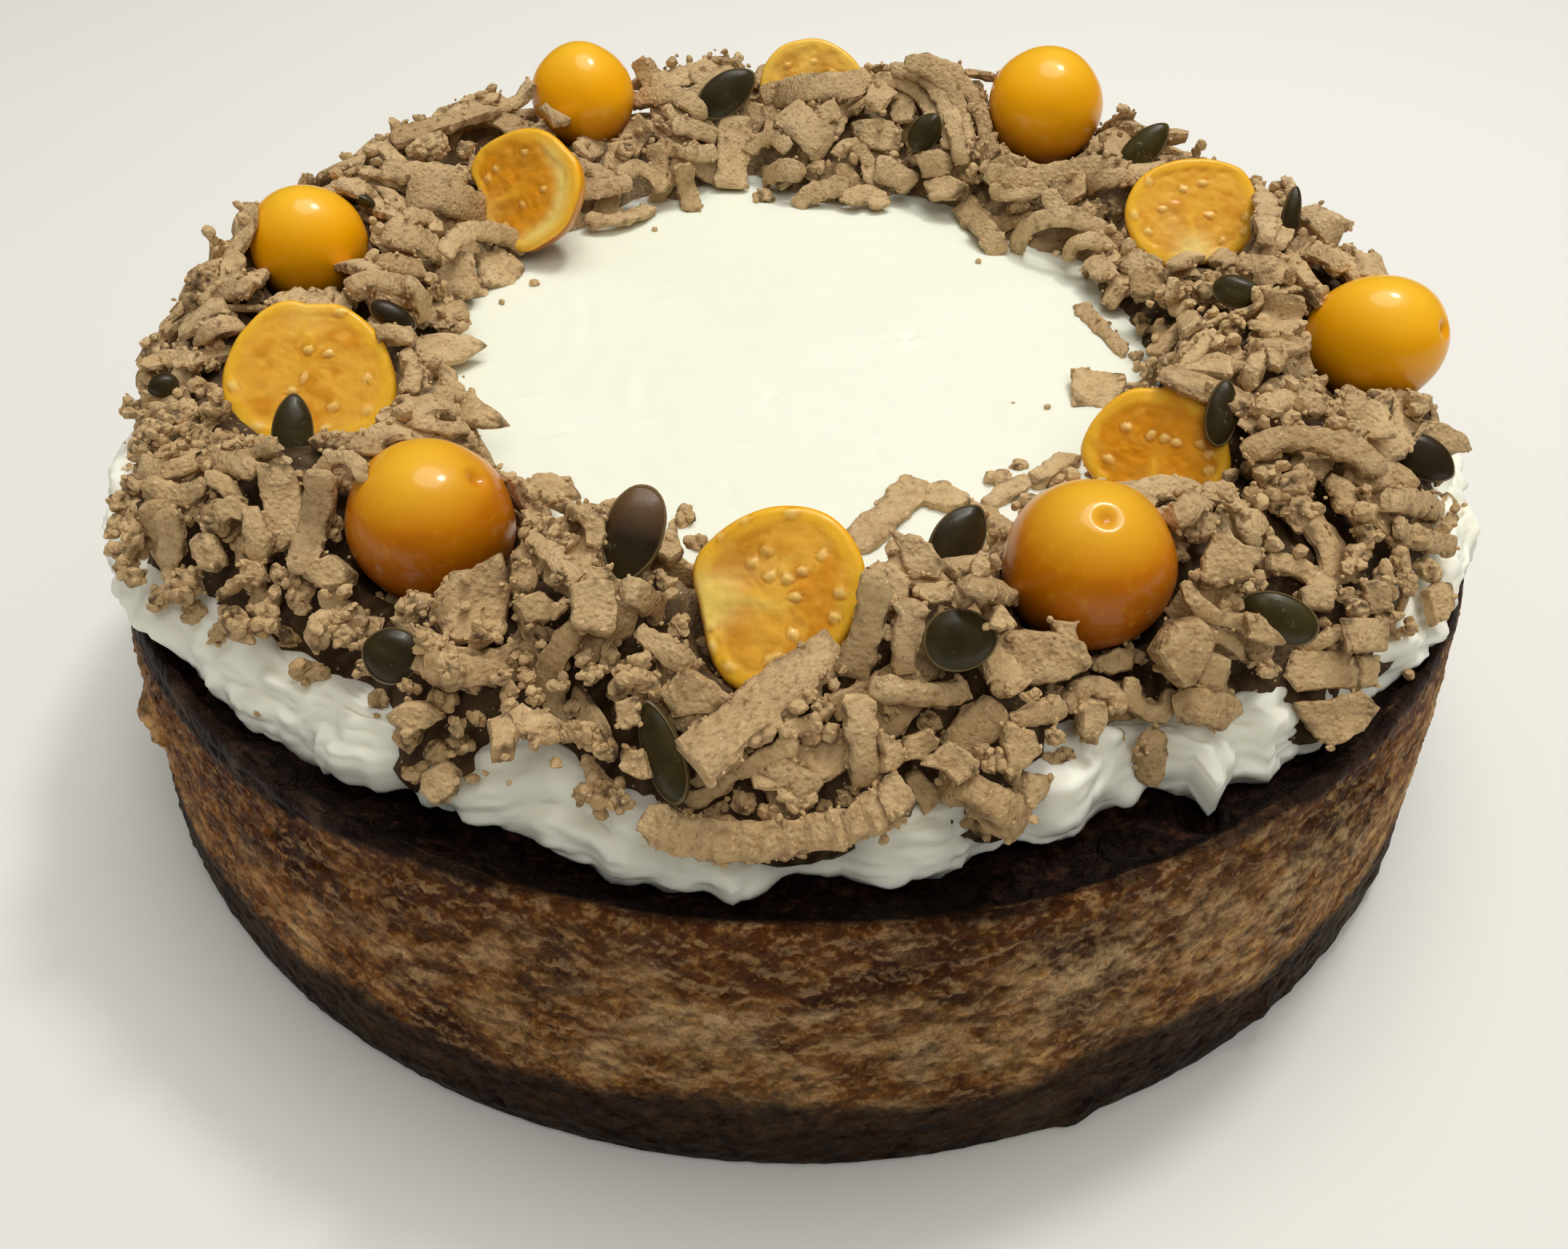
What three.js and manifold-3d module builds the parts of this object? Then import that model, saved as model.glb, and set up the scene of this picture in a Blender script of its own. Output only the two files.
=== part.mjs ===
// A whole round baked cheesecake, in millimetres, +Z up, origin at the centre
// of the underside. From below: a dark biscuit base, a tall baked filling with
// a browned skin and a thin raised rim, a spread layer of white cream, and a
// ring-shaped heap of soft grated shavings that carries six whole golden
// berries and six halved ones, set in turn round the ring.
import * as THREE from 'three';
import { mergeVertices } from 'three/addons/utils/BufferGeometryUtils.js';
import Module from 'manifold-3d';

const wasm = await Module();
wasm.setup();

// ---- driving dimensions (mm) ----
const BASE_R = 100;        // radius of the cake at the plate
const BASE_H = 11.5;       // height of the biscuit base
const RIM_R = 96.6;        // radius of the rim's ridge
const RIM_Z = 42;          // height of the ridge
const SUNK_Z = 39.4;       // the browned top lies a little lower than its rim
const SUNK_R = 91;         // where the flat browned top ends
const GAP = 0.3;           // clearance between touching pieces
const SEAT = 0.6;          // the flat seat of the heap above the cream's level
const CREAM_TOP = 48.8;    // level of the spread cream
const HEAP_IN = 54;        // mean inner radius of the shavings ring
const HEAP_OUT = 92.5;     // mean outer radius
const HEAP_Z = 64.5;       // mean height of its crest
const BERRY_D = 19.6;      // usual diameter of a berry
const FACE_CLEAR = 26;     // how far a half berry's cut face is kept clear of shavings
const COARSE = Math.cos(Math.PI / 12); // a 12-sided hollow clears the round berry
const TAU = Math.PI * 2;
const rad = (deg) => (deg * Math.PI) / 180;

// ---- small helpers ----
// repeatable uneven value in -1..1, smooth round the circle and along v
function uneven(th, v, seed) {
  return (
    0.42 * Math.sin(3 * th + seed * 1.7 + v * 0.9) +
    0.26 * Math.sin(7 * th + seed * 2.9 - v * 1.7) +
    0.2 * Math.sin(13 * th + seed * 4.3 + v * 2.6) +
    0.12 * Math.sin(23 * th + seed * 5.1 - v * 3.7)
  );
}
// repeatable jump from point to point in -1..1, for a crumbly outline
function scatter(th, v) {
  const s = Math.sin(Math.round(th * 40) * 12.9898 + Math.round(v * 30) * 78.233) * 43758.5453;
  return 2 * (s - Math.floor(s)) - 1;
}
// a rounded lobe of height 1 round the direction `at` (degrees)
function lobe(th, at, width) {
  let d = (th - rad(at)) % TAU;
  if (d > Math.PI) d -= TAU;
  if (d < -Math.PI) d += TAU;
  return Math.exp(-((d / rad(width)) ** 2));
}

// a turned body whose points are then moved by `move(r, z, angle, index)`
function turned(profile, segments, move) {
  const geo = new THREE.LatheGeometry(
    profile.map(([r, z]) => new THREE.Vector2(r, z)),
    segments
  );
  geo.rotateX(Math.PI / 2); // the lathe's axis becomes +Z
  geo.deleteAttribute('normal');
  geo.deleteAttribute('uv');
  const merged = mergeVertices(geo, 1e-3);
  const p = merged.attributes.position;
  for (let i = 0; i < p.count; i++) {
    const x = p.getX(i), y = p.getY(i), z = p.getZ(i);
    const r = Math.hypot(x, y);
    if (!move) continue;
    const th = Math.atan2(y, x);
    const [r2, z2] = move(r, z, th);
    p.setXYZ(i, r < 1e-6 ? 0 : r2 * Math.cos(th), r < 1e-6 ? 0 : r2 * Math.sin(th), z2);
  }
  return tidy(merged);
}

// drops needle triangles left by merging, keeps the winding outwards
function tidy(geo) {
  const idx = geo.index.array, out = [];
  for (let i = 0; i < idx.length; i += 3) {
    const [a, b, c] = [idx[i], idx[i + 1], idx[i + 2]];
    if (a !== b && b !== c && a !== c) out.push(a, b, c);
  }
  const p = geo.attributes.position;
  let vol = 0;
  const A = new THREE.Vector3(), B = new THREE.Vector3(), C = new THREE.Vector3();
  for (let i = 0; i < out.length; i += 3) {
    A.fromBufferAttribute(p, out[i]);
    B.fromBufferAttribute(p, out[i + 1]);
    C.fromBufferAttribute(p, out[i + 2]);
    vol += A.dot(B.cross(C));
  }
  if (vol < 0) for (let i = 0; i < out.length; i += 3) [out[i + 1], out[i + 2]] = [out[i + 2], out[i + 1]];
  geo.setIndex(out);
  return geo;
}

function toSolid(geo) {
  return new wasm.Manifold(
    new wasm.Mesh({
      numProp: 3,
      vertProperties: new Float32Array(geo.attributes.position.array),
      triVerts: new Uint32Array(geo.index.array),
    })
  );
}

function fromSolid(solid) {
  const m = solid.getMesh();
  const geo = new THREE.BufferGeometry();
  const pos = new Float32Array((m.vertProperties.length / m.numProp) * 3);
  for (let i = 0, j = 0; i < m.vertProperties.length; i += m.numProp, j += 3) {
    pos[j] = m.vertProperties[i];
    pos[j + 1] = m.vertProperties[i + 1];
    pos[j + 2] = m.vertProperties[i + 2];
  }
  geo.setAttribute('position', new THREE.BufferAttribute(pos, 3));
  geo.setIndex(new THREE.BufferAttribute(new Uint32Array(m.triVerts), 1));
  return geo;
}

// keeps only the largest body of a cut
function largest(solid) {
  const parts = solid.decompose();
  const size = (s) => {
    const b = s.boundingBox();
    return (b.max[0] - b.min[0]) * (b.max[1] - b.min[1]) * (b.max[2] - b.min[2]);
  };
  parts.sort((a, b) => size(b) - size(a));
  return parts[0];
}

// ---- biscuit base: flat underside, softly uneven side ----
function biscuitBase() {
  const profile = [
    [0, 0], [98.4, 0], [99.6, 1.2], [BASE_R, 4], [99.6, BASE_H - GAP], [0, BASE_H - GAP],
  ];
  return turned(profile, 64, (r, z, th) => {
    if (r < 98) return [r, z];
    const k = z > 1 ? 1 : 0.4;
    return [r - k * 0.45 * (1 + uneven(th, z, 1)) * (1 - lobe(th, 0, 14) - lobe(th, 90, 14) - lobe(th, 180, 14) - lobe(th, 270, 14)), z];
  });
}

// ---- baked filling: side leans in a little, thin wavy ridge, sunken top ----
function fillingProfile(grow) {
  return [
    [0, BASE_H - grow], [99.4 + grow, BASE_H - grow], [99.3 + grow, 17], [98.7 + grow, 27],
    [97.6 + grow, 36], [RIM_R + 0.7 + grow, RIM_Z - 0.9], [RIM_R - 0.2, RIM_Z + grow],
    [RIM_R - 1.8, RIM_Z - 0.6 + grow], [SUNK_R + 2, SUNK_Z + 0.7 + grow], [SUNK_R, SUNK_Z + grow],
    [0, SUNK_Z + grow],
  ];
}
function bakedFilling(grow) {
  return turned(fillingProfile(grow), 64, (r, z, th) => {
    if (r < SUNK_R + 1) return [r, z];
    const wave = uneven(th, z * 0.12, 4);
    const ridge = z > RIM_Z - 2 ? 0.55 * wave : 0;
    return [r + 0.4 * wave - 0.25, z + ridge];
  });
}

// ---- cream: spread nearly to the rim, over it in places, in soft lumps ----
function creamEdge(th) {
  return (
    89.6 +
    6.2 * lobe(th, -18, 24) + 6.6 * lobe(th, -160, 24) +
    2.8 * lobe(th, 90, 75) +
    1.9 * lobe(th, -96, 9) + 1.6 * lobe(th, -57, 5) - 1.9 * lobe(th, -88, 4) -
    1.2 * lobe(th, -117, 6) + 0.9 * uneven(th, 0, 9)
  );
}
function creamLayer(grow) {
  const profile = [
    [0, SUNK_Z + GAP], [86, SUNK_Z + GAP], [88.6, 40.2], [90, 43],
    [89.2, 45.6], [86.6, 47.6], [82, CREAM_TOP], [34, CREAM_TOP + 0.25], [0, CREAM_TOP],
  ];
  return turned(profile, 64, (r, z, th) => {
    const out = THREE.MathUtils.smoothstep(r, 60, 88);
    const r2 = r + out * (creamEdge(th) - 90) + (r > 80 ? grow : 0);
    const swirl = z > 46 && r < 50 ? 0.22 * uneven(th, r * 0.1, 3) : 0;
    const lift = z > 43 ? grow : z > 40 ? 0 : -grow;
    const lump = z > 44 && r > 84 ? 0.5 * uneven(th * 2, z, 6) : 0;
    return [r2, z + swirl + lift + lump];
  });
}

// ---- ring-shaped heap of shavings, out to its uneven outline ----
function heapInner(th) {
  return (
    HEAP_IN + 7 * lobe(th, 100, 34) + 6 * lobe(th, 138, 18) + 3 * lobe(th, 66, 14) -
    7 * lobe(th, 196, 13) - 6 * lobe(th, -22, 16) - 2 * lobe(th, 172, 8) +
    1.4 * uneven(th, 0, 2)
  );
}
function heapOuter(th) {
  return (
    HEAP_OUT - 5.2 * lobe(th, -108, 16) - 8 * lobe(th, -65, 8) - 3 * lobe(th, -90, 50) +
    3 * lobe(th, -50, 5) + 3.6 * lobe(th, -165, 22) + 2.6 * lobe(th, -10, 26) +
    1.2 * uneven(th, 0, 5)
  );
}
function shavingsRing() {
  // across the ring: 0 at the inner edge, 1 at the outer edge, height above the cream
  const across = [
    [0.0, SEAT], [0.96, SEAT], [1.0, 2.4], [0.94, 7.4], [0.8, 12.4], [0.62, 15.3],
    [0.42, 15.9], [0.24, 13.4], [0.1, 8], [0.0, 3.0],
  ];
  const rings = across.map(([t, h]) => [HEAP_IN + t * (HEAP_OUT - HEAP_IN), CREAM_TOP + h]);
  rings.push(rings[0]);
  return turned(rings, 84, (r, z, th) => {
    const t = (r - HEAP_IN) / (HEAP_OUT - HEAP_IN);
    const ri = heapInner(th), ro = heapOuter(th);
    const h = z - CREAM_TOP;
    const crest = (HEAP_Z - CREAM_TOP) / 15.7;
    const bump = h > 4 ? 1.3 * uneven(th * 2, t * 5, 7) + 1.5 * scatter(th, t) : 0;
    const side = h > 1 ? 0.8 * uneven(th * 2, h, 11) + 0.7 * scatter(th, t + 3) : 0;
    return [ri + t * (ro - ri) + side, CREAM_TOP + (h > 1 ? h * crest : h) + bump];
  });
}

// ---- berries ----
// whole berry: round, a touch flatter at the stalk end, which has a small dimple
function berry(d, stretch, grow) {
  const n = grow ? 8 : 10, r = (d / 2 + grow) / (grow ? COARSE : 1), profile = [];
  for (let i = 0; i <= n; i++) {
    const a = -Math.PI / 2 + (i / n) * Math.PI;
    const flat = 1 - 0.045 * Math.max(0, Math.sin(a)) ** 3;
    const dimple = i === n && !grow ? 0.55 : 0;
    profile.push([Math.max(0, r * Math.cos(a)), r * stretch * Math.sin(a) * flat - dimple]);
  }
  profile[0][0] = 0;
  profile[n][0] = 0;
  return turned(profile, grow ? 12 : 16, null);
}
// half berry: a flat cut face at z = 0 looking along +Z, the dome below it
function halfBerry(w, h, depth, grow) {
  const n = grow ? 4 : 5, k = grow ? COARSE : 1, deep = (depth + grow) / k;
  const profile = [[0, -deep]];
  for (let i = 1; i <= n; i++) {
    const a = -Math.PI / 2 + (i / n) * (Math.PI / 2);
    profile.push([Math.cos(a), Math.sin(a) * deep]);
  }
  if (grow) profile.push([1, grow]);
  profile.push([0, grow]);
  const geo = turned(profile, grow ? 12 : 18, null);
  geo.scale((w / 2 + grow) / k, (h / 2 + grow) / k, 1);
  return geo;
}

// the hollow that the shavings leave before a half berry's cut face
function clearing(b, q) {
  const geo = new THREE.CylinderGeometry(1.2, 0.98, FACE_CLEAR, 10);
  geo.rotateX(Math.PI / 2);
  geo.deleteAttribute('normal');
  geo.deleteAttribute('uv');
  const solid = tidy(mergeVertices(geo, 1e-4));
  solid.scale(b.w / 2, b.h / 2, 1);
  solid.translate(0, 0.4, FACE_CLEAR / 2 + GAP / 2);
  solid.applyQuaternion(q);
  solid.translate(...place(b).toArray());
  return solid;
}

// azimuth and distance from the cake's axis, height of the centre, diameter,
// stretch along the stalk, and the direction of the stalk end
const WHOLE = [
  { name: 'physalis_whole_1', az: -128.8, r: 67.4, z: 60.3, d: BERRY_D, k: 0.98, tip: [-48, 52] },
  { name: 'physalis_whole_2', az: -60.2, r: 67.9, z: 60.7, d: 19.5, k: 0.99, tip: [-78, 47] },
  { name: 'physalis_whole_3', az: -2.3, r: 83.0, z: 58.3, d: 18.4, k: 1.098, tip: [8, 6] },
  { name: 'physalis_whole_4', az: 57.8, r: 82.6, z: 62.7, d: 20.2, k: 1.05, tip: [20, 70] },
  { name: 'physalis_whole_5', az: 118.4, r: 82.4, z: 62.2, d: 18.4, k: 1.03, tip: [160, 60] },
  { name: 'physalis_whole_6', az: 164.5, r: 79.3, z: 58.0, d: 18.45, k: 0.97, tip: [120, 50] },
];
// width and height of the cut face, depth of the dome, direction of the face
const HALF = [
  { name: 'physalis_half_1', az: -91.2, r: 65.2, z: 60.4, w: 21.2, h: 22.2, depth: 9.6, face: [-103, 47] },
  { name: 'physalis_half_2', az: -34.6, r: 56.7, z: 58.0, w: 19.0, h: 15.6, depth: 9.0, face: [-116, 38] },
  { name: 'physalis_half_3', az: 28.5, r: 72.6, z: 60.4, w: 21.8, h: 19.6, depth: 9.2, face: [-98, 42] },
  { name: 'physalis_half_4', az: 89.0, r: 82.0, z: 61.0, w: 19.6, h: 18.2, depth: 8.6, face: [-93, 34] },
  { name: 'physalis_half_5', az: 139.5, r: 60.2, z: 59.4, w: 19.8, h: 19.6, depth: 8.8, face: [-118, 34] },
  { name: 'physalis_half_6', az: -164.6, r: 68.2, z: 60.4, w: 23.6, h: 22.0, depth: 9.6, face: [-80, 44] },
];
const place = (b) => new THREE.Vector3(b.r * Math.cos(rad(b.az)), b.r * Math.sin(rad(b.az)), b.z);
const toward = ([az, el]) => new THREE.Vector3(
  Math.cos(rad(el)) * Math.cos(rad(az)), Math.cos(rad(el)) * Math.sin(rad(az)), Math.sin(rad(el))
);
// turns local +Z to `dir`, keeping local +X level
function turnTo(dir) {
  const z = dir.clone().normalize();
  const x = new THREE.Vector3(-z.y, z.x, 0);
  if (x.lengthSq() < 1e-9) x.set(1, 0, 0);
  x.normalize();
  const y = new THREE.Vector3().crossVectors(z, x);
  return new THREE.Quaternion().setFromRotationMatrix(new THREE.Matrix4().makeBasis(x, y, z));
}

// ---- materials ----
const mat = (color, roughness) => new THREE.MeshStandardMaterial({ color, roughness, metalness: 0 });
const colours = {
  biscuit: () => mat(0x3a2a22, 0.9),
  filling: () => mat(0x8a6a3c, 0.75),
  cream: () => mat(0xf2f0e2, 0.45),
  shavings: () => mat(0xa98c66, 0.85),
  skin: () => mat(0xf2a116, 0.22),
  flesh: () => mat(0xf0a82a, 0.3),
};

// ---- the cake ----
const group = new THREE.Group();
group.name = 'cheesecake';
function add(name, geometry, material, position, quaternion) {
  geometry.computeVertexNormals();
  const mesh = new THREE.Mesh(geometry, material);
  mesh.name = name;
  if (position) mesh.position.copy(position);
  if (quaternion) mesh.quaternion.copy(quaternion);
  group.add(mesh);
  return mesh;
}

add('biscuit_base', biscuitBase(), colours.biscuit());
add('baked_filling', bakedFilling(0), colours.filling());

const creamSolid = largest(toSolid(creamLayer(0)).subtract(toSolid(bakedFilling(GAP))));
add('cream_layer', fromSolid(creamSolid), colours.cream());

let heap = toSolid(shavingsRing());

for (const b of WHOLE) {
  const q = turnTo(toward(b.tip));
  add(b.name, berry(b.d, b.k, 0), colours.skin(), place(b), q);
  const grown = berry(b.d, b.k, GAP);
  grown.applyQuaternion(q);
  grown.translate(...place(b).toArray());
  heap = heap.subtract(toSolid(grown));
}
for (const b of HALF) {
  const q = turnTo(toward(b.face));
  add(b.name, halfBerry(b.w, b.h, b.depth, 0), colours.flesh(), place(b), q);
  const grown = halfBerry(b.w, b.h, b.depth, GAP);
  grown.applyQuaternion(q);
  grown.translate(...place(b).toArray());
  heap = heap.subtract(toSolid(grown)).subtract(toSolid(clearing(b, q)));
}
add('shavings_ring', fromSolid(largest(heap)), colours.shavings());

export default group;
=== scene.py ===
"""Looks for a whole baked cheesecake: browned filling on a dark base, spread cream, a ring of
grated shavings with golden berries (whole and halved) and pumpkin seeds. Lengths in the mesh code
are millimetres; meshes are written in metres."""
import bpy
import math
import numpy as np
from mathutils import Matrix, Vector


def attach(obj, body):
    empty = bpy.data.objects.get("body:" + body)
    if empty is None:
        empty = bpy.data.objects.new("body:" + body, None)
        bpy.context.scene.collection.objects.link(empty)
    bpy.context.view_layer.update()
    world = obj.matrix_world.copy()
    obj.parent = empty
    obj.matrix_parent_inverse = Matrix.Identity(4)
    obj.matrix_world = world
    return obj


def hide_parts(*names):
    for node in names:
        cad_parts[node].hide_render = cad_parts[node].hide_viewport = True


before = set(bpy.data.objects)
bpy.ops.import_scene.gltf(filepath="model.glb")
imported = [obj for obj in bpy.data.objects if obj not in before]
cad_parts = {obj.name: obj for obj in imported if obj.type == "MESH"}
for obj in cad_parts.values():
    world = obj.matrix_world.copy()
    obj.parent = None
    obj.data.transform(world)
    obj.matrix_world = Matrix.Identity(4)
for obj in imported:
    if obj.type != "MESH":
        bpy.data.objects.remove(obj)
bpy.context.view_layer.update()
MM = 0.001
TAU = 2 * math.pi

# ------------------------------------------------------------------ camera of the view, in mm
CAM = np.array([0.0, -188.0513, 163.8519])
FWD = np.array([-0.00437438, 0.75276522, -0.65827456])
RGT = np.array([0.99983782, 0.01479259, 0.01027182])
UPV = np.array([-0.01746986, 0.65812287, 0.75270784])
F_PX, PX, PY = 2000.0, 1078.0, 859.0


def ray(u, v):
    d = FWD + ((u - PX) / F_PX) * RGT - ((v - PY) / F_PX) * UPV
    return d / np.linalg.norm(d)


def project(p):
    d = np.asarray(p) - CAM
    z = d @ FWD
    return PX + F_PX * (d @ RGT) / z, PY - F_PX * (d @ UPV) / z, z


# ------------------------------------------------------------------ repeatable noise
def _h(ix, iy, iz, seed):
    h = (ix.astype(np.uint64) * np.uint64(73856093)) ^ (iy.astype(np.uint64) * np.uint64(19349663)) ^ (
        iz.astype(np.uint64) * np.uint64(83492791)) ^ np.uint64((seed * 2654435761 + 12345) & 0xFFFFFFFF)
    h &= np.uint64(0xFFFFFFFF)
    h = ((h ^ (h >> np.uint64(16))) * np.uint64(0x45D9F3B)) & np.uint64(0xFFFFFFFF)
    h = ((h ^ (h >> np.uint64(16))) * np.uint64(0x45D9F3B)) & np.uint64(0xFFFFFFFF)
    h = h ^ (h >> np.uint64(16))
    return h.astype(np.float64) / 4294967295.0


def vnoise(p, seed=0):
    """smooth value noise in -1..1 at points p (N,3)"""
    p = np.asarray(p, float) + 1000.0
    i = np.floor(p).astype(np.int64)
    f = p - i
    f = f * f * f * (f * (f * 6 - 15) + 10)
    out = 0.0
    for dx in (0, 1):
        wx = f[:, 0] if dx else 1 - f[:, 0]
        for dy in (0, 1):
            wy = f[:, 1] if dy else 1 - f[:, 1]
            for dz in (0, 1):
                wz = f[:, 2] if dz else 1 - f[:, 2]
                out = out + wx * wy * wz * _h(i[:, 0] + dx, i[:, 1] + dy, i[:, 2] + dz, seed)
    return out * 2 - 1


def fbm(p, octaves=4, gain=0.5, lac=2.03, seed=0):
    p = np.asarray(p, float)
    a, s, n = 1.0, 0.0, 0.0
    for k in range(octaves):
        s = s + a * vnoise(p, seed + 17 * k)
        n += a
        a *= gain
        p = p * lac + 7.31
    return s / n * 1.5


def cells(p, seed=0, jitter=0.9):
    """distance to the nearest and second nearest scattered point, and that point's own random number"""
    p = np.asarray(p, float) + 1000.0
    i = np.floor(p).astype(np.int64)
    f1 = np.full(len(p), 9.0)
    f2 = np.full(len(p), 9.0)
    rid = np.zeros(len(p))
    for dx in (-1, 0, 1):
        for dy in (-1, 0, 1):
            for dz in (-1, 0, 1):
                cx, cy, cz = i[:, 0] + dx, i[:, 1] + dy, i[:, 2] + dz
                qx = cx + 0.5 + jitter * (_h(cx, cy, cz, seed) - 0.5)
                qy = cy + 0.5 + jitter * (_h(cx, cy, cz, seed + 1) - 0.5)
                qz = cz + 0.5 + jitter * (_h(cx, cy, cz, seed + 2) - 0.5)
                d = np.sqrt((p[:, 0] - qx) ** 2 + (p[:, 1] - qy) ** 2 + (p[:, 2] - qz) ** 2)
                near = d < f1
                f2 = np.where(near, f1, np.minimum(f2, d))
                rid = np.where(near, _h(cx, cy, cz, seed + 3), rid)
                f1 = np.where(near, d, f1)
    return f1, f2, rid


def smooth(x, a, b):
    t = np.clip((x - a) / (b - a), 0, 1)
    return t * t * (3 - 2 * t)


def wrap(a):
    return (a + math.pi) % TAU - math.pi


def lobe(th, at, width):
    return np.exp(-(wrap(th - math.radians(at)) / math.radians(width)) ** 2)


def table(th, pairs):
    """smooth closed curve through (degrees, value) pairs"""
    pairs = sorted(pairs)
    a = np.radians([p[0] for p in pairs])
    v = np.array([p[1] for p in pairs])
    a = np.concatenate([a[-2:] - TAU, a, a[:2] + TAU])
    v = np.concatenate([v[-2:], v, v[:2]])
    t = wrap(np.asarray(th, float))
    k = np.clip(np.searchsorted(a, t) - 1, 1, len(a) - 3)
    x = (t - a[k]) / (a[k + 1] - a[k])
    x = x * x * (3 - 2 * x)
    return v[k] * (1 - x) + v[k + 1] * x


def rounds(n, front=0.32):
    """n angles round the cake, closer together on the side toward the viewer"""
    t = np.linspace(0, TAU, 4001)
    c = np.cumsum(1 + front * np.cos(t + math.pi / 2) * 1.0)
    c = (c - c[0]) / (c[-1] - c[0])
    return np.interp(np.arange(n) / n, c, t)


# ------------------------------------------------------------------ meshes
def make(name, verts, faces, mats, smooth_shade=True, attrs=None, mat_index=None):
    """faces: list of integer arrays, each (N,3) or (N,4). verts in mm."""
    me = bpy.data.meshes.new(name)
    verts = np.asarray(verts, np.float64) * MM
    total = [np.full(len(f), f.shape[1]) for f in faces if len(f)]
    loops = np.concatenate([f.ravel() for f in faces if len(f)]).astype(np.int32)
    total = np.concatenate(total).astype(np.int32)
    start = np.concatenate([[0], np.cumsum(total)[:-1]]).astype(np.int32)
    me.vertices.add(len(verts))
    me.vertices.foreach_set("co", verts.astype(np.float32).ravel())
    me.loops.add(len(loops))
    me.loops.foreach_set("vertex_index", loops)
    me.polygons.add(len(total))
    me.polygons.foreach_set("loop_start", start)
    me.polygons.foreach_set("loop_total", total)
    me.polygons.foreach_set("use_smooth", np.full(len(total), smooth_shade, bool))
    if mat_index is not None:
        me.polygons.foreach_set("material_index", np.asarray(mat_index, np.int32))
    for k, val in (attrs or {}).items():
        val = np.asarray(val, np.float32)
        if val.ndim == 1:
            at = me.attributes.new(k, "FLOAT", "POINT")
            at.data.foreach_set("value", val)
        else:
            at = me.attributes.new(k, "FLOAT_COLOR", "POINT")
            if val.shape[1] == 3:
                val = np.concatenate([val, np.ones((len(val), 1), np.float32)], 1)
            at.data.foreach_set("color", val.ravel())
    me.update(calc_edges=True)
    me.validate()
    ob = bpy.data.objects.new(name, me)
    bpy.context.scene.collection.objects.link(ob)
    for m in mats:
        me.materials.append(m)
    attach(ob, "root")
    return ob


def grid_faces(n, m, wrap_n=True, offset=0, flip=False):
    """quads of an n (round) by m (along) grid, vertex index = i*m + j"""
    i = np.arange(n if wrap_n else n - 1)
    j = np.arange(m - 1)
    I, J = np.meshgrid(i, j, indexing="ij")
    I2 = (I + 1) % n
    q = np.stack([I * m + J, I2 * m + J, I2 * m + J + 1, I * m + J + 1], -1).reshape(-1, 4) + offset
    return q[:, ::-1] if flip else q


def fan(ring, centre, flip=False):
    r2 = np.roll(ring, -1)
    t = np.stack([np.full(len(ring), centre), ring, r2], -1)
    return t[:, ::-1] if flip else t


class Pile:
    """joins many small meshes into one"""

    def __init__(self):
        self.v, self.f3, self.f4, self.a = [], [], [], []
        self.n = 0

    def add(self, v, f3=None, f4=None, tint=0.0, cav=None):
        self.v.append(v)
        if f3 is not None and len(f3):
            self.f3.append(f3 + self.n)
        if f4 is not None and len(f4):
            self.f4.append(f4 + self.n)
        c = np.zeros(len(v)) if cav is None else cav
        self.a.append(np.stack([np.zeros(len(v)) + tint, c], -1))
        self.n += len(v)

    def tris(self):
        return sum(len(f) for f in self.f3) + 2 * sum(len(f) for f in self.f4)

    def build(self, name, slot, mats):
        a = np.concatenate(self.a)
        faces = []
        if self.f3:
            faces.append(np.concatenate(self.f3))
        if self.f4:
            faces.append(np.concatenate(self.f4))
        ob = make(name, np.concatenate(self.v), faces, mats, attrs={"tint": a[:, 0], "cav": a[:, 1]})
        ob.data.set_sharp_from_angle(angle=math.radians(34))
        return ob


# ------------------------------------------------------------------ materials
def srgb(r, g, b):
    def f(c):
        c /= 255.0
        return c / 12.92 if c <= 0.04045 else ((c + 0.055) / 1.055) ** 2.4
    return (f(r), f(g), f(b), 1.0)


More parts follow.
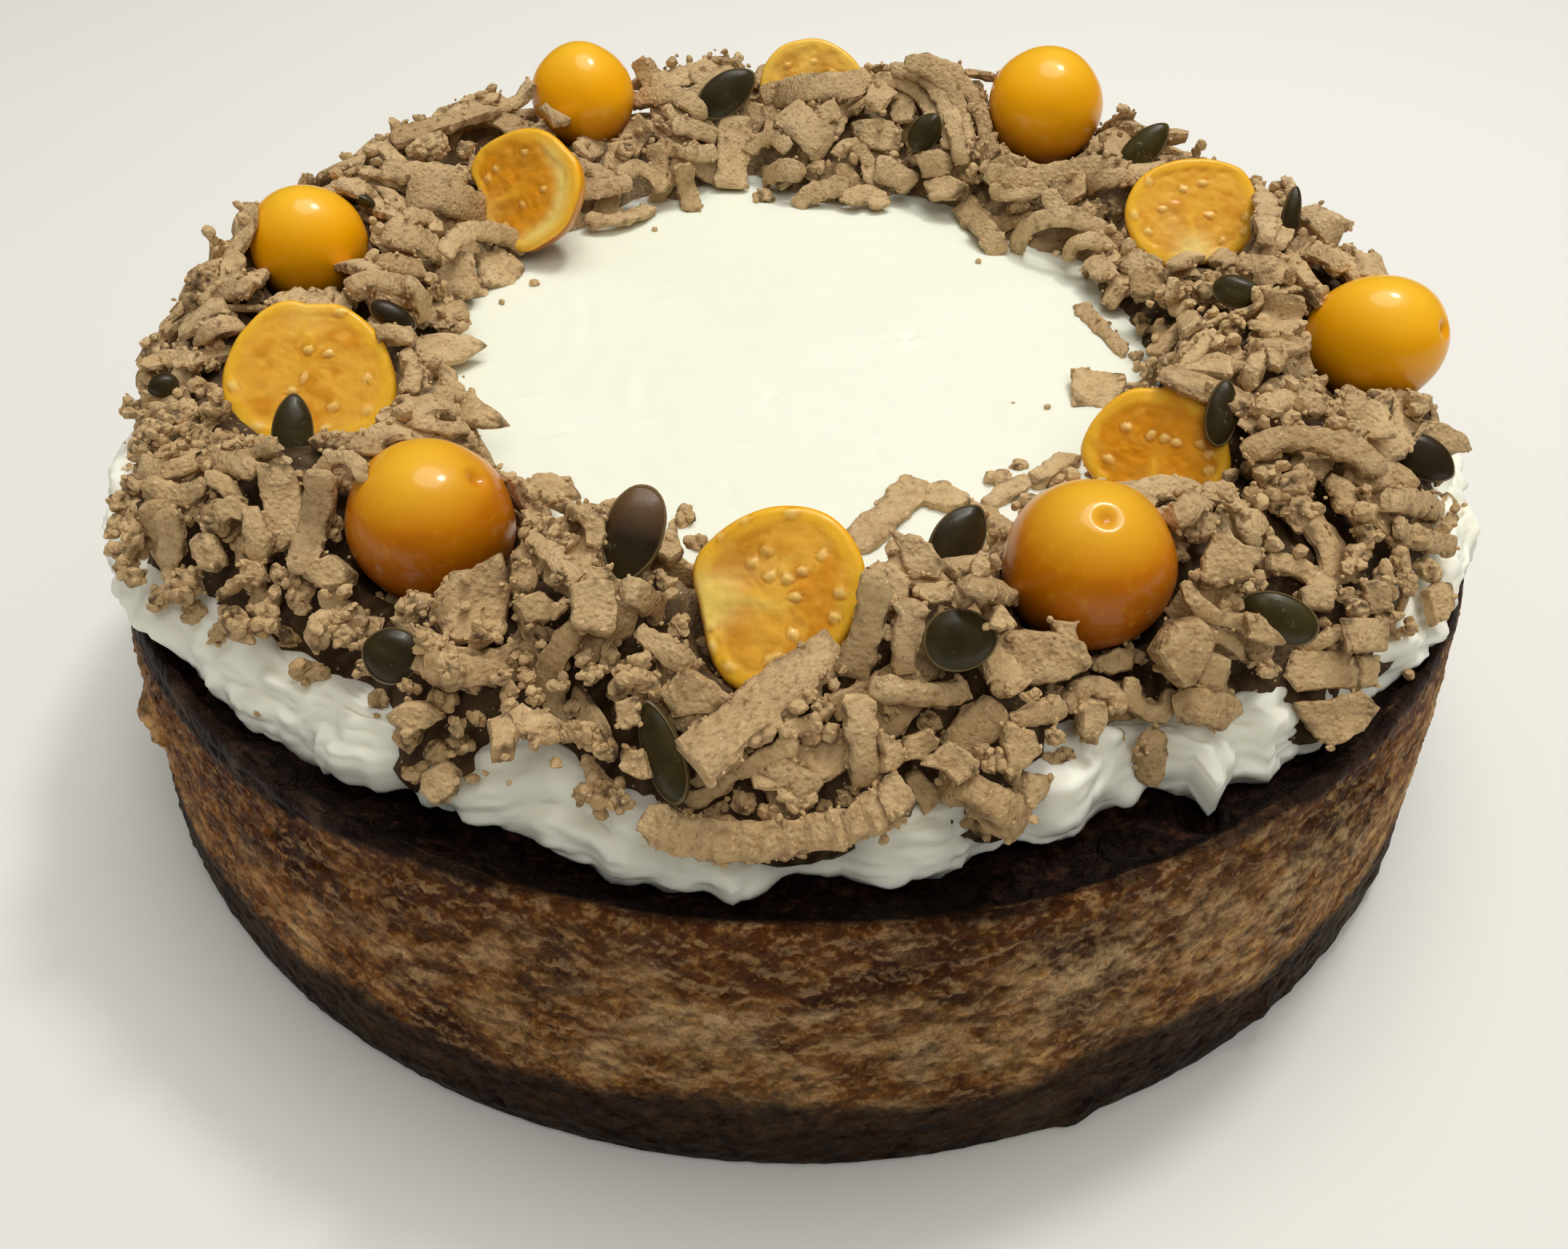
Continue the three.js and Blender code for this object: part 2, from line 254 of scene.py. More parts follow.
class Mat:
    def __init__(self, name):
        self.m = bpy.data.materials.new(name)
        self.m.use_nodes = True
        self.nt = self.m.node_tree
        self.nt.nodes.clear()
        self.out = self.nt.nodes.new("ShaderNodeOutputMaterial")
        self.b = self.nt.nodes.new("ShaderNodeBsdfPrincipled")
        self.nt.links.new(self.b.outputs[0], self.out.inputs[0])
        self.tc = self.nt.nodes.new("ShaderNodeTexCoord").outputs["Object"]

    def link(self, a, b):
        self.nt.links.new(a, b)

    def set(self, **kw):
        for k, v in kw.items():
            self.b.inputs[k.replace("_", " ")].default_value = v

    def scaled(self, s, shift=0.0, drop=0.0):
        n = self.nt.nodes.new("ShaderNodeMapping")
        n.inputs["Location"].default_value = (shift, shift * 1.7, -shift * 0.6 + drop)
        n.inputs["Scale"].default_value = s if isinstance(s, tuple) else (s, s, s)
        self.link(self.tc, n.inputs["Vector"])
        return n.outputs[0]

    def noise(self, scale, detail=3.0, rough=0.55, stretch=None, distortion=0.0, w=0.0, drop=0.0):
        n = self.nt.nodes.new("ShaderNodeTexNoise")
        n.inputs["Scale"].default_value = scale
        n.inputs["Detail"].default_value = detail
        n.inputs["Roughness"].default_value = rough
        n.inputs["Distortion"].default_value = distortion
        self.link(self.scaled(stretch or 1.0, w * 0.37, drop), n.inputs["Vector"])
        return n.outputs["Fac"]

    def voronoi(self, scale, feature="F1", stretch=None, rand=1.0, out="Distance"):
        n = self.nt.nodes.new("ShaderNodeTexVoronoi")
        n.feature = feature
        n.inputs["Scale"].default_value = scale
        n.inputs["Randomness"].default_value = rand
        self.link(self.scaled(stretch) if stretch else self.tc, n.inputs["Vector"])
        return n.outputs[out]

    def attr(self, name, out="Fac"):
        n = self.nt.nodes.new("ShaderNodeAttribute")
        n.attribute_name = name
        return n.outputs[out]

    def ramp(self, fac, stops, interp="LINEAR"):
        n = self.nt.nodes.new("ShaderNodeValToRGB")
        n.color_ramp.interpolation = interp
        e = n.color_ramp.elements
        while len(e) > 1:
            e.remove(e[-1])
        e[0].position, e[0].color = stops[0]
        for p, c in stops[1:]:
            x = e.new(p)
            x.color = c
        self.link(fac, n.inputs["Fac"])
        return n.outputs["Color"]

    def maprange(self, v, a, b, c=0.0, d=1.0, clamp=True, kind="LINEAR"):
        n = self.nt.nodes.new("ShaderNodeMapRange")
        n.interpolation_type = kind
        n.clamp = clamp
        n.inputs["From Min"].default_value = a
        n.inputs["From Max"].default_value = b
        n.inputs["To Min"].default_value = c
        n.inputs["To Max"].default_value = d
        self.link(v, n.inputs["Value"])
        return n.outputs["Result"]

    def math(self, op, a, b=None, c=None, clamp=False):
        n = self.nt.nodes.new("ShaderNodeMath")
        n.operation = op
        n.use_clamp = clamp
        for k, x in enumerate((a, b, c)):
            if x is None:
                continue
            if isinstance(x, (int, float)):
                n.inputs[k].default_value = x
            else:
                self.link(x, n.inputs[k])
        return n.outputs[0]

    def mix(self, fac, a, b, blend="MIX"):
        n = self.nt.nodes.new("ShaderNodeMix")
        n.data_type = "RGBA"
        n.blend_type = blend
        n.clamp_factor = True
        ins = [s for s in n.inputs if s.enabled or True]
        fi = n.inputs["Factor"]
        if isinstance(fac, (int, float)):
            fi.default_value = fac
        else:
            self.link(fac, fi)
        A = [s for s in n.inputs if s.name == "A" and s.type == "RGBA"][0]
        B = [s for s in n.inputs if s.name == "B" and s.type == "RGBA"][0]
        for s, x in ((A, a), (B, b)):
            if isinstance(x, tuple):
                s.default_value = x
            else:
                self.link(x, s)
        return [s for s in n.outputs if s.type == "RGBA"][0]

    def sep(self):
        n = self.nt.nodes.new("ShaderNodeSeparateXYZ")
        self.link(self.tc, n.inputs[0])
        return n.outputs

    def bump(self, height, strength=0.3, distance=0.0005, normal=None):
        n = self.nt.nodes.new("ShaderNodeBump")
        n.inputs["Strength"].default_value = strength
        n.inputs["Distance"].default_value = distance
        self.link(height, n.inputs["Height"])
        if normal is not None:
            self.link(normal, n.inputs["Normal"])
        return n.outputs[0]

    def color(self, c):
        self.link(c, self.b.inputs["Base Color"])
        return self

    def normal(self, n):
        self.link(n, self.b.inputs["Normal"])
        return self

    def rough(self, r):
        self.link(r, self.b.inputs["Roughness"])
        return self


def mat_side(name):
    """browned baked side: golden mottle, pale and dark patches, dark base band, near-black top"""
    m = Mat(name)
    x, y, z = m.sep()
    pale_a, dark_a, cav = m.attr("pale"), m.attr("dark"), m.attr("cav")
    big = m.noise(46, 3, 0.5, (1.0, 1.0, 1.1), 0.1, 1.0)
    mid = m.noise(120, 5, 0.56, (1.0, 1.0, 1.15), 0.0, 4.0)
    fine = m.noise(640, 2, 0.6, (1.0, 1.0, 0.9), 0.0, 9.0)
    t = m.math("ADD", m.math("MULTIPLY", big, 0.52), m.math("MULTIPLY", mid, 0.48))
    base = m.ramp(t, [
        (0.39, srgb(54, 27, 8)), (0.44, srgb(92, 53, 16)), (0.485, srgb(130, 83, 31)),
        (0.525, srgb(157, 113, 58)), (0.565, srgb(183, 146, 90)), (0.62, srgb(206, 178, 130))])
    # small torn flakes: pale lips as painted highlight on their raised middles, dark gaps between them as painted shade
    flake = m.voronoi(400, "F1", (1.0, 1.0, 1.25))
    base = m.mix(m.maprange(flake, 0.46, 0.80, 0, 0.50), base, srgb(48, 26, 9))
    base = m.mix(m.maprange(flake, 0.28, 0.08, 0, 0.22), base, srgb(190, 150, 84))
    # painted shade: the front of the wall darkened more than the right side, standing in for less light there
    ax = m.math("MULTIPLY", m.math("ADD", x, 0.004), 17.0)
    mid_f = m.math("POWER", 2.718, m.math("MULTIPLY", m.math("MULTIPLY", ax, ax), -1.0))
    mid_f = m.math("MULTIPLY", mid_f, m.maprange(y, 0.0, -0.05))
    base = m.mix(m.math("MULTIPLY", mid_f, 0.34), base, srgb(58, 32, 11))
    # pale filling showing through
    k = m.math("MULTIPLY", pale_a, m.maprange(m.noise(170, 4, 0.66, (1, 1, 1.0), 0.0, 21.0), 0.42, 0.54, 0.15, 1.30), None, True)
    base = m.mix(m.math("MULTIPLY", k, 0.80), base, srgb(210, 184, 138))
    # dull dark patches
    k = m.math("MULTIPLY", dark_a, m.maprange(m.noise(170, 4, 0.66, (1, 1, 1.0), 0.0, 33.0), 0.38, 0.55, 0.35, 1.2), None, True)
    base = m.mix(m.math("MULTIPLY", k, 0.84), base, srgb(62, 36, 17))
    # orange brown near the top
    zz = m.math("ADD", z, m.math("MULTIPLY", m.math("SUBTRACT", big, 0.5), 0.026))
    orange = m.maprange(zz, 0.0305, 0.0385)
    base = m.mix(m.math("MULTIPLY", orange, m.maprange(mid, 0.38, 0.62, 0.40, 0.92)), base, srgb(86, 46, 12))
    # fine speckle: dark specks as painted shade in tiny hollows, and pale specks
    base = m.mix(m.maprange(fine, 0.53, 0.68, 0, 0.50), base, srgb(54, 29, 9))
    base = m.mix(m.maprange(fine, 0.46, 0.32, 0, 0.34), base, srgb(196, 158, 92))
    # torn relief in colour: pale upper lips as painted highlight over dark undersides as painted shade
    lip = m.math("SUBTRACT", m.noise(300, 3, 0.60, (1, 1, 1.15), 0.0, 70.0), m.noise(300, 3, 0.60, (1, 1, 1.15), 0.0, 70.0, 0.0008))
    base = m.mix(m.maprange(lip, -0.012, -0.10, 0, 0.32), base, srgb(208, 182, 136))
    base = m.mix(m.maprange(lip, 0.012, 0.10, 0, 0.38), base, srgb(44, 22, 8))
    # painted shade: the wall's hollows, pits and ledge undersides (cav) darkened
    base = m.mix(m.math("MULTIPLY", cav, 0.60), base, srgb(48, 26, 9))
    # a warmer left; the right painted paler, standing in for the stronger light on that side
    base = m.mix(1.0, base, (1.10, 0.97, 0.92, 1.0), "MULTIPLY")
    base = m.mix(m.maprange(x, 0.01, 0.06), base, m.mix(1.0, base, (1.20, 1.24, 1.22, 1.0), "MULTIPLY"))
    base = m.mix(m.maprange(x, -0.02, -0.07), base, m.mix(1.0, base, (1.16, 1.05, 0.93, 1.0), "MULTIPLY"))
    # dark base band with a soft uneven upper edge
    zb = m.math("ADD", z, m.math("MULTIPLY", m.math("SUBTRACT", m.noise(46, 4, 0.6, (1, 1, 0.4), 0.4, 51.0), 0.5), 0.015))
    zb = m.math("SUBTRACT", zb, m.math("MULTIPLY", mid_f, 0.0017))
    low = m.maprange(zb, 0.0140, 0.0100, 0, 1, True, "SMOOTHSTEP")
    crumb = m.noise(420, 3, 0.7, None, 0.0, 3.0)
    band = m.ramp(crumb, [(0.30, srgb(12, 6, 4)), (0.44, srgb(29, 17, 11)), (0.58, srgb(45, 29, 20)), (0.75, srgb(78, 54, 38))])
    deep = m.maprange(zb, 0.0075, 0.0010)
    band = m.mix(m.math("MULTIPLY", deep, 0.85), band, srgb(12, 6, 4))
    base = m.mix(m.math("MULTIPLY", low, 0.93), base, band)
    # near-black browned top with a greyer rolled ridge; the ridge's grey is partly its own colour and partly painted
    # highlight
    tz = m.math("ADD", z, m.math("MULTIPLY", m.math("SUBTRACT", m.noise(80, 4, 0.6, (1, 1, 0.6), 0.4, 61.0), 0.5), 0.0040))
    tz = m.math("ADD", tz, m.maprange(x, -0.036, -0.066, 0.0, 0.0038))
    tz = m.math("ADD", tz, m.maprange(y, -0.02, 0.02, 0.0, 0.0016))
    tz = m.math("SUBTRACT", tz, m.math("MULTIPLY", mid_f, 0.0012))
    top = m.maprange(tz, 0.0403, 0.0417, 0, 1, True, "SMOOTHSTEP")
    r2 = m.math("SQRT", m.math("ADD", m.math("MULTIPLY", x, x), m.math("MULTIPLY", y, y)))
    inner = m.maprange(r2, 0.0968, 0.0945)
    dark = m.ramp(m.noise(420, 3, 0.7, None, 0.2, 13.0), [(0.35, srgb(12, 5, 3)), (0.55, srgb(26, 13, 9)), (0.72, srgb(56, 33, 21))])
    ridge = m.ramp(m.noise(190, 4, 0.6, None, 0.4, 15.0), [(0.35, srgb(26, 14, 9)), (0.55, srgb(50, 33, 24)), (0.72, srgb(86, 64, 50))])
    # the ridge's painted highlight toned down to near-black in the middle
    ridge = m.mix(m.maprange(m.math("ABSOLUTE", x), 0.060, 0.030, 0.0, 0.8), ridge, srgb(18, 9, 6))
    base = m.mix(top, base, ridge)
    base = m.mix(inner, base, dark)
    m.color(base)
    m.set(Roughness=0.60, Specular_IOR_Level=0.10, Subsurface_Weight=0.0)
    h = m.math("ADD", m.noise(330, 4, 0.68, (1, 1, 1.1), 0.0, 5.0), m.math("MULTIPLY", m.noise(1500, 1, 0.6, None, 0, 6.0), 0.35))
    h = m.math("ADD", h, m.math("MULTIPLY", m.maprange(flake, 0.75, 0.0), 0.85))
    m.normal(m.bump(h, 1.0, 0.0015))
    return m.m


def mat_cream():
    m = Mat("cream")
    n = m.noise(26, 4, 0.55, None, 0.5, 2.0)
    c = m.ramp(n, [(0.3, srgb(240, 243, 224)), (0.7, srgb(245, 248, 231))])
    # painted light: the outer lip (rim) painted whiter than the middle of the cream
    c = m.mix(m.attr("rim"), c, srgb(255, 252, 232))
    m.color(c)
    m.set(Roughness=0.45, Specular_IOR_Level=0.3, Subsurface_Weight=0.60, Subsurface_Scale=0.0015)
    m.b.inputs["Subsurface Radius"].default_value = (1.0, 0.85, 0.6)
    h = m.math("ADD", m.noise(120, 4, 0.6, None, 0.6, 3.0), m.math("MULTIPLY", m.noise(620, 3, 0.5, None, 0, 4.0), 0.12))
    m.normal(m.bump(h, 0.16, 0.0006))
    return m.m


def mat_shavings():
    m = Mat("shavings")
    tint = m.attr("tint")
    cav = m.attr("cav")
    n1 = m.noise(90, 3, 0.6, None, 0.3, 2.0)
    n2 = m.noise(900, 2, 0.65, None, 0.2, 5.0)
    base = m.ramp(n1, [(0.30, srgb(200, 168, 124)), (0.5, srgb(217, 187, 143)), (0.7, srgb(231, 203, 161))])
    _, y, _ = m.sep()
    base = m.mix(m.maprange(y, 0.04, -0.08, 0.0, 0.42), base, srgb(166, 133, 92))
    base = m.mix(m.maprange(n2, 0.52, 0.75, 0, 0.5), base, srgb(228, 204, 158))
    base = m.mix(m.maprange(n2, 0.47, 0.28, 0, 0.60), base, srgb(140, 104, 64))
    base = m.mix(m.maprange(tint, 0.5, 1.0, 0.0, 0.45), base, srgb(224, 194, 146))
    base = m.mix(m.maprange(tint, 0.5, 0.0, 0.0, 0.50), base, srgb(150, 114, 72))
    # painted shade: crevices of each piece and the core between pieces (cav) darkened
    base = m.mix(m.maprange(cav, 0.0, 0.9, 0.0, 0.96), base, srgb(48, 28, 12))
    base = m.mix(1.0, base, (0.96, 0.94, 0.88, 1.0), "MULTIPLY")
    base = m.mix(m.maprange(y, 0.0, 0.05), base, m.mix(1.0, base, (0.88, 0.88, 0.88, 1.0), "MULTIPLY"))
    spec = m.voronoi(620, "F1", None, 1.0)
    base = m.mix(m.maprange(spec, 0.13, 0.02, 0, 0.6), base, srgb(100, 70, 40))
    glint = m.voronoi(830, "F1", None, 1.0)
    base = m.mix(m.maprange(glint, 0.16, 0.04, 0, 0.75), base, srgb(236, 212, 170))
    m.color(base)
    m.set(Roughness=0.68, Specular_IOR_Level=0.20, Subsurface_Weight=0.0)
    h = m.math("ADD", m.noise(600, 4, 0.70, None, 0.1, 7.0), m.math("MULTIPLY", m.maprange(m.voronoi(1300), 0, 0.5, 1.0, 0.0), 0.35))
    m.normal(m.bump(h, 0.85, 0.0006))
    return m.m


def mat_skin():
    m = Mat("berry_skin")
    n = m.noise(120, 3, 0.5, None, 0.2, 3.0)
    c = m.ramp(n, [(0.3, srgb(202, 114, 0)), (0.5, srgb(208, 121, 0)), (0.75, srgb(216, 134, 0))])
    up = m.attr("up")
    # painted shade: the two berries in front (pale 0) keep a deeper orange with more shade below, those behind (pale 1)
    # are painted yellower
    c = m.mix(m.attr("pale"), c, srgb(255, 176, 2))
    # painted light: the upper part of each berry (up) painted yellow
    c = m.mix(m.maprange(up, 0.45, 1.0, 0.0, 0.8), c, srgb(250, 196, 50))
    pale = m.attr("pale")
    # painted shade: the underside of each berry painted dull brown orange
    low = m.math("ADD", m.math("MULTIPLY", m.maprange(up, 0.52, -0.55, 0.0, 0.95), m.math("SUBTRACT", 1.0, pale)),
                 m.math("MULTIPLY", m.maprange(up, 0.15, -0.85, 0.0, 0.80), pale))
    c = m.mix(low, c, srgb(134, 62, 2))
    f = m.noise(700, 3, 0.6, None, 0.0, 8.0)
    c = m.mix(m.maprange(f, 0.55, 0.75, 0, 0.25), c, srgb(244, 184, 40))
    scar = m.attr("scar")
    c = m.mix(scar, c, srgb(206, 122, 20))
    m.color(c)
    m.set(Roughness=0.36, Specular_IOR_Level=0.20, Subsurface_Weight=0.0)
    m.b.inputs["Coat Weight"].default_value = 0.38
    m.b.inputs["Coat Roughness"].default_value = 0.11
    m.normal(m.bump(m.noise(500, 3, 0.5, None, 0, 2.0), 0.05, 0.0002))
    return m.m


def mat_flesh():
    m = Mat("berry_flesh")
    col = m.attr("col", "Color")
    n = m.noise(620, 4, 0.6, None, 0.3, 3.0)
    c = m.mix(m.maprange(n, 0.5, 0.78, 0, 0.25), col, srgb(248, 206, 100))
    c = m.mix(m.maprange(n, 0.5, 0.25, 0, 0.16), c, srgb(196, 120, 10))
    m.color(c)
    m.set(Roughness=0.36, Specular_IOR_Level=0.35, Subsurface_Weight=0.30, Subsurface_Scale=0.002)
    m.b.inputs["Subsurface Radius"].default_value = (1.0, 0.5, 0.12)
    m.b.inputs["Coat Weight"].default_value = 0.14
    m.b.inputs["Coat Roughness"].default_value = 0.16
    m.normal(m.bump(m.math("ADD", n, m.noise(1500, 2, 0.5, None, 0, 2.0)), 0.18, 0.0003))
    return m.m


def mat_seed():
    m = Mat("seed")
    rim = m.attr("cav")
    tint = m.attr("tint")
    n = m.noise(200, 4, 0.6, None, 0.5, 3.0)
    c = m.ramp(n, [(0.3, srgb(46, 42, 16)), (0.55, srgb(66, 58, 24)), (0.8, srgb(84, 74, 36))])
    c = m.mix(m.maprange(tint, 0.0, 1.0, 0.0, 0.85), c, srgb(42, 29, 18))
    c = m.mix(m.maprange(tint, 1.0, 1.5, 0.0, 0.85), c, srgb(122, 90, 58))
    sc = m.noise(420, 5, 0.75, (1.0, 1.0, 1.0), 1.5, 9.0)
    c = m.mix(m.maprange(sc, 0.64, 0.72, 0, 0.7), c, srgb(150, 150, 130))
    c = m.mix(m.math("MULTIPLY", rim, 0.7), c, srgb(146, 122, 84))
    m.color(c)
    m.set(Roughness=0.42, Specular_IOR_Level=0.35)
    m.b.inputs["Coat Weight"].default_value = 0.10
    m.b.inputs["Coat Roughness"].default_value = 0.22
    m.normal(m.bump(m.noise(500, 4, 0.6, None, 0.4, 2.0), 0.25, 0.0003))
    return m.m


M_SIDE = mat_side("baked")
M_BASE = mat_side("baked_low")
M_CREAM = mat_cream()
M_SHAV = mat_shavings()
M_SKIN = mat_skin()
M_FLESH = mat_flesh()
M_SEED = mat_seed()

# ------------------------------------------------------------------ sizes (mm), as in the frame
RIM_R, RIM_Z = 96.6, 42.0
SUNK_Z = 39.4
CREAM_TOP = 48.8


def side_radius(z):
    return np.interp(z, [0, 1.0, 3.5, 8.2, 17, 27, 36, 41, 42], [98.9, 99.7, 100.0, 99.7, 99.2, 98.6, 97.6, 97.1, 96.5])


def side_relief(x, y, z, th):
    """outward relief of the baked wall in mm, and how deep in a hollow each point is"""
    p = np.stack([x, y, z], -1)
    d = 0.35 * fbm(p * [0.045, 0.045, 0.06], 3, seed=11)
    wv = np.stack([vnoise(p * 0.2, 5), vnoise(p * 0.2, 6), vnoise(p * 0.2, 7)], -1)
    q = p * [0.27, 0.27, 0.56] + 0.55 * wv
    f1, f2, rid = cells(q, 3)
    much = 0.35 + 0.65 * smooth(fbm(p * 0.06, 2, seed=19), -0.3, 0.35)
    # torn flakes: they stick out at their upper edge and fall away below
    scal = 0.80 * (0.5 - f1) * (0.35 + rid) * much
    f1b, f2b, ridb = cells(p * [0.72, 0.72, 1.15] + 0.4 * wv, 9)
    tiny = 0.46 * (0.5 - f1b) * (0.5 + much)
    # ledges: each cell leans out toward its top
    g1, _, _ = cells(q + [0, 0, 0.22], 3)
    scal = scal + 0.55 * (f1 - g1) * much
    pits = -0.60 * smooth(0.32 - f1b, 0, 0.2) * (ridb > 0.86)
    wall = smooth(z, 10, 14) * (1 - smooth(z, 39, 41))
    # deep: hollows, pits and ledge undersides, which the wall's colour paints darker as shade
    deep = np.clip(smooth(f1, 0.42, 0.80) * much * 0.8 + 0.8 * (pits < -0.15) + 0.25 * smooth(f1b, 0.5, 0.85)
                   + 1.6 * np.clip(g1 - f1 - 0.05, 0, 1) * much, 0, 1)
    return d * smooth(z, 0.5, 4) + wall * scal + (0.4 + 0.6 * wall) * tiny + pits * smooth(z, 2, 6) * (1 - smooth(z, 40, 41.5)), deep


# pale and dark patches of the wall as seen in the view: place, half sizes, how strong
PALE = [(970, 1412, 80, 18, 0.9), (535, 1312, 26, 14, 0.8), (575, 1345, 30, 14, 0.8), (490, 1275, 32, 20, 0.5),
        (660, 1312, 60, 22, 0.5), (700, 1270, 24, 14, 0.6), (745, 1300, 36, 28, 0.5), (870, 1322, 42, 20, 0.5), (850, 1304, 45, 8, 0.5),
        (900, 1400, 90, 16, 0.5), (690, 1392, 34, 26, 0.5), (1120, 1400, 24, 8, 0.9), (1250, 1302, 42, 12, 0.5), (1240, 1400, 60, 26, 0.35),
        (1470, 1330, 66, 34, 0.7), (1555, 1308, 60, 34, 0.7), (1335, 1420, 50, 34, 0.5), (1430, 1402, 60, 34, 0.4), (1700, 1240, 66, 44, 0.6),
        (1650, 1322, 60, 34, 0.5), (1765, 1228, 34, 44, 0.6), (1722, 1330, 30, 34, 0.5), (1545, 1400, 44, 34, 0.5), (1100, 1468, 44, 12, 0.4),
        (1855, 1150, 20, 44, 0.5), (330, 1192, 30, 40, 0.3), (430, 1258, 34, 26, 0.4), (800, 1350, 60, 14, 0.4), (1030, 1440, 60, 12, 0.4),
        (1800, 1190, 26, 44, 0.4), (820, 1440, 44, 20, 0.4),
        (1450, 1385, 100, 60, 0.50), (1640, 1280, 140, 60, 0.42), (1780, 1200, 60, 60, 0.42), (1002, 1418, 50, 14, 1.0),
        (825, 1435, 30, 18, 0.7), (640, 1310, 30, 20, 0.8), (1275, 1462, 30, 26, 0.5), (1230, 1420, 32, 12, 0.5)]
DARK = [(440, 1182, 28, 22, 0.9), (322, 1130, 14, 18, 0.8), (560, 1222, 44, 12, 0.7), (612, 1228, 20, 12, 0.5), (480, 1345, 50, 26, 0.35),
        (922, 1308, 30, 12, 0.9), (962, 1300, 24, 10, 0.7), (1142, 1308, 22, 9, 0.7), (1130, 1368, 90, 20, 0.75), (1070, 1340, 50, 12, 0.5),
        (1290, 1338, 46, 30, 0.9), (1312, 1372, 56, 22, 0.9), (1372, 1308, 36, 26, 0.8), (1482, 1388, 24, 16, 1.0), (1490, 1370, 18, 14, 0.9),
        (1242, 1440, 50, 12, 0.7), (1462, 1430, 30, 12, 0.4), (1100, 1482, 34, 10, 0.6), (940, 1452, 60, 10, 0.4), (620, 1392, 56, 26, 0.4),
        (740, 1440, 40, 14, 0.4), (1640, 1282, 30, 16, 0.35), (1862, 1100, 12, 24, 0.6), (260, 1060, 12, 30, 0.6), (700, 1235, 40, 10, 0.5),
        (395, 1165, 14, 14, 0.7), (850, 1288, 90, 8, 0.5), (1015, 1300, 26, 10, 0.5), (1215, 1330, 30, 10, 0.5), (1425, 1285, 26, 20, 0.7), (1475, 1390, 30, 26, 1.0), (1045, 1350, 46, 20, 0.7),
        (1290, 1340, 34, 52, 0.8), (960, 1470, 34, 10, 0.7), (1100, 1488, 26, 12, 0.7), (1180, 1365, 34, 16, 0.6)]


def patches(V, spots, seed):
    """0..1 mask of the listed patches, soft and uneven, on the side toward the viewer"""
    P = V + 1.6 * np.stack([vnoise(V * 0.22, seed), vnoise(V * 0.22, seed + 1), vnoise(V * 0.22, seed + 2)], -1)
    u, v, _ = project(P)
    out = np.zeros(len(V))
    for a, b, ra, rb, k in spots:
        out = np.maximum(out, k * np.exp(-(((u - a) / ra) ** 2 + ((v - b) / rb) ** 2) ** 1.3))
    out *= (V[:, 1] < 15)
    # elsewhere the same kind of patches by chance
    wild = smooth(fbm(V * [0.055, 0.055, 0.10] + seed, 3, seed=seed + 5), 0.18, 0.5) * 0.85
    return np.where(V[:, 1] < 0, out, np.maximum(out, wild * smooth(V[:, 1], -10, 25)))


def ridge_z(th):
    p = np.stack([np.cos(th) * 5, np.sin(th) * 5, th * 0], -1)
    return RIM_Z + 0.40 * fbm(p * 1.5, 4, seed=31) + 0.32 * fbm(p * 5, 3, seed=32)


def lumps(x, y, z):
    """few small crusty lumps on the wall: (azimuth, height, width, out)"""
    out = np.zeros(len(x))
    for az, zc, w, a in ((-148.6, 27.5, 2.6, 2.0), (-146.8, 25.0, 1.8, 1.2), (-52.6, 5.5, 2.4, 1.6), (-69.2, 1.8, 2.6, 1.0),
                         (-57.2, 38.2, 1.6, 1.4), (-63.5, 35.5, 1.9, 1.0), (-66.5, 33.0, 1.6, 0.8), (20, 30, 2.2, 1.4),
                         (75, 22, 2.4, 1.2), (131, 33, 2.0, 1.3), (160, 16, 2.2, 1.1), (-110.5, 34.2, 1.2, 0.5)):
        cx, cy = 98.5 * math.cos(math.radians(az)), 98.5 * math.sin(math.radians(az))
        d2 = ((x - cx) ** 2 + (y - cy) ** 2 + (z - zc) ** 2) / w ** 2
        out += a * np.exp(-d2 ** 1.5)
    return out


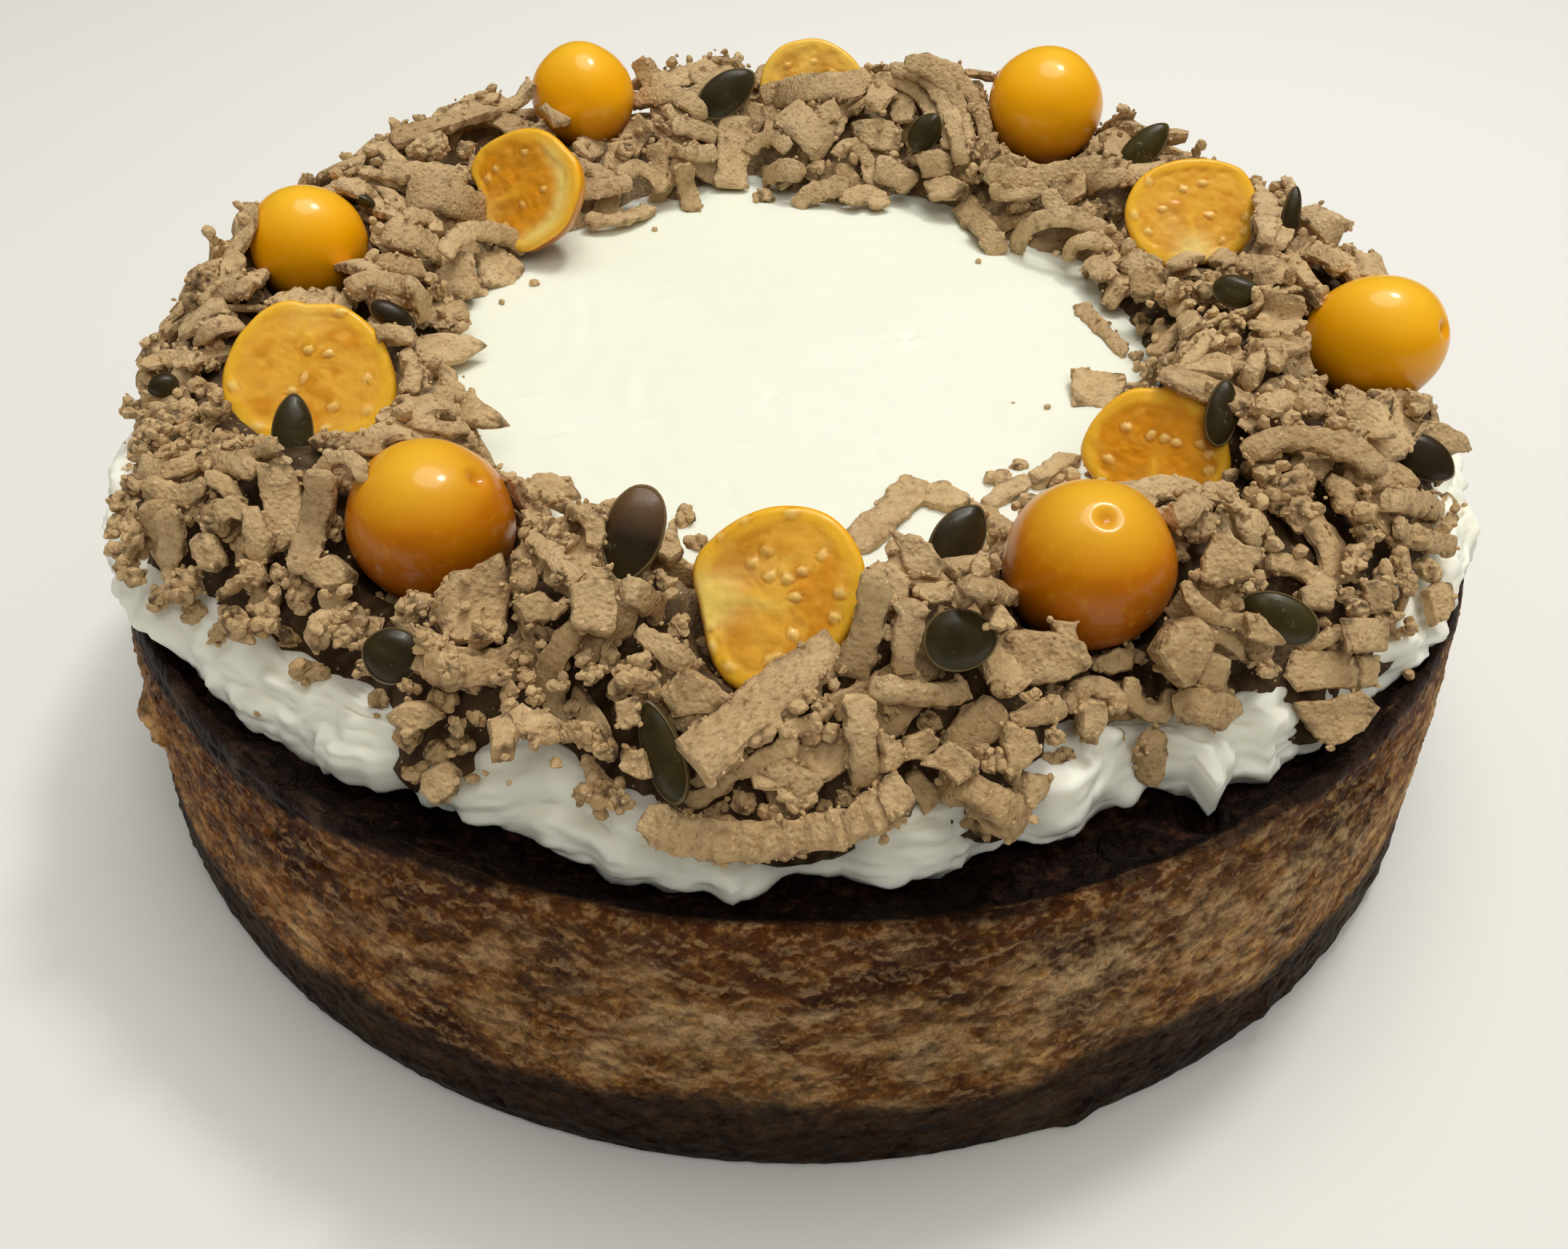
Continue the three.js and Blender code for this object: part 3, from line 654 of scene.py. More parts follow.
def baked_body():
    n = 760
    th = rounds(n)
    zs = np.concatenate([[9.0], np.linspace(10.4, 40.6, 60), [41.2, 41.7]])
    rim = [(-0.25, 0.0), (-0.75, 0.05), (-1.3, -0.25), (-1.9, -0.75), (-2.6, -1.15), (-3.4, -1.5), (-4.3, -1.85),
           (-5.3, -2.15), (-6.5, -2.4), (-7.9, -2.55), (-9.5, -2.6), (-12.5, -2.6)]
    m = len(zs) + len(rim)
    V = np.zeros((n, m, 3))
    cav = np.zeros((n, m))
    for j, z in enumerate(zs):
        r0 = side_radius(z)
        zz = z + (ridge_z(th) - RIM_Z) * smooth(z, 38, 41.5)
        x, y = r0 * np.cos(th), r0 * np.sin(th)
        zv = np.full(n, z)
        d, cav[:, j] = side_relief(x, y, zv, th)
        d = d + lumps(x, y, zv)
        r = r0 + d - (0.35 if j == 0 else 0.0)
        V[:, j] = np.stack([r * np.cos(th), r * np.sin(th), zz], -1)
    rt = side_radius(41.7) + side_relief(side_radius(41.7) * np.cos(th), side_radius(41.7) * np.sin(th), np.full(n, 41.7), th)[0]
    rz = ridge_z(th)
    # a narrow crack between wall and top at the left, and the shallow gap it leaves
    crack = lobe(th, -146, 9) + 0.6 * lobe(th, -36, 7) + 0.5 * lobe(th, 35, 12) + 0.5 * lobe(th, 150, 10)
    for k, (dr, dz) in enumerate(rim):
        j = len(zs) + k
        r = rt + dr
        x, y = r * np.cos(th), r * np.sin(th)
        p = np.stack([x, y, np.zeros(n)], -1)
        w = smooth(-dr, 0.6, 4)
        f1, f2, rid = cells(p * 0.55, 41)
        rel = w * (0.40 * fbm(p * 0.13, 3, seed=43) + 0.20 * (0.5 - f1) - 0.9 * smooth(0.26 - f1, 0, 0.2) * (rid > 0.86))
        rel = rel + w * 0.10 * fbm(p * 1.1, 2, seed=44)
        rel -= crack * 1.5 * math.exp(-((-dr - 2.3) / 1.1) ** 2)
        V[:, j] = np.stack([x, y, rz + dz + rel], -1)
    # hole under the cream's peak
    az = math.radians(-59.0)
    hx, hy = 91.2 * math.cos(az), 91.2 * math.sin(az)
    flat = V.reshape(-1, 3)
    d = np.hypot(flat[:, 0] - hx, flat[:, 1] - hy)
    flat[:, 2] -= np.where(flat[:, 2] > 38, 2.2 * np.exp(-(d / 2.4) ** 4), 0)
    V = flat
    faces = [grid_faces(n, m)]
    c_top, c_bot = len(V), len(V) + 1
    V = np.concatenate([V, [[0, 0, SUNK_Z], [0, 0, 9.0]]])
    faces.append(fan(np.arange(n) * m + m - 1, c_top))
    faces.append(fan(np.arange(n) * m, c_bot, flip=True))
    ob = make("baked_body", V, faces, [M_SIDE], attrs={
        "cav": np.concatenate([cav.ravel(), [0, 0]]), "pale": patches(V, PALE, 201), "dark": patches(V, DARK, 211)})
    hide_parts("baked_filling")


def base_body():
    n = 480
    th = np.linspace(0, TAU, n, endpoint=False)
    zs = np.concatenate([[0.0, 0.35, 0.9, 1.6], np.linspace(2.4, 10.6, 14), [11.0]])
    m = len(zs) + 3
    V = np.zeros((n, m, 3))
    for k, r in enumerate((70.0, 96.0)):
        V[:, k] = np.stack([r * np.cos(th), r * np.sin(th), np.zeros(n)], -1)
    for j, z in enumerate(zs):
        r0 = side_radius(z)
        x, y = r0 * np.cos(th), r0 * np.sin(th)
        zv = np.full(n, z)
        p = np.stack([x, y, zv], -1)
        d = side_relief(x, y, zv, th)[0] + lumps(x, y, zv) + 0.25 * fbm(p * 0.5, 3, seed=61) * smooth(z, 0.3, 2)
        f1, f2, rid = cells(p * 0.42, 63)
        d = d - 0.8 * smooth(0.26 - f1, 0, 0.16) * (rid > 0.72) * smooth(z, 0.8, 2.0)
        r = r0 + d - (0.5 if z == 0 else 0.0) - 0.5 * smooth(z, 10.0, 11.0)
        V[:, j + 2] = np.stack([r * np.cos(th), r * np.sin(th), zv], -1)
    r = V[:, len(zs) + 1, 0] * 0 + 96.5
    V[:, -1] = np.stack([r * np.cos(th), r * np.sin(th), np.full(n, 11.2)], -1)
    V = V.reshape(-1, 3)
    faces = [grid_faces(n, m)]
    c0, c1 = len(V), len(V) + 1
    V = np.concatenate([V, [[0, 0, 0], [0, 0, 11.2]]])
    faces.append(fan(np.arange(n) * m, c0, flip=True))
    faces.append(fan(np.arange(n) * m + m - 1, c1))
    nil = np.zeros(len(V))
    ob = make("base_body", V, faces, [M_BASE], attrs={"cav": nil, "pale": nil, "dark": nil})
    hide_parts("biscuit_base")


# cream's edge: (azimuth, radius)
EDGE = [(-158, 98.0), (-154, 98.0), (-147, 97.2), (-145, 95.8), (-142, 93.8), (-138, 92.9), (-134, 92.9), (-130, 92.4), (-127, 91.0),
        (-124, 91.0), (-121.5, 90.0), (-119, 87.6), (-116, 88.6), (-112, 88.3), (-109.5, 87.6), (-105, 89.8), (-101, 91.2),
        (-98, 91.5), (-95, 90.9), (-93.3, 91.0), (-91.8, 89.8), (-90, 87.7), (-87, 88.4), (-84, 90.0), (-79, 89.2), (-75, 87.2),
        (-73, 86.5), (-71, 88.0), (-69, 87.9), (-65, 85.9), (-62.5, 85.0), (-60.4, 85.6), (-59.3, 87.6), (-58.0, 90.6), (-56.6, 90.0), (-55, 89.4),
        (-53, 91.2), (-50, 91.3), (-47, 92.6), (-43, 91.6), (-38, 92.5), (-34, 95.4), (-30, 96.3), (-20, 96.9), (-10, 96.6), (0, 94.6),
        (12, 93.4), (25, 95.2), (40, 92.6), (55, 94.0), (70, 91.6), (86, 93.8), (100, 92.0), (116, 94.4), (131, 92.0), (146, 94.6),
        (160, 93.2), (172, 95.8), (184, 96.8), (194, 97.6)]
EDGE = [((a + 180) % 360 - 180, v) for a, v in EDGE]


def cream_edge(th):
    p = np.stack([np.cos(th) * 30, np.sin(th) * 30, th * 0], -1)
    return table(th, EDGE) + 0.25 * fbm(p * 0.9, 2, seed=71)


def cream_top(x, y):
    """height of the spread cream, mm"""
    r = np.hypot(x, y)
    p = np.stack([x, y, x * 0], -1)
    w = p * 0.022 + 0.6 * np.stack([vnoise(p * 0.018, 81), vnoise(p * 0.018, 82), x * 0], -1)
    low = 0.45 * fbm(w, 2, seed=83)
    # spatula strokes: broad arcs with fine edges
    ang = np.arctan2(y + 8, x - 6)
    rr = np.hypot(x - 6, (y + 8) * 1.15)
    st = vnoise(np.stack([rr * 0.16 + 0.9 * vnoise(p * 0.03, 85), ang * 1.4, x * 0 + 3], -1), 86)
    st2 = vnoise(np.stack([rr * 0.42 + 1.2 * vnoise(p * 0.04, 87), ang * 2.0, x * 0 + 9], -1), 88)
    edge = np.abs(st) ** 0.7 * 0.30 + 0.10 * np.abs(st2)
    z = CREAM_TOP + low * 0.5 - edge * 0.55
    return z - 0.35 * smooth(r, 55, 80)


# faint marks the knife left in the middle of the cream, as places in the view, with their depth
MARKS = [([(889, 508), (886, 538), (890, 569)], 0.34), ([(882, 590), (925, 632), (975, 672), (1021, 701)], 0.30), ([(796, 626), (812, 645), (829, 661)], 0.30),
         ([(1040, 520), (1060, 526), (1072, 540), (1060, 552), (1040, 548), (1034, 532)], 0.24), ([(1164, 594), (1200, 612), (1229, 636)], 0.26),
         ([(1236, 462), (1246, 468), (1256, 460)], 0.5), ([(700, 530), (716, 542), (728, 538)], 0.26), ([(1411, 551), (1413, 570), (1411, 586)], 0.3),
         ([(800, 395), (812, 440), (806, 490)], 0.16), ([(960, 560), (1010, 600), (1070, 615)], 0.14), ([(1100, 380), (1180, 400), (1250, 440)], 0.14),
         ([(860, 420), (930, 400), (1000, 405)], 0.12), ([(1130, 500), (1190, 520), (1230, 560)], 0.12), ([(740, 600), (790, 590), (850, 610)], 0.14),
         ([(960, 640), (1000, 660), (1010, 690)], 0.2), ([(1290, 500), (1330, 520), (1350, 560)], 0.14), ([(950, 455), (1020, 470), (1060, 500)], 0.10)]


def marks(x, y):
    out = np.zeros(len(x))
    p = np.stack([x, y], -1)
    for pts, dep in MARKS:
        P = []
        for u, v in pts:
            d = ray(u, v)
            P.append((CAM + d * ((48.6 - CAM[2]) / d[2]))[:2])
        L = np.zeros(len(pts))
        dist = np.full(len(x), 99.0)
        side = np.zeros(len(x))
        fade = np.zeros(len(x))
        n = len(P) - 1
        for k in range(n):
            a, b = P[k], P[k + 1]
            ab = b - a
            t = np.clip(((p - a) @ ab) / (ab @ ab), 0, 1)
            q = p - a - t[:, None] * ab
            dd = np.hypot(q[:, 0], q[:, 1])
            near = dd < dist
            dist = np.where(near, dd, dist)
            side = np.where(near, np.sign(q[:, 0] * ab[1] - q[:, 1] * ab[0]), side)
            fade = np.where(near, (k + t) / n, fade)
        w = np.sin(np.clip(fade, 0.04, 0.96) * math.pi) ** 0.5
        out += 1.35 * dep * w * (-np.exp(-(dist / 0.95) ** 2) + 0.8 * np.exp(-((dist * side - 1.8) / 1.2) ** 2))
    return out


def cream():
    n = 520
    th = rounds(n)
    re = cream_edge(th)
    base_r = np.concatenate([np.linspace(2.5, 12, 6), np.linspace(13, 63, 49), [67, 72, 77]])
    V = []
    T = np.repeat(th[:, None], len(base_r), 1)
    R = base_r[None, :] * np.where(base_r[None, :] > 63, ((re[:, None] - 8.5) / 83.0), 1.0)
    R[:, -1] = np.minimum(R[:, -1], re - 9.5)
    X, Y = R * np.cos(T), R * np.sin(T)
    Z = (cream_top(X.ravel(), Y.ravel()) + marks(X.ravel(), Y.ravel())).reshape(X.shape)
    V.append(np.stack([X, Y, Z], -1))
    # lip: s 0..1 from the plateau over the slope to the foot
    ks = np.linspace(0, 1, 46)
    over = smooth(re, 92.6, 95.2)          # edge runs over the cake's rim here
    foot = 40.0 + over * 2.5
    cr = np.interp(ks, [0, .15, .35, .55, .72, .85, .93, 1.0], [-8.2, -6.6, -4.0, -1.9, -0.5, 0.0, -0.3, -2.2])
    cz = np.interp(ks, [0, .15, .35, .55, .72, .85, .93, 1.0], [1.0, .985, .87, .64, .38, .17, .04, .0])
    ka = np.array([0.25, 0.5, 0.25])
    for _ in range(3):
        cr[1:-1] = np.convolve(cr, ka, "valid")
        cz[1:-1] = np.convolve(cz, ka, "valid")
    zt = cream_top(78 * np.cos(th), 78 * np.sin(th))
    p0 = np.stack([np.cos(th) * 90, np.sin(th) * 90, th * 0], -1)
    scal = 0.9 * (np.abs(vnoise(p0 * 0.17, 301)) - 0.3) + 0.5 * (np.abs(vnoise(p0 * 0.42, 302)) - 0.3)
    LR = re[:, None] + cr[None, :] + (scal[:, None] * smooth(ks, 0.45, 0.85)[None, :])
    LZ = foot[:, None] + (zt - foot)[:, None] * cz[None, :]
    TT = np.repeat(th[:, None], len(ks), 1)
    P = np.stack([LR * np.cos(TT), LR * np.sin(TT), LZ], -1)
    # creased folds left by the knife: rounded tops, sharp valleys
    prev = np.concatenate([P[:, :1], P[:, :-1]], 1)
    nxt = np.concatenate([P[:, 1:], P[:, -1:]], 1)
    tang = nxt - prev
    rnd = np.stack([-np.sin(TT), np.cos(TT), TT * 0], -1)
    nor = np.cross(rnd, tang)
    nor /= np.maximum(np.linalg.norm(nor, axis=-1, keepdims=True), 1e-9)
    nor = np.where((nor * np.stack([np.cos(TT), np.sin(TT), TT * 0 + 0.8], -1)).sum(-1, keepdims=True) < 0, -nor, nor)
    s = np.repeat((ks * 13.0)[None, :], n, 0)
    cx, sx = np.cos(TT) * 90, np.sin(TT) * 90
    q = np.stack([cx * 0.085, sx * 0.085, s * 0.12], -1).reshape(-1, 3)
    warp = np.stack([vnoise(q, 91), vnoise(q, 92), vnoise(q, 93)], -1)
    q1 = np.stack([cx * 0.10, sx * 0.10, s * 0.20], -1).reshape(-1, 3) + 0.9 * warp
    q2 = np.stack([cx * 0.21, sx * 0.21, s * 0.46], -1).reshape(-1, 3) + 1.2 * warp
    q3 = np.stack([cx * 0.46, sx * 0.46, s * 0.95], -1).reshape(-1, 3) + 1.6 * warp
    b1, b2, b3 = np.abs(vnoise(q1, 95)), np.abs(vnoise(q2, 96)), np.abs(vnoise(q3, 97))
    f = 2.2 * (b1 - 0.30) + 1.8 * (b2 - 0.28) + 0.75 * (b3 - 0.28) + 0.5 * vnoise(q1 * 0.7, 98)
    f = f.reshape(LR.shape)
    env = np.sin(np.clip(ks, 0, 1) * math.pi) ** 0.55
    calm = 1 - 0.75 * lobe(th, -146.5, 5)          # one smooth round blob at the left
    P = P + nor * (f * 1.0 * env[None, :] * calm[:, None])[..., None]
    V.append(P)
    under = np.stack([(re - 5) * np.cos(th), (re - 5) * np.sin(th), 39.6 + over * 2.4], -1)[:, None]
    V.append(under)
    G = np.concatenate(V, 1)
    mm = G.shape[1]
    flat = G.reshape(-1, 3)
    # the drooping peak at the right and small peaks left by the knife
    for az, r0, dr, dz, wd in ((-58.2, 89.6, 1.5, -1.6, 1.15), (-59.4, 88.6, -0.6, 1.5, 1.2), (-93.4, 91.0, 0.9, -0.4, 1.6), (-53.0, 90.6, 0.9, -0.5, 1.1),
                               (-116.2, 88, 0.4, 0.5, 1.2), (-57.7, 87.6, 0.6, 1.3, 1.4), (-53.2, 88.2, 0.4, 1.2, 1.3),
                               (-64.3, 82.5, 0.3, 1.6, 2.2), (-57.5, 84.0, 0.0, 1.5, 2.4), (-127.0, 87.5, 0.2, 1.3, 2.4), (-137, 89.5, 0.3, 1.2, 2.6),
                               (-146.0, 94.0, 0.5, 1.0, 4.0)):
        a = math.radians(az)
        cx_, cy_ = r0 * math.cos(a), r0 * math.sin(a)
        d = np.hypot(flat[:, 0] - cx_, flat[:, 1] - cy_)
        w = np.exp(-(d / wd) ** 2) * (flat[:, 2] > 40.5)
        flat[:, 0] += w * dr * math.cos(a)
        flat[:, 1] += w * dr * math.sin(a)
        flat[:, 2] += w * dz
    c0, c1 = len(flat), len(flat) + 1
    allv = np.concatenate([flat, [[0, 0, float(cream_top(np.zeros(1), np.zeros(1))[0])], [0, 0, 39.6]]])
    faces = [grid_faces(n, mm, flip=True)]
    faces.append(fan(np.arange(n) * mm, c0))
    faces.append(fan(np.arange(n) * mm + mm - 1, c1, flip=True))
    # rim: the cream's outer lip, which the cream's colour paints whiter as painted light
    rim = smooth(np.hypot(allv[:, 0], allv[:, 1]), 74, 84)
    ob = make("cream_spread", allv, faces, [M_CREAM], attrs={"rim": rim})
    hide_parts("cream_layer")


# ------------------------------------------------------------------ berries
WHOLE = [
    ("physalis_whole_1", -128.8, 67.4, 60.3, 19.6, 0.98, (0.53, 0.54)),
    ("physalis_whole_2", -60.2, 67.9, 60.7, 19.5, 0.99, (0.20, 0.54)),
    ("physalis_whole_3", -2.3, 83.0, 58.3, 18.4, 1.098, (0.9, 0.1)),
    ("physalis_whole_4", 57.8, 82.6, 62.7, 20.2, 1.05, None),
    ("physalis_whole_5", 118.4, 82.4, 62.2, 18.4, 1.03, None),
    ("physalis_whole_6", 164.5, 79.3, 58.0, 18.45, 0.97, None),
]
HALF = [
    ("physalis_half_1", -91.2, 65.2, 60.4, 21.2, 22.2, 9.6, (-103, 47)),
    ("physalis_half_2", -34.6, 56.7, 58.0, 19.0, 15.6, 9.0, (-116, 38)),
    ("physalis_half_3", 28.5, 72.6, 60.4, 21.8, 19.6, 9.2, (-98, 42)),
    ("physalis_half_4", 89.0, 82.0, 61.0, 19.6, 18.2, 8.6, (-93, 34)),
    ("physalis_half_5", 139.5, 60.2, 59.4, 19.8, 19.6, 8.8, (-118, 34)),
    ("physalis_half_6", -164.6, 68.2, 60.4, 23.6, 22.0, 9.6, (-80, 44)),
]


def spot(az, r, z):
    a = math.radians(az)
    return np.array([r * math.cos(a), r * math.sin(a), z])


def toward(az, el):
    a, e = math.radians(az), math.radians(el)
    return np.array([math.cos(e) * math.cos(a), math.cos(e) * math.sin(a), math.sin(e)])


def basis(d):
    z = d / np.linalg.norm(d)
    x = np.array([-z[1], z[0], 0.0])
    if np.linalg.norm(x) < 1e-9:
        x = np.array([1.0, 0, 0])
    x /= np.linalg.norm(x)
    return np.stack([x, np.cross(z, x), z], 1)      # columns: local axes


def facing(c, a, b):
    """direction out of a ball at c that shows at (a, b) of its radius right/up of its middle in the view"""
    f = (c - CAM) / np.linalg.norm(c - CAM)
    r = np.cross(f, UPV); r /= np.linalg.norm(r)
    u = np.cross(r, f)
    return a * r + b * u - math.sqrt(max(0.05, 1 - a * a - b * b)) * f


def whole_berry(name, az, r, z, d, k, tip, seed):
    c = spot(az, r, z)
    axis = facing(c, *tip) if tip else facing(c, 0.3, -0.5) * -1
    B = basis(axis)
    n, m = 64, 44
    th = np.linspace(0, TAU, n, endpoint=False)
    ph = np.linspace(-math.pi / 2, math.pi / 2, m + 2)[1:-1]
    T, P = np.meshgrid(th, ph, indexing="ij")
    R = d / 2
    xs, ys, zs = np.cos(P) * np.cos(T), np.cos(P) * np.sin(T), np.sin(P)
    pts = np.stack([xs, ys, zs], -1).reshape(-1, 3)
    pts = np.concatenate([pts, [[0, 0, -1], [0, 0, 1]]])
    q = np.arccos(np.clip(pts[:, 2], -1, 1))            # angle from the stalk end
    rad = 1 + 0.012 * fbm(pts * 1.3, 2, seed=seed) + 0.008 * np.cos(5 * np.arctan2(pts[:, 1], pts[:, 0]) + seed) * np.sin(q) ** 2
    rad *= 1 - 0.02 * np.exp(-(q / 0.6) ** 2)
    v = pts * rad[:, None] * R
    v[:, 2] *= k
    v[:, 2] -= R * (0.085 * np.exp(-(q / 0.10) ** 2) - 0.008 * np.exp(-((q - 0.2) / 0.08) ** 2))
    scar = 0.75 * np.exp(-(q / 0.085) ** 2)
    # one dark speck
    if seed == 1:
        s = facing(c, -0.03, 0.02) @ B
        scar = np.maximum(scar, 1.6 * (np.linalg.norm(pts - s, axis=1) < 0.035))
    v = v @ B.T + c
    # up: height on the berry, which the skin uses for painted light on top and painted shade underneath
    up = (v[:, 2] - c[2]) / (R * 1.02)
    nv = n * m
    faces = [grid_faces(n, m), fan(np.arange(n) * m, nv, flip=True), fan(np.arange(n) * m + m - 1, nv + 1)]
    # pale: 0 for the two berries in front, which the skin paints darker as shade; 1 for those behind
    ob = make(name + "_fruit", v, faces, [M_SKIN], attrs={"scar": scar, "up": up, "pale": np.full(len(v), 0.0 if seed <= 2 else 1.0)})
    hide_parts(name)
    return c


# outlines of the cut faces, as places in the view
OUTLINE = {
    "physalis_half_1": [(1086, 694), (1137, 706), (1170, 739), (1188, 776), (1188, 813), (1174, 849), (1158, 884), (1120, 925), (1070, 950), (1020, 952),
                        (990, 930), (974, 897), (966, 860), (955, 824), (950, 787), (957, 761), (979, 739), (1020, 710), (1053, 697)],
    "physalis_half_6": [(431, 417), (402, 409), (370, 419), (338, 448), (314, 485), (304, 528), (309, 565), (328, 591), (354, 605), (440, 616), (524, 603),
                        (540, 570), (545, 538), (537, 496), (519, 459), (492, 432), (466, 417), (444, 415)],
    "physalis_half_2": [(1587, 535), (1562, 532), (1536, 544), (1514, 564), (1495, 590), (1484, 619), (1490, 641), (1506, 660), (1530, 700), (1590, 722),
                        (1650, 700), (1686, 667), (1692, 645), (1690, 619), (1681, 586), (1664, 560), (1639, 540), (1617, 531)],
    "physalis_half_3": [(1640, 217), (1603, 223), (1571, 240), (1553, 266), (1547, 294), (1554, 323), (1571, 349), (1594, 363), (1617, 366), (1669, 360),
                        (1709, 346), (1726, 323), (1731, 294), (1726, 260), (1709, 231), (1674, 219)],
    "physalis_half_5": [(728, 175), (741, 177), (759, 186), (775, 202), (788, 215), (796, 233), (796, 251), (793, 269), (787, 285), (779, 305), (766, 321),
                        (746, 334), (721, 346), (694, 339), (672, 316), (659, 294), (659, 271), (653, 253), (641, 227), (645, 220), (658, 204), (678, 190),
                        (699, 181), (714, 176)],
    "physalis_half_4": [(1045, 123), (1047, 99), (1058, 78), (1074, 62), (1098, 54), (1127, 52), (1151, 62), (1172, 78), (1184, 94)],
}


def outline(name, c, B, w, h, th):
    """radius of the cut face round its middle, in units of its half sizes"""
    d = np.array([ray(u, v) for u, v in OUTLINE[name]])
    p = CAM + d * (((c - CAM) @ B[:, 2]) / (d @ B[:, 2]))[:, None]
    q = (p - c) @ B[:, :2] / [w / 2, h / 2]
    a = np.arctan2(q[:, 1], q[:, 0]) % TAU
    r = np.hypot(q[:, 0], q[:, 1])
    if name.endswith("_4"):                  # its lower part can't be seen
        extra = np.linspace(math.radians(215), math.radians(325), 7)
        a, r = np.concatenate([a, extra]), np.concatenate([r, np.ones(7)])
    k = np.argsort(a)
    out = np.interp(th, a[k], r[k], period=TAU)
    for _ in range(2):
        out = 0.25 * np.roll(out, 1) + 0.5 * out + 0.25 * np.roll(out, -1)
    print("NOTE outline", name, round(out.min(), 3), round(out.max(), 3), np.round(q.mean(0), 2))
    return np.clip(out, 0.80, 1.14)


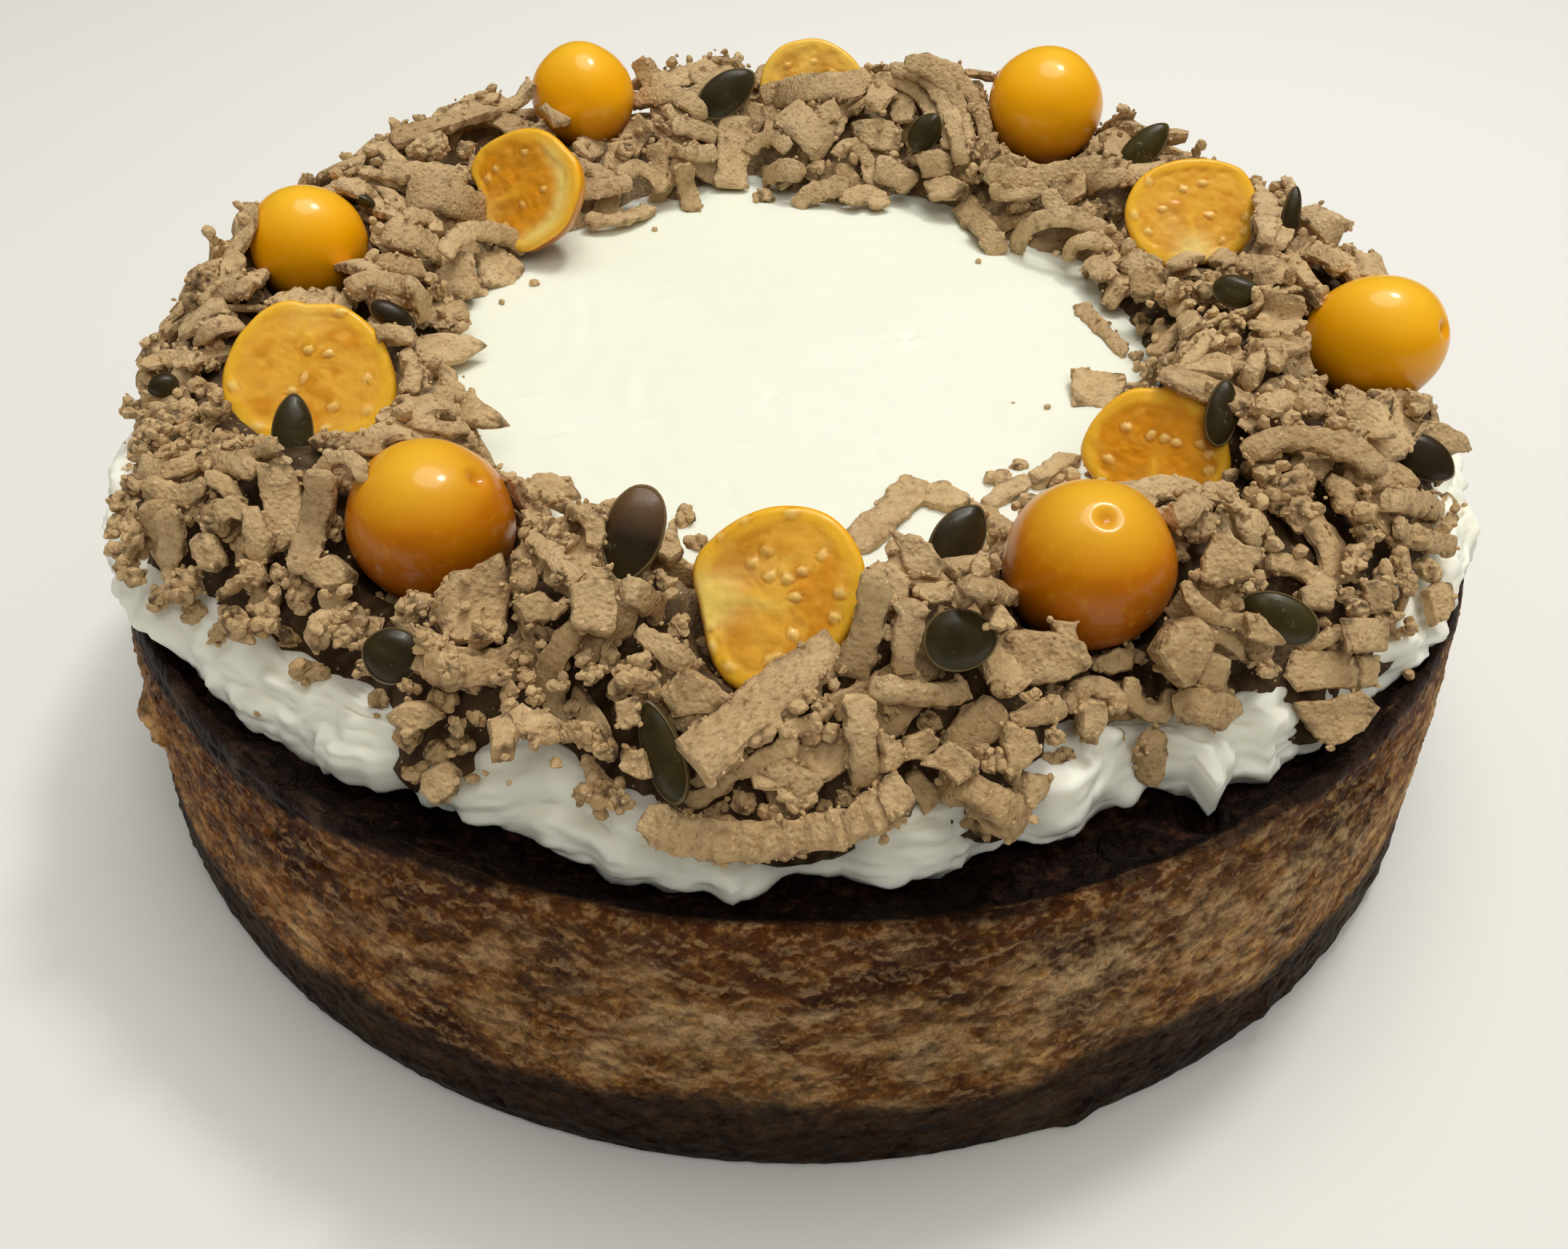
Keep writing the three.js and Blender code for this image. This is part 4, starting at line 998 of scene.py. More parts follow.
def half_berry(name, az, r, z, w, h, depth, face, stem, seeds, tone, seed):
    """stem: angle in the face (degrees) of the stalk end; seeds: (x, y, turn) in units of the face's half sizes"""
    c = spot(az, r, z)
    B = basis(toward(*face))
    n, m = 92, 27
    th = np.linspace(0, TAU, n, endpoint=False)
    st = math.radians(stem)
    out = outline(name, c, B, w, h, th) - 0.03 * np.exp(-(wrap(th - st) / 0.22) ** 2)
    out += 0.006 * fbm(np.stack([np.cos(th) * 1.5, np.sin(th) * 1.5, th * 0 + seed], -1), 2, seed=seed)
    rho = np.linspace(0, 1, m + 1)[1:] ** 0.85
    RH, TH = np.meshgrid(rho, th, indexing="xy")
    OU = np.repeat(out[:, None], m, 1)
    U, V_ = RH * OU * np.cos(TH), RH * OU * np.sin(TH)
    sx, sy = math.cos(st), math.sin(st)
    along = U * sx + V_ * sy                 # towards the stalk end
    across = -U * sy + V_ * sx
    u, v_, rh = U.ravel(), V_.ravel(), RH.ravel()
    al, ac = along.ravel(), across.ravel()
    p = np.stack([u * 6, v_ * 6, u * 0 + seed], -1)
    nz = fbm(p * 0.7, 3, seed=seed + 5)
    # septum from the stalk end to the middle, wall outside
    sept = np.exp(-((ac + 0.07 * nz) / (0.07 + 0.05 * smooth(al, 0.2, 0.9))) ** 2) * smooth(al, -0.25, 0.15)
    wallw = 0.175 + 0.03 * nz + 0.05 * np.exp(-((al + 0.9) / 0.3) ** 2)
    wall = smooth(rh + 0.03 * nz, 1 - wallw - 0.07, 1 - wallw + 0.05)
    pulp = (1 - wall) * (1 - sept)
    core = np.exp(-(((al - 0.72) / 0.30) ** 2 + (ac / 0.26) ** 2)) * (1 if tone > 0 else 0.25)
    zf = -0.20 * pulp + 0.16 * fbm(p * 1.3, 3, seed=seed + 8) * pulp + 0.07 * nz
    zf = zf - 0.55 * smooth(rh, 0.93, 1.0) ** 2          # rounded cut edge
    zf = zf - 0.5 * np.exp(-(((al - 0.98) / 0.10) ** 2 + (ac / 0.14) ** 2))
    skin_c = np.array(srgb(246, 176, 10)[:3])
    wall_c = np.array(srgb(249, 190, 48)[:3])
    pulp_c = np.array(srgb(244, 182, 62)[:3]) if tone >= 0 else np.array(srgb(232, 154, 20)[:3])
    deep_c = np.array(srgb(228, 154, 32)[:3])
    core_c = np.array(srgb(252, 222, 138)[:3])
    seed_c = np.array(srgb(252, 214, 130)[:3])
    k = smooth(nz, -0.2, 0.6)[:, None]
    col = (pulp_c * (1 - k) + deep_c * k)
    sp = sept[:, None] * 0.75
    col = col * (1 - sp) + wall_c * sp
    wl = wall[:, None]
    col = col * (1 - wl) + wall_c * wl
    ck = np.clip(core * 1.15, 0, 1)[:, None]
    col = col * (1 - ck) + core_c * ck
    milk = (np.exp(-(((al - 0.25) / 0.35) ** 2 + ((ac + 0.30) / 0.16) ** 2)) * 0.25 * (tone > 0))[:, None]
    col = col * (1 - milk) + core_c * milk
    for (sx_, sy_, tr) in seeds:
        a = math.radians(tr)
        dx, dy = (u - sx_) * w / 2, (v_ - sy_) * h / 2
        ex, ey = dx * math.cos(a) + dy * math.sin(a), -dx * math.sin(a) + dy * math.cos(a)
        dd = np.sqrt((ex / 0.80) ** 2 + (ey / 0.56) ** 2)
        zf = zf + 0.30 * np.sqrt(np.clip(1 - dd ** 2, 0, 1)) - 0.12 * np.exp(-((dd - 1.15) / 0.2) ** 2)
        s = smooth(1.05 - dd, 0, 0.35)[:, None]
        col = col * (1 - 0.7 * s) + seed_c * 0.7 * s
        ring = (np.exp(-((dd - 1.18) / 0.18) ** 2) * 0.48)[:, None]
        col = col * (1 - ring) + deep_c * 0.7 * ring
    if name.endswith("_1"):              # bright core at the stalk end, and a dull pocket above it
        dd = ((al - 0.64) / 0.27) ** 2 + ((ac - 0.02 + 0.05 * nz) / (0.13 + 0.12 * smooth(al, 0.4, 0.8))) ** 2
        ck = np.maximum(0.95 * smooth(1.6 - dd, 0, 1.2), 0.75 * np.exp(-(((al - 0.2) / 0.34) ** 2 + ((ac - 0.04 + 0.05 * nz) / 0.06) ** 2)))[:, None]
        col = col * (1 - ck) + np.array(srgb(255, 216, 108)[:3]) * ck
        dk = 0.55 * np.exp(-(((u + 0.45) / 0.26) ** 2 + ((v_ - 0.42) / 0.18) ** 2))[:, None]
        col = col * (1 - dk) + deep_c * 0.72 * dk
    if name.endswith("_5"):              # thick pale wall at the right, two dull pockets
        ck = 0.85 * np.exp(-((np.hypot(u, v_) - 0.80) / 0.14) ** 2) * smooth(u, 0.0, 0.5)
        col = col * (1 - ck[:, None]) + np.array(srgb(252, 226, 130)[:3]) * ck[:, None]
        dk = 0.6 * (np.exp(-(((u + 0.1) / 0.36) ** 2 + ((v_ - 0.42) / 0.20) ** 2)) + np.exp(-(((u + 0.05) / 0.36) ** 2 + ((v_ + 0.34) / 0.22) ** 2)))
        dk = np.clip(dk, 0, 0.75)[:, None]
        col = col * (1 - dk) + deep_c * 0.78 * dk
        zf = zf - 0.25 * dk[:, 0]
    if name.endswith("_4"):              # paler, with two dull pockets
        col = col * 0.62 + np.array(srgb(253, 224, 120)[:3]) * 0.38
        dk = 0.6 * (np.exp(-(((u + 0.36) / 0.20) ** 2 + ((v_ - 0.38) / 0.26) ** 2)) + np.exp(-(((u - 0.34) / 0.20) ** 2 + ((v_ - 0.38) / 0.26) ** 2)))[:, None]
        col = col * (1 - dk) + deep_c * 0.8 * dk
    # calm at the very middle, where the columns meet
    inner = smooth(rh, 0.05, 0.24)
    zf = zf * inner + zf[rh < 0.2].mean() * (1 - inner)
    inner = smooth(rh, 0.02, 0.14)[:, None]
    col = col * inner + col[rh < 0.16].mean(0) * (1 - inner)
    edge = smooth(rh, 0.955, 1.0)[:, None] * 0.8
    col = col * (1 - edge) + skin_c * edge
    zc = zf
    top = np.stack([u * w / 2, v_ * h / 2, zc], -1)
    # dome
    md = 14
    ph = np.linspace(0, math.pi / 2, md + 1)[1:]
    PH, TH2 = np.meshgrid(ph, th, indexing="xy")
    O2 = out[:, None] ** np.cos(PH)
    dx = np.cos(PH[:, :-1]) * O2[:, :-1] * np.cos(TH2[:, :-1]) * w / 2
    dy = np.cos(PH[:, :-1]) * O2[:, :-1] * np.sin(TH2[:, :-1]) * h / 2
    dz = -0.55 - (depth - 0.55) * np.sin(PH[:, :-1])
    dome = np.stack([dx, dy, dz], -1)
    pts = np.concatenate([top.reshape(n, m, 3), dome], 1)
    mm = pts.shape[1]
    flat = pts.reshape(-1, 3)
    flat = np.concatenate([flat, [[0, 0, float(zc.reshape(n, m)[:, 0].mean())], [0, 0, -depth]]])
    cc = np.concatenate([col.reshape(n, m, 3), np.repeat(np.repeat(skin_c[None, None], n, 0), md - 1, 1)], 1).reshape(-1, 3)
    cc = np.concatenate([cc, [col.reshape(n, m, 3)[:, 0].mean(0), skin_c]])
    q = grid_faces(n, mm, flip=True)
    f0, f1 = fan(np.arange(n) * mm, n * mm), fan(np.arange(n) * mm + mm - 1, n * mm + 1, flip=True)
    idx_q = np.where((q.min(1) % mm) >= m - 1, 1, 0)
    mi = np.concatenate([idx_q, np.zeros(len(f0)), np.ones(len(f1))])
    # up carries the skin's painted light on top and painted shade underneath, as on the whole berries
    ob = make(name + "_fruit", flat @ B.T + c, [q, f0, f1], [M_FLESH, M_SKIN],
              attrs={"col": cc, "scar": np.zeros(len(flat)), "up": (flat @ B.T)[:, 2] / max(w, h) * 2,
                     "pale": np.full(len(flat), 0.5)}, mat_index=None)
    # face order is quads, then the two fans; make() keeps that order
    ob.data.polygons.foreach_set("material_index", mi.astype(np.int32))
    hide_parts(name)
    return c


SEEDS_IN = {
    "physalis_half_1": [(-0.52, 0.72, 0), (-0.02, 0.86, 20), (-0.75, 0.52, 10), (-0.22, 0.44, 0), (-0.34, 0.30, 10), (-0.14, 0.20, 30), (0.06, 0.20, 10),
                        (0.20, 0.30, 0), (0.17, 0.03, 0), (0.37, 0.50, 70), (0.63, 0.14, 0), (0.62, -0.10, 15), (0.22, -0.34, -40), (-0.66, -0.40, 10),
                        (-0.60, -0.60, 60), (-0.38, -0.76, 0), (0.02, -0.64, -50), (0.10, -0.58, 10)],
    "physalis_half_6": [(-0.84, -0.20, 0), (-0.62, -0.72, 0), (0.02, 0.18, 0), (0.24, 0.12, 15), (0.64, -0.22, 30), (0.23, -0.54, 0), (0.62, -0.62, 20),
                        (-0.05, -0.15, 60), (-0.2, -0.3, 0), (0.12, -0.80, 10), (0.42, 0.62, 20)],
    "physalis_half_5": [(-0.12, 0.62, 0), (0.42, 0.12, 20), (0.08, -0.22, 0), (-0.14, -0.62, 10), (-0.60, 0.24, 0), (-0.72, 0.05, 40)],
    "physalis_half_3": [(-0.66, 0.38, -30), (-0.15, 0.30, 0), (0.12, 0.42, 0), (-0.42, -0.06, 0), (0.28, -0.10, 20), (0.80, -0.10, 20), (0.80, -0.34, 0),
                        (-0.60, -0.45, 0), (-0.82, -0.20, 0), (0.5, -0.5, 30)],
    "physalis_half_2": [(-0.50, 0.28, 0), (0.04, 0.26, 10), (0.20, 0.24, 0), (0.52, 0.32, 0), (0.66, 0.20, 50), (0.72, -0.05, 30), (-0.15, 0.25, 60), (0.3, -0.4, 0),
                        (-0.6, -0.3, 0)],
    "physalis_half_4": [(-0.4, 0.4, 0), (0.1, 0.5, 0), (0.45, 0.3, 30), (0.3, -0.2, 0), (-0.3, -0.3, 20)],
}
STEM = {"physalis_half_1": 192, "physalis_half_2": -80, "physalis_half_3": -82, "physalis_half_4": -70, "physalis_half_5": 222, "physalis_half_6": 86}
TONE = {"physalis_half_1": 1, "physalis_half_2": -1, "physalis_half_3": 1, "physalis_half_4": 0, "physalis_half_5": -1, "physalis_half_6": 0}


# ------------------------------------------------------------------ the heap
HEAP_IN = [(-164, 46), (-172, 48), (179, 55), (172, 50), (167, 51), (154, 58), (147, 60), (139, 61), (130, 61), (122, 60), (114, 64), (109, 60), (104, 66),
           (97, 68.5), (90, 59), (83, 59), (76, 62), (74, 65), (65, 62), (55, 54), (46, 55), (38, 58), (26, 53.5), (14, 52.5), (7, 51.8), (-8, 50), (-21, 46),
           (-32, 47), (-45, 50), (-60, 53), (-75, 55), (-90, 56), (-110, 54), (-130, 52), (-146, 47)]
HEAP_OUT = [(-154, 97), (-151, 97), (-143, 93), (-139, 90.6), (-137, 89.6), (-131, 87.8), (-124, 86.0), (-118, 90.2), (-115, 89.0), (-112, 83.6), (-108, 83.0), (-105, 86.6),
            (-103, 87.4), (-100, 88.4), (-96, 90.0), (-90, 89.6), (-84, 87.6), (-81, 86.0), (-75, 88.6), (-71, 84.8), (-68, 81.4), (-62, 81.0), (-57, 83.8), (-53, 86.0),
            (-50, 91.4), (-48.5, 93.6), (-45, 92.6), (-41, 92.2), (-38, 93.4), (-32, 94.0), (-27, 94.2), (-23, 95.2), (-10, 95.0), (5, 93.5), (20, 92.5), (40, 91.5), (60, 92),
            (80, 91), (100, 92), (120, 91.5), (140, 92.5), (160, 93.5), (175, 95.0), (-172, 96.5), (-162, 97.0)]


def heap_shape(x, y):
    """smooth nominal height of the heap's surface, and the 0..1 position across it"""
    th = np.arctan2(y, x)
    r = np.hypot(x, y)
    ri, ro = table(th, HEAP_IN), table(th, HEAP_OUT)
    t = (r - ri) / (ro - ri)
    front = np.interp(t, [-0.06, 0, 0.06, 0.14, 0.25, 0.45, 0.62, 0.78, 0.90, 0.97, 1.0, 1.05],
                      [-2.5, 0.3, 6.5, 11.8, 15.0, 15.6, 13.9, 10.6, 6.4, 2.8, 0.4, -4.0])
    back = np.interp(t, [-0.06, 0, 0.06, 0.15, 0.30, 0.50, 0.68, 0.80, 0.90, 0.96, 1.0, 1.05],
                     [-2.5, 0.3, 3.2, 6.5, 10.4, 13.6, 15.4, 14.8, 11.0, 6.8, 2.2, -3.0])
    w = smooth(np.sin(th), -0.45, 0.45)
    prof = front * (1 - w) + back * w
    p = np.stack([x, y, x * 0], -1)
    und = 1 + 0.13 * fbm(p * 0.055, 3, seed=101)
    return CREAM_TOP + prof * und - smooth(t, 0.82, 1.0) * (2.4 - 1.2 * w), t


# ---- what must stay in sight in the view: (centre, radius or face) tested in pixels
BALLS = []      # (centre, radius)
FACES = []      # (centre, basis, half width, half height)
for nm, az, r, z, d, k, tip in WHOLE:
    BALLS.append((spot(az, r, z), d / 2, d / 2 * k))
for nm, az, r, z, w, h, dep, fc in HALF:
    FACES.append((spot(az, r, z), basis(toward(*fc)), w / 2, h / 2, dep))


def in_ball(p, grow=0.0):
    """how deep points sit inside any berry (mm, >0 inside)"""
    out = np.full(len(p), -9.0)
    for c, R, Rk in BALLS:
        out = np.maximum(out, R + grow - np.linalg.norm(p - c, axis=1))
    for c, B, a, b, dep in FACES:
        q = (p - c) @ B
        R = (a + b) / 2
        d = R + grow - np.sqrt((q[:, 0] * R / a) ** 2 + (q[:, 1] * R / b) ** 2 + (q[:, 2] * R / dep) ** 2)
        d = np.minimum(d, grow - q[:, 2])
        out = np.maximum(out, d)
    return out


OPEN = {1: 0.42, 3: 0.06}     # the half at the back shows only its upper part


def hides(p, low=0.72):
    """true for points that would stand in front of a berry as seen in the view; the lowest part of
    each berry may be covered (low = how far down, of its radius, it stays open)"""
    u, v, dep = project(p)
    out = np.zeros(len(p), bool)
    for i, (c, R, Rk) in enumerate(BALLS):
        cu, cv, cd = project(c)
        rp = R * F_PX / cd
        out |= (np.hypot(u - cu, v - cv) < rp * 0.97) & (v < cv + (1.05 if i == 3 else low) * rp) & (dep < cd)
    for i, (c, B, a, b, dp) in enumerate(FACES):
        k = np.linspace(0, TAU, 48, endpoint=False)
        ring = c + (B @ np.stack([a * np.cos(k), b * np.sin(k), k * 0])).T
        ru, rv, rd = project(ring)
        cu, cv, cd = project(c)
        # ellipse through the ring in the view
        M = np.stack([ru - cu, rv - cv], 0)
        C = np.linalg.inv(M @ M.T / 24)
        e = C[0, 0] * (u - cu) ** 2 + 2 * C[0, 1] * (u - cu) * (v - cv) + C[1, 1] * (v - cv) ** 2
        ext = rv.max() - cv
        out |= (e < 0.94) & (v < cv + OPEN.get(i, min(1.0, low + 0.1)) * ext) & (dep < cd + 2)
    return out


# ---- height field the loose things settle on
CELL, HALFW = 0.6, 104.0
NG = int(2 * HALFW / CELL) + 1
gx = np.linspace(-HALFW, HALFW, NG)
GX, GY = np.meshgrid(gx, gx, indexing="ij")


def sunk_for_berries(x, y, z, floor):
    """lowers a surface so that it passes under the berries and doesn't hide them"""
    z = z.copy()
    for _ in range(44):
        p = np.stack([x, y, z + 1.2], -1)
        bad = (hides(p, 0.80) | (in_ball(p, 0.4) > 0)) & (z > floor)
        if not bad.any():
            break
        z[bad] -= 0.5
    return z


def core_height(x, y):
    nom, t = heap_shape(x, y)
    p = np.stack([x, y, x * 0], -1)
    f1, f2, rid = cells(p * 0.20, 111)
    g1, g2, rg = cells(p * 0.48, 113)
    z = nom - 4.6 + 2.8 * (0.55 - f1) * (0.5 + rid) + 1.6 * (0.5 - g1)
    z -= 2.2 * smooth(fbm(p * 0.09, 3, seed=117), 0.25, 0.7)
    floor = np.where(t > 0.8, 45.5, 48.4)
    z = np.maximum(z, np.where(t > 0.9, 44.0, 47.6))
    return sunk_for_berries(x, y, z, floor), t


def heap_core():
    n, m = 360, 30
    th = rounds(n)
    ri, ro = table(th, HEAP_IN), table(th, HEAP_OUT)
    f = np.linspace(0.015, 0.985, m)
    R = ri[:, None] + (ro - ri)[:, None] * f[None, :]
    T = np.repeat(th[:, None], m, 1)
    X, Y = R * np.cos(T), R * np.sin(T)
    Z, t = core_height(X.ravel(), Y.ravel())
    Z = Z.reshape(X.shape)
    p = np.stack([X, Y, Z], -1).reshape(-1, 3)
    f1, f2, rid = cells(p * 0.55, 121)
    h1, h2, rh = cells(p * 1.1, 123)
    rel = (0.95 * (0.55 - f1) * (0.6 + 0.6 * rid) + 0.40 * (0.5 - h1)).reshape(X.shape)
    Z = Z + rel
    cav = smooth(f1, 0.35, 0.7) * 0.6
    low_i = np.stack([X[:, 0] * 0.99, Y[:, 0] * 0.99, np.full(n, 47.4)], -1)[:, None]
    low_o = np.stack([X[:, -1] * 0.995, Y[:, -1] * 0.995, np.minimum(Z[:, -1] - 1.2, 45.5)], -1)[:, None]
    in2 = np.stack([X[:, 3], Y[:, 3], np.full(n, 45.5)], -1)[:, None]
    out2 = np.stack([X[:, -4], Y[:, -4], np.full(n, 43.0)], -1)[:, None]
    G = np.concatenate([in2, low_i, np.stack([X, Y, Z], -1), low_o, out2], 1)
    mm = G.shape[1]
    faces = [grid_faces(n, mm, flip=True)]
    i = np.arange(n)
    i2 = (i + 1) % n
    faces.append(np.stack([i * mm + mm - 1, i * mm, i2 * mm, i2 * mm + mm - 1], -1))
    c2 = np.concatenate([np.zeros((n, 2)), cav.reshape(n, m), np.zeros((n, 2))], 1).ravel()
    # painted shade: the core between the pieces gets a low tint and a high cav, darkest where it shows at the front
    tint = 0.35 + 0.2 * vnoise(G.reshape(-1, 3) * 0.2, 9)
    gy = G[..., 1].ravel()
    away = np.maximum(smooth(gy, 12, 42), smooth(-gy, 0, 12) * np.repeat([np.concatenate([[1, 1], smooth(0.40 - f, 0, 0.14), [0, 0]])], n, 0).ravel())
    deep = (0.80 + 0.20 * c2) * (1 - away) + (0.22 + 0.60 * c2) * away
    ob = make("shavings_core", G.reshape(-1, 3), faces, [M_SHAV], attrs={"tint": tint, "cav": deep})
    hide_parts("shavings_ring")


class Field:
    def __init__(self):
        x, y = GX.ravel(), GY.ravel()
        r, th = np.hypot(x, y), np.arctan2(y, x)
        re = cream_edge(th)
        z = cream_top(x, y)
        lip = np.interp(r - re, [-8.2, -6.6, -4.0, -1.9, -0.5, 0.0], [1, .985, .87, .64, .38, .17], right=0)
        z = np.where(r > re - 8.2, 40.0 + (z - 40.0) * lip, z)
        z = np.where(r > re, np.where(r < 97, 40.5, 0.0), z)
        ch, t = core_height(x, y)
        inside = (t > 0.01) & (t < 0.99)
        self.z = np.where(inside, np.maximum(z, ch), z).reshape(NG, NG)
        self.nom = heap_shape(x, y)[0].reshape(NG, NG)
        self.base = self.z.copy()

    def at(self, x, y, f=None):
        f = self.z if f is None else f
        i = np.clip(np.rint((np.asarray(x) + HALFW) / CELL).astype(int), 0, NG - 1)
        j = np.clip(np.rint((np.asarray(y) + HALFW) / CELL).astype(int), 0, NG - 1)
        return f[i, j]

    def rest(self, v, q=0.90):
        return float(np.quantile(self.at(v[:, 0], v[:, 1]) - v[:, 2], q))

    def stamp(self, v):
        a = (v[:, 0] + HALFW) / CELL
        b = (v[:, 1] + HALFW) / CELL
        for di in (0, 1):
            for dj in (0, 1):
                i = np.clip(np.floor(a).astype(int) + di, 0, NG - 1)
                j = np.clip(np.floor(b).astype(int) + dj, 0, NG - 1)
                np.maximum.at(self.z, (i, j), v[:, 2])

    def normal(self, x, y):
        e = 2.5
        f = lambda a, b: float(heap_shape(np.array([a]), np.array([b]))[0][0])
        gx_, gy_ = (f(x + e, y) - f(x - e, y)) / (2 * e), (f(x, y + e) - f(x, y - e)) / (2 * e)
        g = math.hypot(gx_, gy_)
        if g > 1.6:
            gx_, gy_ = gx_ / g * 1.6, gy_ / g * 1.6
        n = np.array([-gx_, -gy_, 1.0])
        return n / np.linalg.norm(n)

    def hit(self, u, v):
        """first point of the surface on the line of sight through a pixel"""
        d = ray(u, v)
        s = np.arange(150.0, 420.0, 0.3)
        P = CAM + s[:, None] * d
        ok = (P[:, 2] < self.at(P[:, 0], P[:, 1])) & (np.hypot(P[:, 0], P[:, 1]) < 100)
        k = int(np.argmax(ok))
        if ok[k]:
            return P[k]
        return self.hit(u, v + 6) if v < 900 else CAM + d * ((46.0 - CAM[2]) / d[2])

    def drop(self, v, slack=0.25):
        """lets a piece down until it touches what lies under it"""
        gap = float(np.quantile(v[:, 2] - self.at(v[:, 0], v[:, 1], self.z), 0.02))
        if gap > slack:
            v = v - [0, 0, min(gap - slack * 0.5, 2.5)]
        return v


# ---- small shapes
def icosphere(level):
    t = (1 + 5 ** 0.5) / 2
    v = np.array([(-1, t, 0), (1, t, 0), (-1, -t, 0), (1, -t, 0), (0, -1, t), (0, 1, t), (0, -1, -t), (0, 1, -t),
                  (t, 0, -1), (t, 0, 1), (-t, 0, -1), (-t, 0, 1)], float)
    v /= np.linalg.norm(v[0])
    f = np.array([(0, 11, 5), (0, 5, 1), (0, 1, 7), (0, 7, 10), (0, 10, 11), (1, 5, 9), (5, 11, 4), (11, 10, 2), (10, 7, 6), (7, 1, 8),
                  (3, 9, 4), (3, 4, 2), (3, 2, 6), (3, 6, 8), (3, 8, 9), (4, 9, 5), (2, 4, 11), (6, 2, 10), (8, 6, 7), (9, 8, 1)])
    for _ in range(level):
        e = np.sort(np.concatenate([f[:, [0, 1]], f[:, [1, 2]], f[:, [2, 0]]]), axis=1)
        ue, inv = np.unique(e, axis=0, return_inverse=True)
        inv = inv.reshape(-1)
        mid = v[ue].mean(1)
        mid /= np.linalg.norm(mid, axis=1, keepdims=True)
        k = len(v) + inv.reshape(3, -1)
        v = np.concatenate([v, mid])
        a, b, c = f.T
        f = np.concatenate([np.stack([a, k[0], k[2]], 1), np.stack([b, k[1], k[0]], 1), np.stack([c, k[2], k[1]], 1), np.stack([k[0], k[1], k[2]], 1)])
    return v, f


ICO = [icosphere(i) for i in range(5)]
rng = np.random.default_rng(20261)


def turn3(r=None):
    q = (rng if r is None else r).normal(size=4)
    q /= np.linalg.norm(q)
    w, x, y, z = q
    return np.array([[1 - 2 * (y * y + z * z), 2 * (x * y - z * w), 2 * (x * z + y * w)], [2 * (x * y + z * w), 1 - 2 * (x * x + z * z), 2 * (y * z - x * w)],
                     [2 * (x * z - y * w), 2 * (y * z + x * w), 1 - 2 * (x * x + y * y)]])


def crumb_shape(level, seed):
    v, f = ICO[level]
    r = np.random.default_rng(seed)
    o = r.uniform(-50, 50, 3)
    rad = 1 + 0.30 * fbm(v * 1.1 + o, 2, seed=3)
    f1, f2, _ = cells(v * 1.5 + o, 5)
    rad += 0.32 * (0.55 - f1)
    s = np.array([1.0, r.uniform(0.65, 0.95), r.uniform(0.55, 0.85)])
    w = v * rad[:, None] * s
    # a few flat broken faces
    for _ in range(r.integers(2, 5)):
        d = r.normal(size=3)
        d /= np.linalg.norm(d)
        h = w @ d
        lim = r.uniform(0.55, 0.8)
        w = w - np.maximum(h - lim, 0)[:, None] * 0.85 * d
    return w, f


CRUMB0 = [crumb_shape(0, 60 + i) for i in range(24)]
CRUMB1 = [crumb_shape(1, i) for i in range(26)]
CRUMB2 = [crumb_shape(2, 100 + i) for i in range(20)]


def clump_mesh(size, seed, grains=12, level=3):
    """a torn lump built up from a body and grains stuck on it, all of one mesh"""
    r = np.random.default_rng(seed)
    v, f = ICO[level]
    o = r.uniform(-50, 50, 3)
    s = size / 2
    asp = np.array([1.0, r.uniform(0.62, 0.9), r.uniform(0.5, 0.8)])
    rad = 1 + 0.34 * fbm(v * 1.2 + o, 2, seed=7)
    g1, g2, rg = cells(v * (s * 0.66) + o, 9)
    h1, h2, rh = cells(v * (s * 1.25) + o, 10)
    rad += (0.80 * (0.50 - g1) * (0.5 + 0.8 * rg) + 0.20 * (0.5 - h1)) / s
    body = v * rad[:, None] * asp * s * 0.90
    for _ in range(r.integers(3, 7)):
        d = r.normal(size=3)
        d /= np.linalg.norm(d)
        q = body @ d
        body = body - np.maximum(q - r.uniform(0.50, 0.72) * s, 0)[:, None] * 0.80 * d
    # the body's hollows between cells go into cav, painted darker as shade
    V, Fs, C = [body], [f], [smooth(g1, 0.42, 0.8) * 0.75]
    n = len(body)
    for k in range(grains):
        i = r.integers(0, len(v))
        d = r.uniform(0.7, 2.2) * (0.8 if size < 3.5 else 1.0)
        lib = CRUMB0 if d < 1.4 else CRUMB1
        cv, cf = lib[r.integers(0, len(lib))]
        V.append(cv @ turn3(r).T * d / 2 * 1.1 + body[i] * r.uniform(0.90, 1.05))
        Fs.append(cf + n)
        C.append(np.zeros(len(cv)))
        n += len(cv)
    return np.concatenate(V), np.concatenate(Fs), np.concatenate(C)


def flecks(v, f3, f4, where, count, r, lo=0.45, hi=1.25):
    """sticks small torn bits on a piece at the given vertices; returns the joined mesh"""
    V, F3, C = [v], [f3], []
    n = len(v)
    if len(where) == 0:
        return v, f3, np.zeros(0)
    for k in range(count):
        d = r.uniform(lo, hi)
        lib = CRUMB0 if d < 1.0 else CRUMB1
        cv, cf = lib[r.integers(0, len(lib))]
        V.append(cv @ turn3(r).T * d / 2 + v[where[r.integers(0, len(where))]])
        F3.append(cf + n)
        C.append(np.zeros(len(cv)))
        n += len(cv)
    return np.concatenate(V), np.concatenate(F3), np.concatenate(C)


